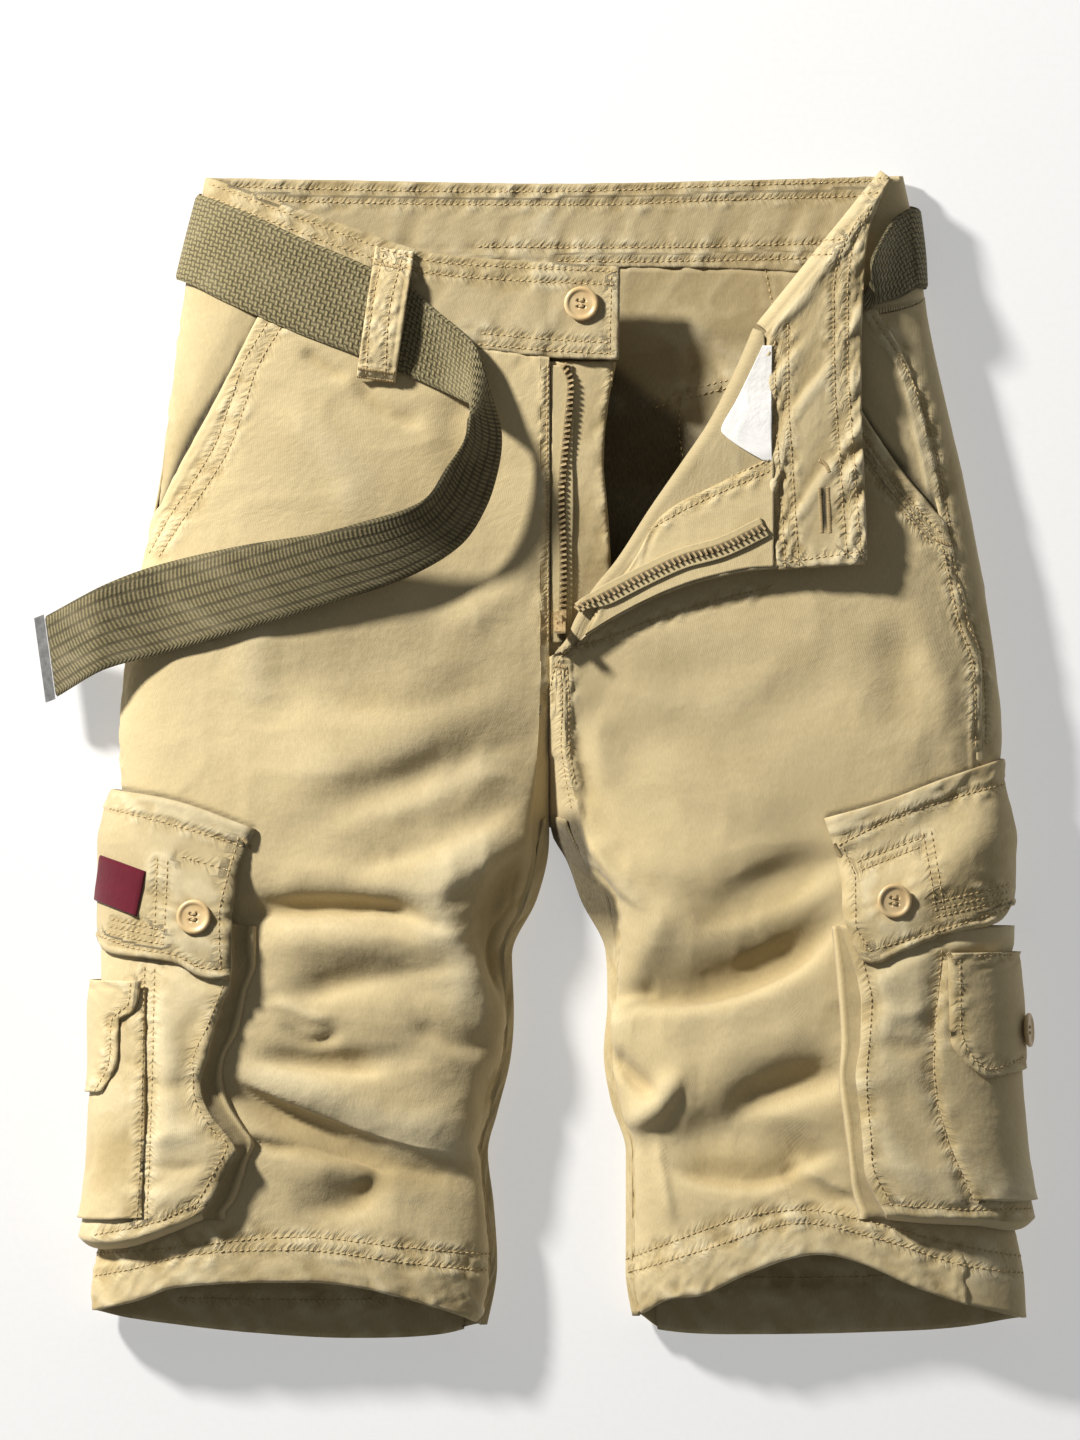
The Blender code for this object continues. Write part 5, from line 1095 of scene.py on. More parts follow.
def pocket_body(name, cargo, seed, finish):
    """A pocket body: a face that stands off the leg and a skirt down to it, with an open mouth on top."""
    half = cargo.half
    s, y = edge_grid(half, cargo.edge, cargo.foot, POCKET_TOP_Y, POCKET_DEPTH, 90, 96, -0.6)
    x = half.raised(s, y, POCKET_DEPTH + 0 * y)[..., 0]
    across, down = lengths(half.point(s, y))
    from_foot = down[-1] - down
    soft = 1.6 * step(across, 2, 18) * step(from_foot, 2, 18) + 0.7 * crumple(x, y, seed)
    soft += crease_height(cargo.creases, x, y)
    edge = pucker(down, across, 7, 0.8, seed + 3, 8) + pucker(across, from_foot, 8, 0.8, seed + 5, 7)
    edge += pucker(across, from_foot - 7, 6, 0.5, seed + 7) + groove(from_foot, 6.5, 0.4)
    edge += groove(across, 5.4, 0.5) + 0.9 * step(4.6 - across, -0.7, 0.7) - 1.2 * bell(across, 1.0)
    cover = step(half.place_over(line_x(cargo.small_edge, y), y, POCKET_DEPTH) - s, -0.05, 0.0)
    cover = np.maximum(cover * step(-y, 70, 80), step(y - line_y(cargo.flap_foot, x), -9, -2))
    relief = (soft * step(s, -0.5, 0) + edge) * (1 - cover) - 0.2 * cover
    rise = pocket_rise(s, y)
    face, face_in = half.raised(s, y, rise + relief), half.raised(s, y, rise - CLOTH)

    side_y = np.append(y[:, 0], y[-1, 0] - 4)
    side_x = line_x(cargo.base, np.append(y[:, 0], y[-1, 0]))
    skirt = half.on_top(side_x, side_y, LIE + 0.2)
    skirt_in = half.on_top(side_x - half.inward * 2.6, side_y + np.append(0 * y[:, 0], 1.8), LIE + 0.2)
    foot_out, foot_in = (half.raised(s[-1], y[-1] - drop, LIE + 0.2) for drop in (4, 2.2))
    fall = np.linspace(0, 1, 8)[1:-1, None, None]
    bulge = (0, -1, 0.4) * np.sin(pi * fall) * 1.3
    whole = np.concatenate([face, foot_out + (face[-1] - foot_out) * (1 - fall) + bulge, foot_out[None]])
    lower_in = foot_in + (face_in[-1] - foot_in) * (1 - fall) + bulge
    whole_in = np.concatenate([face_in, lower_in, foot_in[None]])
    skirt, skirt_in = stretched(skirt), stretched(skirt_in)
    share = np.linspace(0, 1, SKIRT + 1)[None, :-1, None]
    waves = 1.4 * noise(skirt[:, 1], 0 * skirt[:, 1], 14, seed + 8) - 3.0
    waves = np.array([half.inward, 0, 0]) * np.sin(pi * share) * waves[:, None, None]
    sides = skirt[:, None] + (whole[:, :1] - skirt[:, None]) * share + waves
    sides = sides + np.array([0, 0, 1.4]) * bell(share - 0.1, 0.07)
    sides_in = skirt_in[:, None] + (whole_in[:, :1] - skirt_in[:, None]) * share + waves
    whole = np.concatenate([sides, whole], 1)
    whole_in = np.concatenate([sides_in, whole_in], 1)
    wear_and_painted_shade, dim = np.zeros((2, *whole.shape[:2]))
    # Painted shade on the skirt, in the channel between the pocket's face and its foot on the leg.
    wear_and_painted_shade[:, 2:SKIRT - 1] = -0.8
    wear_and_painted_shade[:len(relief), SKIRT:] = wear_and_shade_from(edge + 0.3 * soft)
    dim[:, 3:SKIRT - 1] = 1.3
    measured(name, whole)
    return cloth(name, whole, whole_in, finish, wear_and_painted_shade, dim=dim)


def pocket_flap(name, cargo, seed, finish):
    half = cargo.half
    part, columns = np.linspace(0, 1, 78)[:, None], np.linspace(0, 1, 92)
    y = cargo.flap_edge[0].y + (cargo.flap_edge[-1].y - cargo.flap_edge[0].y) * part + 0 * columns
    for _ in range(4):
        first_y = y[:, :1]
        lying = pocket_rise(0.5, first_y) + ON_POCKET
        first = half.place_over(line_x(cargo.flap_edge, first_y), first_y, lying)
        s = crowded(first, -0.5, columns)
        x = half.raised(s, y, pocket_rise(s, y) + ON_POCKET)[..., 0]
        high, low = line_y(cargo.flap_top, x[0]), line_y(cargo.flap_foot, x[-1])
        y = high + (low - high) * part
    across, down = lengths(half.point(s, y))
    from_foot = down[-1] - down
    x = half.raised(s, y, pocket_rise(s, y) + ON_POCKET)[..., 0]
    relief = 0.8 * crumple(x, y, seed)
    for off, at in ((down, 10.5), (from_foot, 4.0), (across, 4.0)):
        relief += pucker(across + down, off - at * 0.5, 7, 0.8, seed + int(at), 7) + groove(off, at, 0.35)
    off_x, off_y = x - cargo.button[0], y - cargo.button[1]
    to_button = np.hypot(off_x, off_y)
    relief += 0.9 * bell(to_button - 14, 6) - 0.8 * bell(to_button, 8)
    relief += 0.5 * np.sin(9 * np.arctan2(off_y, off_x)) * bell(to_button - 12, 5)
    relief += cargo.flap_band * step(10 - down, -1.4, 1.4) * step(down, 0, 2)
    for off in (from_foot, across):
        relief += 0.5 * step(4 - off, -0.8, 0.8) - 1.1 * bell(off, 1.1)
    relief *= step(s, -0.45, 0.05)
    return laid_piece(name, half, s, y, pocket_rise(s, y) + LIE, DOUBLE, relief, finish, cargo.flap_dim)


def small_puff(cargo, s, y):
    """How far the small side pocket bellies out from the pocket it is sewn to."""
    first = cargo.half.place_over(line_x(cargo.small_edge, y), y, POCKET_DEPTH)
    return SMALL_PUFF * step(first - s, 0, 0.25) * step(s, -0.4, 0) * step(-y, 75, 110)


def side_pocket(name, cargo, seed, finish):
    half = cargo.half
    s, y = edge_grid(half, cargo.small_edge, cargo.small_foot, cargo.small_top, POCKET_DEPTH, 80, 44, -0.4)
    under = pocket_rise(s, y) + LIE + small_puff(cargo, s, y) * step(y, -225, -160)
    surface = half.point(s, y)
    across, down = lengths(surface)
    relief = pucker(down, across - 2, 7, 0.8, seed, 7) + 0.6 * crumple(surface[..., 2] * 1.4, y, seed + 2)
    relief += groove(across, 3.2, 0.35) + groove(across, 8.0, 0.3) - 0.8 * bell(across, 1.0)
    relief += pucker(across, down[-1] - down, 8, 0.7, seed + 1)
    return laid_piece(name, half, s, y, under, CLOTH, relief * step(s, -0.35, 0.0), finish)


def side_flap(name, cargo, seed, finish):
    half, edge, foot = cargo.half, cargo.small_flap_edge, cargo.small_flap_foot
    s, y = edge_grid(half, edge, foot, cargo.small_flap_top, POCKET_DEPTH + 5, 60, 44, -0.35)
    under = pocket_rise(s, y) + CLOTH + 2 * LIE + small_puff(cargo, s, y)
    surface = half.point(s, y)
    across, down = lengths(surface)
    relief = 0.5 * crumple(surface[..., 2] * 1.3, y, seed) - 1.0 * bell(across, 1.0)
    for off in (across, down[-1] - down, down):
        relief += pucker(across + down, off - 2, 7, 0.7, seed + 2, 6) + groove(off, 4.0, 0.35)
    return laid_piece(name, half, s, y, under, SMALL_FLAP, relief * step(s, -0.3, 0.05), finish)


LABEL = np.array([[[-244, -24], [-219, -32]], [[-247, -48], [-224, -57]]], float)  # its corners
LABEL_SIZE = (26, 25)


def woven_label(finish):
    """The small woven label on the left flap, plain."""
    down, across = np.linspace(0, 1, 34)[:, None], np.linspace(0, 1, 34)
    left, right = (LABEL[0, k] + (LABEL[1, k] - LABEL[0, k]) * down for k in (0, 1))
    place = left[:, None] + (right - left)[:, None] * across[:, None]
    x, y = place[..., 0], place[..., 1]
    s = LEFT.place_over(x, y, pocket_rise(0.0, y) + ON_POCKET + 0.7)
    relief = 0.35 * crumple(x * 1.5, y * 1.5, 151) + 0.4
    relief -= 0.5 * bell(down * LABEL_SIZE[1], 1.0) + 0.5 * bell((1 - across) * LABEL_SIZE[0], 1.0)
    under = pocket_rise(s, y) + ON_POCKET + 0.3
    return laid_piece("woven_label_plain", LEFT, s, y, under, 0.9, relief, finish)


LOOP_RISE = through((0, 0.3), (0.07, 0.9), (0.16, 6), (0.3, 8.5), (0.5, 9), (0.7, 8.8), (0.86, 7),
                    (0.95, 4), (1, 0.3))  # by share of its length
LOOP_LONG = 70.0
LOOP_HALF_WIDE = 10.5


def loop_for_belt(finish):
    start, end = np.array([-86, 301.0]), np.array([-96, 231.0])
    share = np.linspace(0, 1, 90)[:, None]
    way = (end - start) / np.linalg.norm(end - start)
    across = np.linspace(-LOOP_HALF_WIDE, LOOP_HALF_WIDE, 26)
    place = (start + (end - start) * share)[:, None] + np.array([-way[1], way[0]]) * across[:, None]
    x, y = place[..., 0], place[..., 1]
    edge = LOOP_HALF_WIDE - np.abs(across)[None]
    relief = groove(edge, 3.0, 0.45) + 0.35 * pucker(share * LOOP_LONG, edge, 9, 1.0, 161, 5)
    relief = relief - 0.5 * bell(edge, 0.9) + 0.35 * crumple(x, y, 162)
    for part in (share, 1 - share):
        relief = relief + 0.8 * step(7 - part * LOOP_LONG, -1, 1)
    rise = line_y(LOOP_RISE, share)
    top = LEFT.on_top(x, y, rise + 1.8 + relief)
    measured("loop_for_belt", top)
    return cloth("loop_for_belt", top, LEFT.on_top(x, y, rise), finish, wear_and_shade_from(relief))


# ---------------------------------------------------------------- fly

SHIELD_EDGE = through((33, 241), (29, 221), (26, 189), (29, 151), (30, 130), (25, 110), (20, 95),
                      (9, 78))
CHAIN_LEFT = through((5, 239), (8.5, 229), (6.5, 205), (3.5, 167), (4.5, 135), (4, 104))
CHAIN_RIGHT = through((12, 108.5), (16, 111), (24, 114), (46, 125), (68, 135), (89, 141), (112, 152))
FACING_LOW = through((16, 94.5), (24, 99.7), (40, 108.7), (57, 116.7), (73, 122.7), (88, 126.7),
                     (103, 129.7), (117, 130.6))
FACING_HIGH = through((18, 100), (27, 115), (40, 131), (57, 158), (89, 176), (117, 190))
BAG_EDGE = through((111, 249), (103, 232), (96, 218), (89.5, 206.5), (88.8, 203.5), (91, 200.5),
                   (100, 194), (113, 186.5))
FACING_CLOTH = 1.2
SHIELD_ROOT_X = -12  # under the left front
BAG_FAR_X = 116  # under the waistband
ZIP_TAPE = 1.0


def shield_top(x, y):
    droop = 3 * (np.clip(x, 0, 40) / 33)**2 + 2 * step(-y, -145, -115) * step(x, 2, 22)
    return LEFT.height(x, y) - CLOTH - GAP - 1.0 - droop


def shield_piece(finish):
    y = np.linspace(241, 78, 104)[:, None]
    edge = line_x(SHIELD_EDGE, y)
    x = SHIELD_ROOT_X + (edge - SHIELD_ROOT_X) * np.linspace(0, 1, 34)
    y, off = y + 0 * x, edge - x
    relief = 0.5 * crumple(x, y, 171) + pucker(y, off, 6, 0.7, 172, 7) - 0.9 * bell(off, 0.9)
    top = xyz(x, y, shield_top(x, y) + relief)
    measured("fly_shield_cloth", top)
    return cloth("fly_shield_cloth", top, top - (0, 0, DOUBLE), finish, wear_and_shade_from(relief))


def tape(name, x, y, under, chain, finish):
    """A zip's tape, with a low bead where its teeth sit and painted shade along it, among the teeth."""
    top = xyz(x, y, under + 0.7 * bell(chain, 1.2))
    measured(name, top)
    beside = np.exp(-(chain / 1.9)**4)
    return cloth(name, top, top - (0, 0, ZIP_TAPE), finish, -1.6 * beside, dim=2.4 * beside)


def tape_left(finish):
    y = np.linspace(239, 90, 130)[:, None]
    x = -2 + (9.5 + 2) * np.linspace(0, 1, 16) + 0.5 * noise(y, 0 * y, 11, 181)
    y = y + 0 * x
    return tape("zip_tape_left_cloth", x, y, shield_top(x, y) + 1.5, x - line_x(CHAIN_LEFT, y), finish)


def facing_piece(finish):
    share = np.linspace(0, 1, 90)
    low, high = along(FACING_LOW, share), along(FACING_HIGH, share)
    place = low + (high - low) * np.linspace(0, 1, 44)[:, None, None]
    x, y = place[..., 0], place[..., 1]
    down = length_over(place, 0)
    from_top = down[-1] - down
    relief = 0.5 * crumple(x, y, 185) + pucker(x, from_top, 7, 0.7, 186, 7) - 0.6 * bell(from_top, 0.9)
    upper = on_turn(x, y, CLOTH + GAP + FACING_CLOTH + 0.4 + relief)
    measured("fly_facing_cloth", upper)
    return cloth("fly_facing_cloth", upper, on_turn(x, y, CLOTH + GAP), finish, wear_and_shade_from(relief))


def tape_right(finish):
    across = np.linspace(-1, 1, 18)
    centre = along(CHAIN_RIGHT, np.linspace(0, 1, 110))
    way = np.gradient(centre, axis=0)
    aside = np.stack([-way[:, 1], way[:, 0]], -1) / np.linalg.norm(way, axis=1, keepdims=True)
    half_width = 3.0 + 2.6 * step(centre[:, 0], 12, 30)
    place = centre[:, None] + aside[:, None] * (half_width[:, None] * across)[..., None]
    x, y = place[..., 0], place[..., 1]
    lying = RIGHT.height(x, y) + line_y(TURN_ROOM, x) + CLOTH + FACING_CLOTH + 3 * GAP
    lying -= 1.2 * step(-x, -16, -8)  # lower where it runs in under the other tape
    return tape("zip_tape_right_cloth", x, y, lying + 1.3, across * 5 + 0 * x, finish)


def bag_piece(finish):
    y = np.linspace(249, 187, 56)[:, None]
    edge = line_x(BAG_EDGE, y)
    x = edge + (BAG_FAR_X - edge) * np.linspace(0, 1, 26)
    y = y + 0 * x
    relief = 0.5 * crumple(x * 1.4, y * 1.4, 191)
    upper = on_turn(x, y, CLOTH + GAP + 1.3 + relief)
    measured("pocket_bag_cloth", upper)
    return cloth("pocket_bag_cloth", upper, on_turn(x, y, CLOTH + GAP), finish, wear_and_shade_from(relief))


# ---------------------------------------------------------------- belt

# The strap's two edges: on the waist, and then free above the front, where rise is its upper face's
# height above the garment.
BELT_TOP = through((-192, 332), (-159, 318), (-138, 308), (-103, 293), (-81, 282))
BELT_LOW = through((-204, 288), (-181, 275), (-159, 265), (-138, 256), (-106, 244), (-78, 233))
BELT_BACK = through((-176, 310.5), (0, 315), (177, 303))  # the middle of its run under the back
STRAP_HALF = 21.8  # of its width
Station = namedtuple("Station", "x_top y_top rise_top x_low y_low rise_low")
FREE_STRAP = [
    Station(-65, 269.5, 3.5, -62, 225.7, 4.5),
    Station(-51, 258, 6, -51, 220, 12),
    Station(-41, 247, 9, -46.5, 217, 24),
    Station(-34, 225.7, 12, -46, 209.5, 34),
    Station(-27.5, 200, 14, -48, 197, 38),
    Station(-29.7, 182, 15, -57.8, 182, 38),
    Station(-36.7, 161, 15, -67.5, 167.4, 36),
    Station(-50.8, 141, 14, -81, 160, 32),
    Station(-79.4, 124.2, 12, -102.6, 154, 26),
    Station(-121.5, 110.2, 10, -127, 148, 20),
    Station(-170, 96, 8, -170, 141.5, 13),
    Station(-213, 83.7, 8, -213, 131.8, 11),
    Station(-243, 75, 29, -244, 120, 29),
    Station(-268.5, 61, 6.5, -274.5, 104.5, 6.5),
]
ON_WAIST_ROWS = 90  # rows of the strap before it comes out of the loop
# The belt's right end comes over the side, twists on edge and goes in under the turned-over band.
END_STRAP = [
    Station(181, 316, 9, 186, 275.5, 3),
    Station(170.5, 296, 18, 176, 272, 3),
    Station(167.8, 281, 8.4, 169.5, 270, 3),
    Station(161, 273, 5, 161.5, 262, 3),
    Station(148, 266.8, 2.8, 158.2, 226, 2.8),
]


def strap_points(last, stations, half, shares, count):
    """Both faces of the strap, run smoothly on from its last row through the stations, clear of the cloth."""
    table = np.array(stations, float)
    for x in (0, 3):
        table[:, x + 2] += half.height(table[:, x], table[:, x + 1])
    table = np.concatenate([[np.append(last[0], last[-1])], table])
    run = np.linspace(0, 1, count)[1:]
    rows = np.stack([smooth(np.linspace(0, 1, len(table)), column, run) for column in table.T], -1)
    upper = rows[:, None, :3] + (rows[:, None, 3:] - rows[:, None, :3]) * shares[:, None]
    upper[..., 2] = np.maximum(upper[..., 2], half.height(upper[..., 0], upper[..., 1]) + WEBBING + 0.6)
    return upper, under_face(np.concatenate([last[None], upper]), WEBBING)[1:]


def under_face(upper, thick):
    """The strap's other face, by the upper face's own normals; these point up where the strap is flat."""
    normal = np.cross(np.gradient(upper, axis=0), np.gradient(upper, axis=1))
    normal /= np.linalg.norm(normal, axis=-1, keepdims=True)
    if normal[..., 2].sum() < 0:
        normal = -normal
    return upper - normal * thick


def webbing(name, upper, lower, reverse, finish):
    """A strap: its UV map runs along it in centimetres, and `reverse` is 1 where its wrong side shows."""
    share = np.linspace(0, 1, upper.shape[1])
    thin = 0.5 * bell(np.minimum(share, 1 - share) * 44, 1.0)[None, :, None]
    upper, lower = upper + (lower - upper) * thin, lower + (upper - lower) * thin
    measured(name, upper)
    obj = cloth(name, upper, lower, finish)
    note(obj.data, "reverse", np.tile(np.repeat(reverse, upper.shape[1]), 2))
    return obj


def strap_piece(finish):
    """From the left side over the waist and through its loop, and then free to its tip."""
    shares = np.linspace(0, 1, 26)
    place = np.linspace(0, 0.58, ON_WAIST_ROWS)[:, None]
    top_y = low_y = place * 0
    for _ in range(5):
        top_y = line_y(BELT_TOP, LEFT.point(place, top_y)[..., 0])
        low_y = line_y(BELT_LOW, LEFT.point(place, low_y)[..., 0])
    y = top_y + (low_y - top_y) * shares
    stand = 0.8 + 3.5 * shares * (1 - step(place, 0, 0.2))
    s = place + 0 * y
    on_waist, on_waist_in = LEFT.raised(s, y, stand + WEBBING), LEFT.raised(s, y, stand)
    free, free_in = strap_points(on_waist[-1], FREE_STRAP, LEFT, shares, 230)
    upper, lower = np.concatenate([on_waist, free]), np.concatenate([on_waist_in, free_in])
    reverse = step(np.arange(len(upper)), ON_WAIST_ROWS + 62, ON_WAIST_ROWS + 70)
    return webbing("belt_webbing_free", upper, lower, reverse, finish)


def rear_piece(finish):
    """The run from the left side under the back to the right side, and its end under the front corner."""
    shares = np.linspace(0, 1, 24)
    turn = np.linspace(0, -1, 26)[:, None]
    left_y = BELT_BACK[0].y + STRAP_HALF - 2 * STRAP_HALF * shares + 0 * turn
    stand = GAP + 3.7 * shares * step(turn, -0.6, 0)
    turn = turn + 0 * left_y
    left, left_in = LEFT.raised(turn, left_y, stand + WEBBING), LEFT.raised(turn, left_y, stand)
    x = np.linspace(-150, 150, 60)[:, None]
    floor = xyz(x, line_y(BELT_BACK, x) + STRAP_HALF - 2 * STRAP_HALF * shares, 0)
    over = np.append(np.linspace(-1, 0, 26), np.linspace(0, 0.12, 10)[1:])[:, None]
    right_y = BELT_BACK[-1].y + 22.5 - 45 * shares - 3 * step(over, -0.2, 0.12) * (1 - shares)
    lift = GAP + 0.2 * step(over, -1, -0.5) + 3.5 * (1 - shares) * step(over, -0.3, 0.12)
    over = over + 0 * right_y
    right, right_in = RIGHT.raised(over, right_y, lift + WEBBING), RIGHT.raised(over, right_y, lift)
    end, end_in = strap_points(right[-1], END_STRAP, RIGHT, shares, 70)
    outer = np.concatenate([left, floor, right, end])
    inner = np.concatenate([left_in, floor + (0, 0, WEBBING), right_in, end_in])
    outer[..., 2] = np.maximum(outer[..., 2], 0)
    return webbing("belt_webbing_rear", outer, inner, np.zeros(len(outer)), finish)


# ---------------------------------------------------------------- buttons


BUTTON_PROFILE = [(6.2, 0.0), (8.4, 0.6), (9.2, 1.3), (9.25, 2.0), (8.9, 2.7), (8.2, 3.0), (7.5, 2.95),
                  (6.9, 2.6), (6.4, 2.2), (5.6, 2.05), (4.0, 2.0)]  # radius and height
BUTTON_MIDDLE = 1.95
BUTTON_SIDES = 64
HOLES = [(1.5, 1.5), (-1.5, 1.5), (-1.5, -1.5), (1.5, -1.5)]


def bands(first, rings, sides):
    """The faces round a tube whose rings of vertices begin at the vertex `first`."""
    faces = []
    for start in range(first, first + (rings - 1) * sides, sides):
        for k in range(sides):
            after = (k + 1) % sides
            faces.append((start + k, start + after, start + sides + after, start + sides + k))
    return faces


def cap(first, sides):
    return tuple(range(first, first + sides))


def sewn_button(name, centre, axis, thread, finish):
    """A turned button of 18.5 mm: a raised rim, a dished middle with four holes, and its thread."""
    axis = np.asarray(axis, float) / np.linalg.norm(axis)
    side = np.cross(axis, (0, 1, 0))
    side /= np.linalg.norm(side)
    up = np.cross(axis, side)
    turns = np.linspace(0, 2 * pi, BUTTON_SIDES, endpoint=False)[:, None]
    ring = side * np.cos(turns) + up * np.sin(turns)
    points = np.concatenate([centre + axis * z + ring * r for r, z in BUTTON_PROFILE]
                            + [[centre], [centre + axis * BUTTON_MIDDLE]])
    last = (len(BUTTON_PROFILE) - 1) * BUTTON_SIDES
    faces = bands(0, len(BUTTON_PROFILE), BUTTON_SIDES)
    around = [(k, (k + 1) % BUTTON_SIDES) for k in range(BUTTON_SIDES)]
    faces += [(b, a, last + BUTTON_SIDES) for a, b in around]
    faces += [(last + a, last + b, last + BUTTON_SIDES + 1) for a, b in around]
    button = mesh_piece(name, points, faces, finish)
    drills = []
    for a, b in HOLES:
        foot = centre + side * a + up * b + ring[::4] * 0.85
        walls = np.concatenate([foot - axis, foot + axis * 4])
        drills.append(mesh_piece("drill", walls, bands(0, 2, 16) + [cap(0, 16)[::-1], cap(16, 16)], finish))
        cut = button.modifiers.new("hole", "BOOLEAN")
        cut.operation, cut.solver, cut.object = "DIFFERENCE", "EXACT", drills[-1]
    graph = bpy.context.evaluated_depsgraph_get()
    button.data = bpy.data.meshes.new_from_object(button.evaluated_get(graph))
    button.modifiers.clear()
    for drill in drills:
        bpy.data.objects.remove(drill, do_unlink=True)

    share = np.linspace(0, 1, 9)[:, None]
    angles = np.radians(np.arange(0, 360, 60))[:, None]
    round_path = (up * np.cos(angles) + axis * np.sin(angles)) * 0.3
    strands, faces = [], []
    for pair in (HOLES[:2], HOLES[2:]):
        start, end = (centre + axis * 2.1 + side * a + up * b for a, b in pair)
        for shift in (-0.25, 0.25):
            path = start + (end - start) * share + up * shift + axis * np.sin(pi * share) * 0.5
            first = len(strands) * 54
            strands.append((path[:, None] + round_path).reshape(-1, 3))
            faces += bands(first, 9, 6) + [cap(first, 6)[::-1], cap(first + 48, 6)]
    return button, mesh_piece(name + "_thread", np.concatenate(strands), faces, thread)


# ---------------------------------------------------------------- stitches and teeth


def sampled(line):
    """A smooth line through these places of the drawing grid, as points a millimetre apart."""
    corners = drawn(*line)
    run = run_of(corners)
    return read_at(corners, run, np.linspace(0, run[-1], max(int(run[-1]), 2)))


def read(data, field, wide):
    """A table of this field of a mesh's data, `wide` numbers to a row."""
    found = np.empty(len(data) * wide)
    data.foreach_get(field, found)
    return found.reshape(-1, wide)


def sew_in(pieces, lines, seed, deep=0.4, gather=0.8):
    """Draws the cloth down along rows of stitches and ropes it beside them, less where it is steep."""
    rows = [sampled(line) for line in lines]
    tree = KDTree(sum(len(row) for row in rows))
    runs, begun, before = [], 0.0, rows[0][0]
    for row in rows:
        if np.linalg.norm(row[0] - before) > 12:
            begun += 61.0
        before = row[0]
        for k, (x, y) in enumerate(row):
            tree.insert((x, y, 0), len(runs))
            runs.append(k + begun)
    tree.balance()
    for piece in pieces:
        mesh = piece.data
        places = read(mesh.vertices, "co", 3)
        found = [tree.find((x, y, 0))[1:] for x, y in places[:, :2] / MM + (0, SEAT)]
        off = np.array([distance for _, distance in found])
        run = np.array([runs[index] for index, _ in found])
        near = off < 14
        roping = noise(run + 0.6 * off, 0.35 * off, 5.5, seed)
        roping += 0.6 * noise(run - 0.3 * off, off, 3.2, seed + 1)
        change = gather * roping * bell(off, 5.5) * (0.25 + 0.75 * step(off, 0, 2.2)) - deep * bell(off, 1.5)
        upward = read(mesh.vertices, "normal", 3)
        upward = np.where(upward[:, 2:] > 0, upward, -upward)
        change *= 0.3 + 0.7 * step(upward[:, 2], 0.45, 0.9)
        places[near] += (upward * change[:, None])[near] * MM
        mesh.vertices.foreach_set("co", places.ravel())
        # The same change is painted into the colour: painted shade where the stitches draw the cloth down,
        # paler where it ropes up.
        wear_and_painted_shade = mesh.attributes["wear_and_painted_shade"].data
        level = read(wear_and_painted_shade, "value", 1)[:, 0]
        level[near] += np.clip(change[near] * 1.5, -0.9, 0.7)
        wear_and_painted_shade.foreach_set("value", level)
        note(mesh, "seam", np.clip(1 - off / 7, 0, 1))
        note(mesh, "run", run)
        mesh.update()


def dropped(pieces, lines, lift=0.12):
    """Drawn lines laid on the topmost of these pieces: one mesh of edges, with the way out at each point."""
    trees = []
    for piece in pieces:
        corners = [vertex.co for vertex in piece.data.vertices]
        trees.append(BVHTree.FromPolygons(corners, [tuple(face.vertices) for face in piece.data.polygons]))
    points, ways, edges = [], [], []
    for line in lines:
        before = None
        for px, py in sampled(line):
            above = Vector((px * MM, (py - SEAT) * MM, 0.2))
            hits = [tree.ray_cast(above, Vector((0, 0, -1))) for tree in trees]
            hits = [hit for hit in hits if hit[0] is not None]
            if not hits:
                before = None
                continue
            place, way = max(hits, key=lambda hit: hit[0].z)[:2]
            way = way if way.z > 0 else -way
            points.append(place + way * lift * MM)
            ways.append(way)
            if before is not None and (points[-1] - points[before]).length < 4 * MM:
                edges.append((before, len(points) - 1))
            before = len(points) - 1
    mesh = bpy.data.meshes.new("path")
    mesh.from_pydata(points, edges, [])
    note(mesh, "outward", np.array(ways).ravel(), "FLOAT_VECTOR")
    return shown_as("path", mesh)


class Graph:
    """The nodes of a material or a modifier; a node is handed on as one of its outputs."""

    def __init__(self, tree):
        self.nodes, self.links = tree.nodes, tree.links

    def give(self, node, name, value):
        """Sets the node's input, by name or number, to a value or links it to an output."""
        socket = node.inputs[name]
        if isinstance(value, bpy.types.NodeSocket):
            self.links.new(value, socket)
        else:
            socket.default_value = value

    def add(self, kind, out=0, **values):
        """A new node with these inputs, their spaces as underscores, and these settings."""
        node = self.nodes.new(kind)
        for name, value in values.items():
            title = name.replace("_", " ")
            if title in node.inputs:
                self.give(node, title, value)
            else:
                setattr(node, name, value)
        return node.outputs[out]

    def maths(self, operation, *values):
        node = self.nodes.new("ShaderNodeMath")
        node.operation = operation
        for index, value in enumerate((*values, 0.0, 0.0)[:3]):
            self.give(node, index, value)
        return node.outputs[0]

    def mixed(self, factor, one, other, blend="MIX"):
        """A mix of two colours."""
        node = self.nodes.new("ShaderNodeMix")
        node.data_type, node.blend_type = "RGBA", blend
        for index, value in ((0, factor), (6, one), (7, other)):
            self.give(node, index, (*value, 1) if isinstance(value, tuple) else value)
        return node.outputs[2]

    def ramped(self, value, low, high):
        return self.add("ShaderNodeMapRange", Value=value, From_Min=low, From_Max=high)

    def attribute(self, name):
        return self.add("ShaderNodeAttribute", "Fac", attribute_name=name)

    def noise(self, place, scale, detail, roughness=0.5):
        return self.add("ShaderNodeTexNoise", Vector=place, Scale=scale, Detail=detail, Roughness=roughness)

    def bump(self, height, strength, distance, **values):
        return self.add("ShaderNodeBump", Height=height, Strength=strength, Distance=distance, **values)

    def shade(self, **values):
        """Sets these inputs of the material's shader."""
        for name, value in values.items():
            self.give(self.nodes["Principled BSDF"], name.replace("_", " "), value)


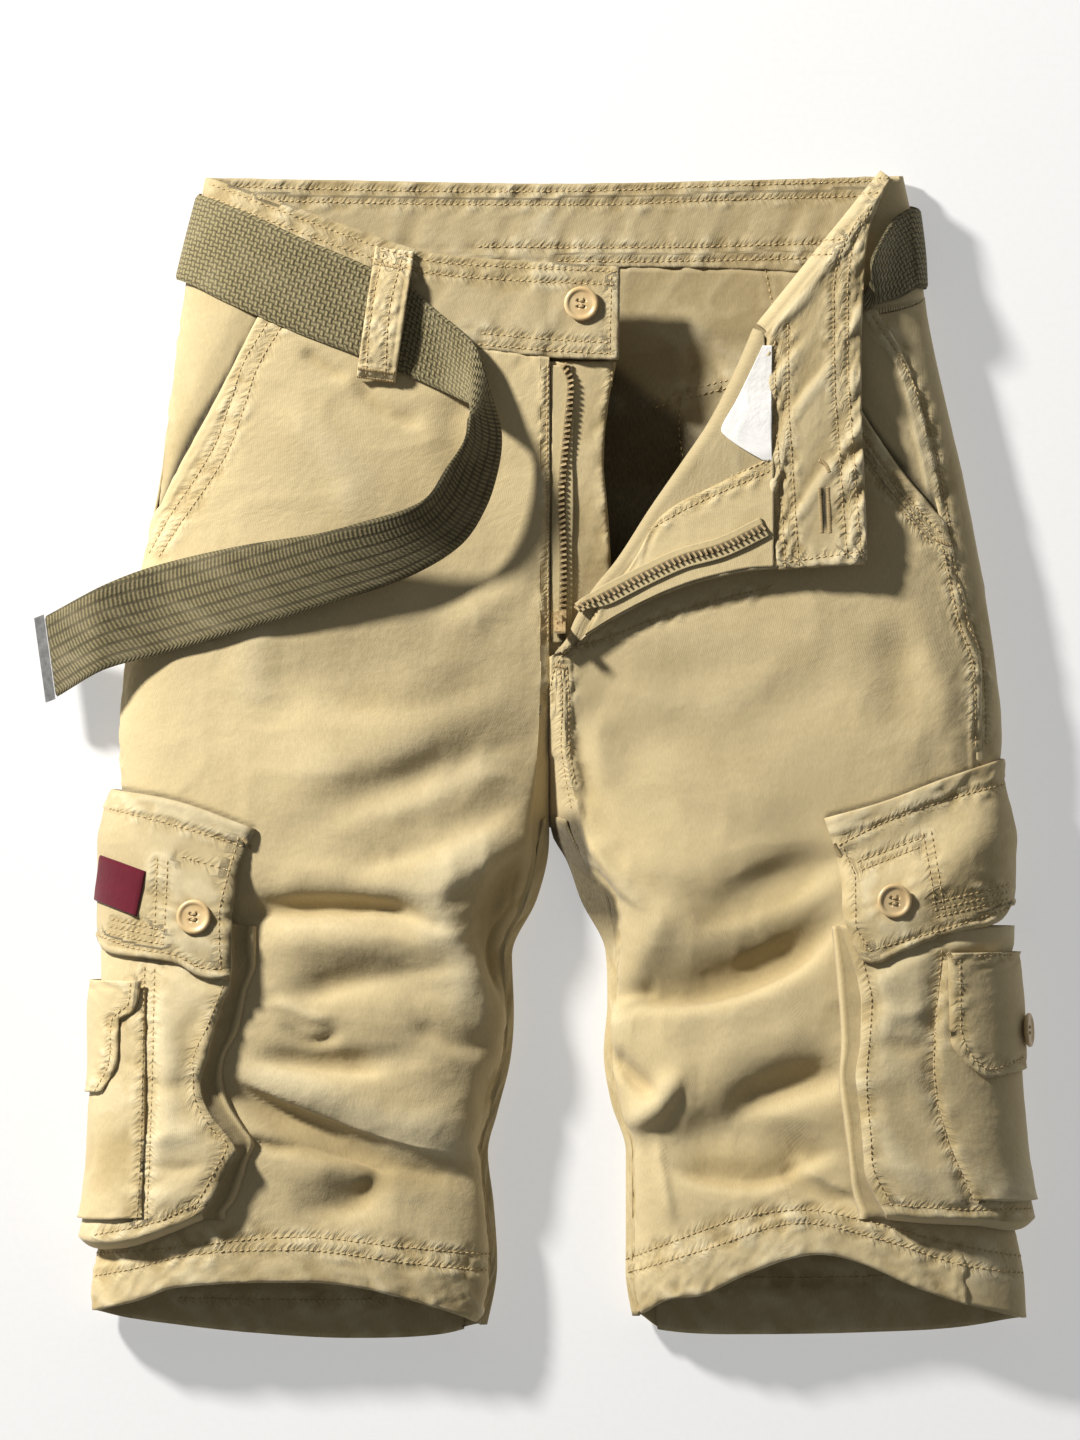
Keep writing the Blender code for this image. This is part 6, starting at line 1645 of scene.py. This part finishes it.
def repeat_tree(name, tooth):
    """Geometry nodes that set one small shape at every pitch along a path, lying on the cloth."""
    tree = bpy.data.node_groups.new(name, "GeometryNodeTree")
    for title, kind in (("Path", "Geometry"), ("Pitch", "Float"), ("Length", "Float"), ("Width", "Float"),
                        ("Height", "Float"), ("Slant", "Float"), ("Finish", "Material")):
        tree.interface.new_socket(title, in_out="INPUT", socket_type="NodeSocket" + kind)
    tree.interface.new_socket("Pieces", in_out="OUTPUT", socket_type="NodeSocketGeometry")
    graph = Graph(tree)
    given = graph.nodes.new("NodeGroupInput").outputs
    curve = graph.add("GeometryNodeMeshToCurve", Mesh=given["Path"])
    spaced = graph.add("GeometryNodeResampleCurve", mode="LENGTH", Curve=curve, Length=given["Pitch"])
    if tooth:
        shape = graph.add("GeometryNodeMeshCube", Size=(2, 2, 2))
    else:
        shape = graph.add("GeometryNodeMeshIcoSphere", Subdivisions=1)
    along_path = graph.add("GeometryNodeInputTangent")
    out_of_cloth = graph.add("GeometryNodeInputNamedAttribute", "Attribute", data_type="FLOAT_VECTOR",
                             Name="outward")
    lying = graph.add("FunctionNodeAlignRotationToVector", axis="X", Vector=along_path)
    lying = graph.add("FunctionNodeAlignRotationToVector", axis="Z", pivot_axis="X", Rotation=lying,
                      Vector=out_of_cloth)
    wander = graph.nodes.new("FunctionNodeRandomValue")
    wander.data_type = "FLOAT"
    for socket, value in ((2, -0.14), (3, 0.14), ("Seed", 7)):
        graph.give(wander, socket, value)
    slant = graph.add("ShaderNodeCombineXYZ", Z=graph.maths("ADD", wander.outputs[1], given["Slant"]))
    lying = graph.add("FunctionNodeRotateRotation", rotation_space="LOCAL", Rotation=lying, Rotate_By=slant)
    half = [graph.maths("MULTIPLY", given[title], 0.5) for title in ("Length", "Width", "Height")]
    size = graph.add("ShaderNodeCombineXYZ", X=half[0], Y=half[1], Z=half[2])
    placed = graph.add("GeometryNodeInstanceOnPoints", Points=spaced, Instance=shape, Rotation=lying,
                       Scale=size)
    real = graph.add("GeometryNodeRealizeInstances", Geometry=placed)
    rounded = graph.add("GeometryNodeSetShadeSmooth", Geometry=real, Shade_Smooth=not tooth)
    finished = graph.add("GeometryNodeSetMaterial", Geometry=rounded, Material=given["Finish"])
    graph.give(graph.nodes.new("NodeGroupOutput"), "Pieces", finished)
    return tree


def repeated(name, tree, path, sizes, finish):
    """The tree's shapes along this path, as a plain mesh."""
    modifier = path.modifiers.new("repeat", "NODES")
    modifier.node_group = tree
    given = {item.name: item.identifier for item in tree.interface.items_tree if item.in_out == "INPUT"}
    for size, value in sizes.items():
        modifier[given[size]] = value
    modifier[given["Finish"]] = finish
    mesh = bpy.data.meshes.new_from_object(path.evaluated_get(bpy.context.evaluated_depsgraph_get()))
    path.modifiers.clear()
    bpy.data.objects.remove(path, do_unlink=True)
    return shown_as(name, mesh)


STITCH = {"Pitch": 3.4 * MM, "Length": 2.7 * MM, "Width": 0.95 * MM, "Height": 0.8 * MM, "Slant": 0.16}
TOOTH = {"Pitch": 3.0 * MM, "Length": 1.2 * MM, "Width": 3.4 * MM, "Height": 2.0 * MM, "Slant": 0.3}
BAR = {"Pitch": 0.8 * MM, "Length": 0.8 * MM, "Width": 2.6 * MM, "Height": 0.9 * MM, "Slant": 0.2}


# ---------------------------------------------------------------- finishes


def new_finish(name):
    made = bpy.data.materials.new(name)
    made.use_nodes = True
    return made, Graph(made.node_tree)


def cloth_finish(name, colour, pale, shade, wale=0.09):
    """Washed cotton: a slanted weave, slubby thread, mottled dye, seams paled by wear, and the painted light
    and shade that the mesh carries.
    """
    made, graph = new_finish(name)
    place = graph.add("ShaderNodeUVMap", uv_map="cloth")
    turned_place = graph.add("ShaderNodeMapping", Rotation=(0, 0, np.radians(28)), Vector=place)
    rib = graph.add("ShaderNodeTexWave", "Fac", Scale=0.314 / wale, Distortion=1.2, Detail=2.0,
                    Detail_Scale=1.5, Vector=turned_place)
    slub = graph.noise(graph.add("ShaderNodeMapping", Scale=(14, 3, 1), Vector=place), 1.0, 3.0)
    mottle = graph.noise(place, 0.22, 5.0, 0.62)
    crinkle = graph.noise(place, 1.9, 4.0, 0.6)
    patch = graph.maths("MULTIPLY", graph.ramped(mottle, 0.60, 0.30), 0.16)
    dyed = graph.mixed(patch, colour, shade)
    # The mesh's wear value with a little noise: paled by wear and painted light where above 0, painted shade
    # where below 0.
    rubbed_and_shaded = graph.maths("ADD", graph.attribute("wear_and_painted_shade"), graph.maths("MULTIPLY_ADD", crinkle, 0.5, -0.25))

    seam = graph.attribute("seam")
    ladder = graph.maths("MULTIPLY_ADD", seam, 2.2, graph.maths("MULTIPLY", graph.attribute("run"), 0.44))
    rope = graph.noise(graph.add("ShaderNodeCombineXYZ", X=ladder, Y=seam), 1.0, 1.0)
    close = graph.maths("POWER", seam, 1.6)
    roped = graph.maths("MULTIPLY", graph.maths("SUBTRACT", rope, 0.5), close)
    # The seams' roping is painted in as well: paler on its ridges, painted shade in its hollows.
    rubbed_and_shaded = graph.maths("MULTIPLY_ADD", roped, 2.6, rubbed_and_shaded)
    dyed = graph.mixed(graph.maths("MULTIPLY", graph.ramped(rubbed_and_shaded, 0.25, 1.0), 0.42), dyed, pale)
    dyed = graph.mixed(graph.maths("MULTIPLY", graph.ramped(rubbed_and_shaded, -0.2, -1.0), 0.6), dyed, shade)

    yarn_and_painted_shade = graph.maths("MULTIPLY_ADD", slub, 0.30, 0.85)
    yarn_and_painted_shade = graph.maths("ADD", yarn_and_painted_shade, graph.maths("MULTIPLY_ADD", rib, 0.06, -0.03))
    # Painted shade: the mesh's inside value darkens the colour where the cloth lies in shade.
    yarn_and_painted_shade = graph.maths("MULTIPLY_ADD", graph.attribute("inside"), -0.26, yarn_and_painted_shade)
    bright = graph.add("ShaderNodeCombineColor", Red=yarn_and_painted_shade, Green=yarn_and_painted_shade, Blue=yarn_and_painted_shade)
    weave = graph.bump(graph.maths("MULTIPLY_ADD", slub, 0.5, rib), 0.25, 0.00012)
    soft = graph.bump(crinkle, 0.6, 0.0006, Normal=weave)
    graph.shade(Base_Color=graph.mixed(1.0, dyed, bright, "MULTIPLY"),
                Normal=graph.bump(roped, 1.0, 0.0017, Normal=soft),
                Roughness=0.92, Specular_IOR_Level=0.2, Sheen_Weight=0.12, Sheen_Roughness=0.6)
    return made


def webbing_finish(name, colour, pale, dark):
    """Cotton webbing: a dotted basket weave on its face, slanted ribs on its reverse."""
    made, graph = new_finish(name)
    place = graph.add("ShaderNodeUVMap", uv_map="cloth")
    wave = "ShaderNodeTexWave"
    check = graph.add("ShaderNodeTexChecker", "Fac", Scale=3.6, Vector=place)
    warp = graph.add(wave, "Color", Scale=1.13, Distortion=0.5, Vector=place)
    weft = graph.add(wave, "Color", Scale=1.13, Distortion=0.5, bands_direction="Y", Vector=place)
    slant = graph.add(wave, "Fac", Scale=2.7, Distortion=0.7, Detail=1.0, bands_direction="DIAGONAL",
                      Vector=place)
    cord = graph.add(wave, "Fac", Scale=0.5, Distortion=0.3, Vector=place)
    lines = graph.maths("MULTIPLY_ADD", graph.ramped(cord, 0.0, 0.35), 0.6, 0.4)
    ribs = graph.maths("MULTIPLY", graph.maths("MULTIPLY_ADD", slant, 0.6, 0.2), lines)
    reverse = graph.attribute("reverse")
    level = graph.mixed(reverse, graph.mixed(check, warp, weft), ribs)
    flat = graph.add("ShaderNodeRGBToBW", Color=level)
    raised = graph.maths("MULTIPLY_ADD", graph.noise(place, 5.0, 4.0), 0.5, flat)
    # Painted shade: the strap is drawn darker where its reverse shows, on the free end.
    raised = graph.maths("MULTIPLY_ADD", reverse, -0.2, raised)
    base = graph.mixed(graph.ramped(raised, 0.25, 0.95), dark, colour)
    dusty = graph.ramped(graph.noise(place, 0.5, 4.0), 0.45, 0.8)
    base = graph.mixed(graph.maths("MULTIPLY", dusty, 0.35), base, pale)
    graph.shade(Base_Color=base, Normal=graph.bump(raised, 0.9, 0.0006), Roughness=0.85, Sheen_Weight=0.1)
    return made


def hard_finish(name, colour, other, rough, grain, metal=0.0, coat=0.0):
    """Metal or resin with a mottled tone, fine scuffs and uneven polish."""
    made, graph = new_finish(name)
    place = graph.add("ShaderNodeTexCoord", "Object")
    tone = graph.ramped(graph.noise(place, grain, 4.0), 0.35, 0.7)
    scuff = graph.noise(place, grain * 6, 2.0)
    graph.shade(Base_Color=graph.mixed(tone, colour, other),
                Roughness=graph.maths("MULTIPLY_ADD", scuff, 0.25, rough - 0.12),
                Normal=graph.bump(scuff, 0.15, 0.0002), Metallic=metal, Coat_Weight=coat)
    return made


def floor_finish():
    made, graph = new_finish("pale_floor")
    grain = graph.noise(graph.add("ShaderNodeTexCoord", "Object"), 300.0, 3.0)
    graph.shade(Base_Color=graph.mixed(grain, (0.48, 0.48, 0.48), (0.52, 0.52, 0.52)), Roughness=0.9,
                Specular_IOR_Level=0.0, Emission_Color=(1.0, 0.995, 0.985, 1), Emission_Strength=0.42)
    return made


# ---------------------------------------------------------------- rows of stitches, on the drawing grid

LEG_ROWS = [
    [(99, 1251), (140, 1248), (200, 1241), (300, 1233), (400, 1243), (490, 1252)],
    [(98, 1273), (140, 1264), (190, 1251), (300, 1246), (400, 1258), (486, 1268)],
    [(271, 322), (245, 366), (233, 402), (217, 446), (199, 477), (170, 520), (152, 552)],
    [(285, 326), (259, 370), (247, 406), (231, 450), (211, 484), (180, 528), (162, 556)],
    [(548, 368), (547, 440), (548, 520), (548, 640)],
    [(627, 1257), (665, 1241), (745, 1213), (800, 1206), (860, 1216), (940, 1238), (1024, 1255)],
    [(629, 1270), (700, 1247), (800, 1219), (880, 1236), (960, 1261), (1024, 1271)],
    [(807, 330), (848, 413), (880, 466), (920, 516), (936, 532)],
    [(797, 336), (838, 420), (870, 474), (910, 524), (928, 543)],
    [(861, 455), (890, 490), (920, 526), (948, 560)],
    [(872, 320), (906, 374), (928, 430), (944, 510), (948, 534)],
    [(950, 556), (965, 620), (981, 668), (984, 742)],
    [(941, 552), (956, 622), (971, 670), (973, 744)],
    [(560, 665), (562, 700), (561, 742), (566, 780), (571, 806)],
    [(567, 672), (569, 704), (569, 745), (575, 782)],
    [(548, 712), (555, 668), (566, 652), (600, 641), (662, 617), (768, 588)],
]
BAND_ROWS = [
    [(214, 187), (280, 213), (360, 243), (400, 257), (440, 265), (500, 269), (614, 274)],
    [(214, 200), (280, 227), (352, 254), (420, 274), (500, 282), (612, 287)],
    [(484, 336), (540, 341), (606, 345)],
    [(480, 347), (540, 352), (612, 356)],
    [(611, 274), (609, 356)],
    [(236, 187), (400, 191), (500, 192), (600, 191), (700, 187), (885, 181)],
    [(262, 201), (400, 204), (500, 205), (600, 205), (700, 201), (874, 196)],
    [(480, 247), (600, 248), (700, 247), (842, 243)],
    [(560, 261), (620, 262), (700, 261), (828, 258)],
    [(868, 212), (852, 245), (845, 300), (846, 390), (851, 460), (855, 520), (858, 558)],
    [(856, 222), (839, 254), (831, 300), (832, 390), (837, 460), (841, 520), (844, 558)],
    [(773, 346), (773, 400), (777, 470), (780, 520), (783, 567)],
    [(786, 330), (786, 400), (790, 470), (793, 520), (796, 565)],
    [(782, 564), (860, 553)],
    [(384, 258), (373, 310), (367, 384)],
    [(402, 264), (391, 310), (386, 386)],
]
POCKET_ROWS = [
    [(113, 808), (200, 831), (244, 845)],
    [(101, 934), (140, 947), (180, 953), (205, 965), (224, 966)],
    [(241, 838), (229, 880), (223, 905), (222, 930), (224, 966)],
    [(161, 858), (158, 926)],
    [(171, 861), (168, 928)],
    [(116, 918), (166, 928)],
    [(114, 925), (166, 935)],
    [(112, 932), (166, 942)],
    [(186, 856), (228, 868)],
    [(832, 846), (880, 822), (952, 797), (1005, 783)],
    [(868, 948), (902, 938), (942, 927), (1006, 907)],
    [(841, 848), (852, 880), (852, 920), (866, 947)],
    [(856, 860), (920, 836)],
    [(860, 868), (914, 847)],
    [(920, 834), (932, 908)],
    [(928, 832), (940, 906)],
    [(932, 908), (1004, 891)],
    [(930, 901), (1004, 884)],
    [(934, 915), (1004, 898)],
    [(226, 984), (211, 1022), (196, 1060), (197, 1090), (214, 1124), (230, 1141), (220, 1162), (209, 1183),
     (198, 1202)],
    [(99, 1231), (160, 1217), (196, 1201)],
    [(148, 966), (146, 1060), (144, 1150), (140, 1222)],
    [(158, 968), (156, 1060), (153, 1150), (150, 1220)],
    [(134, 982), (132, 1000), (115, 1018), (112, 1060), (98, 1088)],
    [(860, 960), (868, 1000), (863, 1080), (867, 1130), (870, 1165), (888, 1200)],
    [(888, 1200), (960, 1205), (1028, 1206)],
    [(938, 950), (930, 1060), (945, 1140), (970, 1194)],
    [(956, 958), (957, 1026), (987, 1066), (1020, 1056)],
    [(976, 954), (1008, 953)],
]
FLY_ROWS = [
    [(640, 536), (690, 508), (766, 474)],
    [(632, 529), (684, 499), (766, 463)],
    [(582, 649), (604, 634), (660, 614), (766, 586)],
    [(612, 368), (610, 440), (611, 540)],
]
BARS = [
    [(357, 379), (394, 384)],
    [(358, 371), (395, 376)],
    [(373, 266), (403, 272)],
    [(934, 541), (950, 547)],
    [(246, 838), (254, 847)],
    [(831, 843), (838, 855)],
    [(944, 951), (951, 960)],
    [(817, 490), (819, 534)],
    [(825, 490), (827, 534)],
    [(817, 463), (823, 467), (826, 474)],
    [(556, 666), (566, 668)],
]
INNER_ROWS = [
    [(655, 399), (700, 387), (738, 378)],
    [(657, 407), (700, 395), (736, 386)],
    [(680, 396), (679, 430), (684, 462)],
    [(765, 269), (775, 318)],
    [(180, 1298), (300, 1300), (420, 1298)],
    [(700, 1276), (800, 1278), (900, 1275)],
]


# ---------------------------------------------------------------- the whole


def dress(piece, node):
    """Cloth rides on the shorts and stands for its solid."""
    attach(piece, "shorts")
    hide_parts(node)


def build():
    twill = cloth_finish("khaki_twill_washed", (0.58, 0.47, 0.26), (0.78, 0.69, 0.46), (0.38, 0.28, 0.12))
    band = cloth_finish("khaki_twill_waist", (0.59, 0.48, 0.27), (0.80, 0.71, 0.48), (0.38, 0.28, 0.12))
    cotton = cloth_finish("pocket_cotton_white", (0.86, 0.85, 0.82), (0.92, 0.92, 0.90), (0.70, 0.68, 0.64),
                          0.06)
    # The zip tape's shade colour is near black: it draws the painted shade among the teeth.
    tape_cloth = cloth_finish("zip_tape_tan", (0.54, 0.44, 0.24), (0.66, 0.56, 0.36), (0.07, 0.045, 0.018),
                              0.07)
    woven = cloth_finish("label_weave_burgundy", (0.092, 0.002, 0.010), (0.15, 0.008, 0.022),
                         (0.045, 0.001, 0.005), 0.05)
    olive = webbing_finish("olive_cotton_webbing", (0.26, 0.215, 0.10), (0.34, 0.29, 0.17),
                           (0.06, 0.048, 0.019))
    thread = hard_finish("khaki_thread", (0.56, 0.43, 0.23), (0.38, 0.28, 0.13), 0.85, 900)
    resin = hard_finish("button_resin_tan", (0.60, 0.42, 0.20), (0.72, 0.55, 0.30), 0.38, 160, coat=0.2)
    brass = hard_finish("brass_antique", (0.74, 0.57, 0.31), (0.38, 0.26, 0.12), 0.42, 700, metal=0.35)
    steel = hard_finish("steel_brushed", (0.62, 0.62, 0.60), (0.38, 0.38, 0.37), 0.36, 300, metal=0.95)

    right_rows = bent(BACK_ROWS, line_y(WAIST_SEAM_RIGHT, 170.0), -280.0, 110)[:, 0]
    right_rows = np.append(right_rows[right_rows > 161], 161)
    made = {
        "front_left": front_panel_left(twill),
        "front_right": front_panel_right(twill),
        "back_left": back_panel("back_panel_left", LEFT, HEM_BACK_LEFT, 0, 201, twill),
        "back_right": back_panel("back_panel_right", RIGHT, HEM_BACK_RIGHT, 20, 221, twill),
        "pocket_facing_left": mouth_facing("mouth_facing_left", LEFT, MOUTH_LEFT,
                                           lambda y: LEFT.at("outer", y), np.linspace(285, 160, 90),
                                           WAIST_SEAM_LEFT, 241, twill),
        "pocket_facing_right": mouth_facing("mouth_facing_right", RIGHT, MOUTH_RIGHT,
                                            lambda y: line_x(SIDE_SEAM_RIGHT, y), right_rows,
                                            WAIST_SEAM_RIGHT, 251, twill),
        "waistband_front_left": waistband_left(band),
        "waistband_back": waistband_rear(band),
        "waistband_front_right": waistband_right(band),
        "fly_shield": shield_piece(twill),
        "fly_facing_right": facing_piece(twill),
        "pocket_bag": bag_piece(cotton),
        "zip_tape_left": tape_left(tape_cloth),
        "zip_tape_right": tape_right(tape_cloth),
    }
    for node, make, seed_left, seed_right in (("cargo_pocket", pocket_body, 101, 111),
                                              ("cargo_flap", pocket_flap, 121, 131),
                                              ("side_pocket", side_pocket, 141, 145),
                                              ("side_flap", side_flap, 147, 149)):
        made[node + "_left"] = make(node + "_left_cloth", CARGO_LEFT, seed_left, twill)
        made[node + "_right"] = make(node + "_right_cloth", CARGO_RIGHT, seed_right, twill)
    made["brand_label_plain"] = woven_label(woven)
    made["belt_loop"] = loop_for_belt(band)
    made["belt_strap"] = strap_piece(olive)
    made["belt_back"] = rear_piece(olive)

    stitches = repeat_tree("stitches_along", False)
    on_legs = ["front_left", "front_right", "back_right", "pocket_facing_left", "pocket_facing_right"]
    on_bands = ["waistband_front_left", "waistband_back", "waistband_front_right", "belt_loop"]
    on_pockets = [node + side for node in ("cargo_pocket", "cargo_flap", "side_pocket", "side_flap")
                  for side in ("_left", "_right")]
    for name, nodes, lines in (("stitches_legs", on_legs, LEG_ROWS),
                               ("stitches_bands", on_bands, BAND_ROWS),
                               ("stitches_pockets", on_pockets, POCKET_ROWS),
                               ("stitches_fly", ["fly_facing_right", "fly_shield"], FLY_ROWS),
                               ("stitches_inside", ["back_left", "back_right"], INNER_ROWS),
                               ("bar_tacks", on_legs + on_bands + on_pockets, BARS)):
        pieces = [made[node] for node in nodes]
        if lines is not BARS:
            sew_in(pieces, lines, 401)
        rows = repeated(name, stitches, dropped(pieces, lines), BAR if lines is BARS else STITCH, thread)
        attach(rows, "shorts")
    teeth = repeat_tree("teeth_along", True)
    for side, line in (("left", CHAIN_LEFT), ("right", CHAIN_RIGHT)):
        steps = [(CROTCH[0] + place.x / DRAWN, CROTCH[1] - place.y / DRAWN) for place in line]
        path = dropped([made["zip_tape_" + side]], [steps], 0.5)
        chain = repeated("zip_teeth_" + side, teeth, path, TOOTH, brass)
        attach(chain, "shorts")
    for node, piece in made.items():
        dress(piece, node)

    spots = {"waist_button": (LEFT.on_top(14.0, 272.0, 1.4), (0, 0, 1))}
    for node, cargo in (("cargo_button_left", CARGO_LEFT), ("cargo_button_right", CARGO_RIGHT)):
        half, (x, y) = cargo.half, cargo.button
        s = half.place_over(x, y, pocket_rise(0.5, y) + ON_POCKET + 0.6)
        rise = pocket_rise(s, y) + ON_POCKET + cargo.button_clear + 0.3
        spots[node] = (half.raised(s, y, rise), half.normal(s, y))
    rise = POCKET_DEPTH + CLOTH + 2 * LIE + SMALL_PUFF + SMALL_FLAP + 0.6
    spots["side_button_right"] = (RIGHT.raised(0.04, -119.0, rise), RIGHT.normal(0.04, -119.0))
    for node, (centre, axis) in spots.items():
        for piece in sewn_button(node + "_turned", centre, axis, thread, resin):
            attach(piece, "shorts")
            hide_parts(node)
    for node, finish in (("zip_slider", brass), ("zip_pull", brass), ("belt_tip", steel),
                         ("belt_buckle", steel)):
        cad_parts[node].material_slots[0].material = finish


LAMP_WAY = (-0.68, 0.58, 0.51)  # from high on the left, beyond the waist
LAMP_FAR = 2.8
CAMERA_FAR = 6.0
FILM_WIDE = 36
DRAWING = (1080, 1440)  # steps of the drawing grid that the camera takes in


def light_and_camera():
    scene = bpy.context.scene
    corners = [(-2500, -2500, -0.2), (2500, -2500, -0.2), (2500, 2500, -0.2), (-2500, 2500, -0.2)]
    mesh_piece("floor", corners, [(0, 1, 2, 3)], floor_finish())
    scene.world = bpy.data.worlds.new("studio")
    scene.world.use_nodes = True
    sky = scene.world.node_tree.nodes["Background"]
    sky.inputs["Color"].default_value = (0.95, 0.97, 1.0, 1)
    sky.inputs["Strength"].default_value = 0.16
    lamp = bpy.data.lights.new("window", "AREA")
    lamp.shape = "DISK"
    lamp.size = 0.30
    lamp.energy = 146.0
    lamp.color = (1.0, 0.97, 0.93)
    window = shown_as("window", lamp)
    window.location = Vector(LAMP_WAY).normalized() * LAMP_FAR
    window.rotation_euler = (-window.location).to_track_quat("-Z", "Y").to_euler()
    lens = bpy.data.cameras.new("overhead")
    lens.lens = FILM_WIDE * CAMERA_FAR / (DRAWING[1] * DRAWN * MM)
    camera = shown_as("overhead", lens)
    x, y = drawn((DRAWING[0] / 2, DRAWING[1] / 2))[0]
    camera.location = (x * MM, (y - SEAT) * MM, CAMERA_FAR)
    scene.camera = camera
    scene.view_settings.view_transform = "Standard"


build()
light_and_camera()
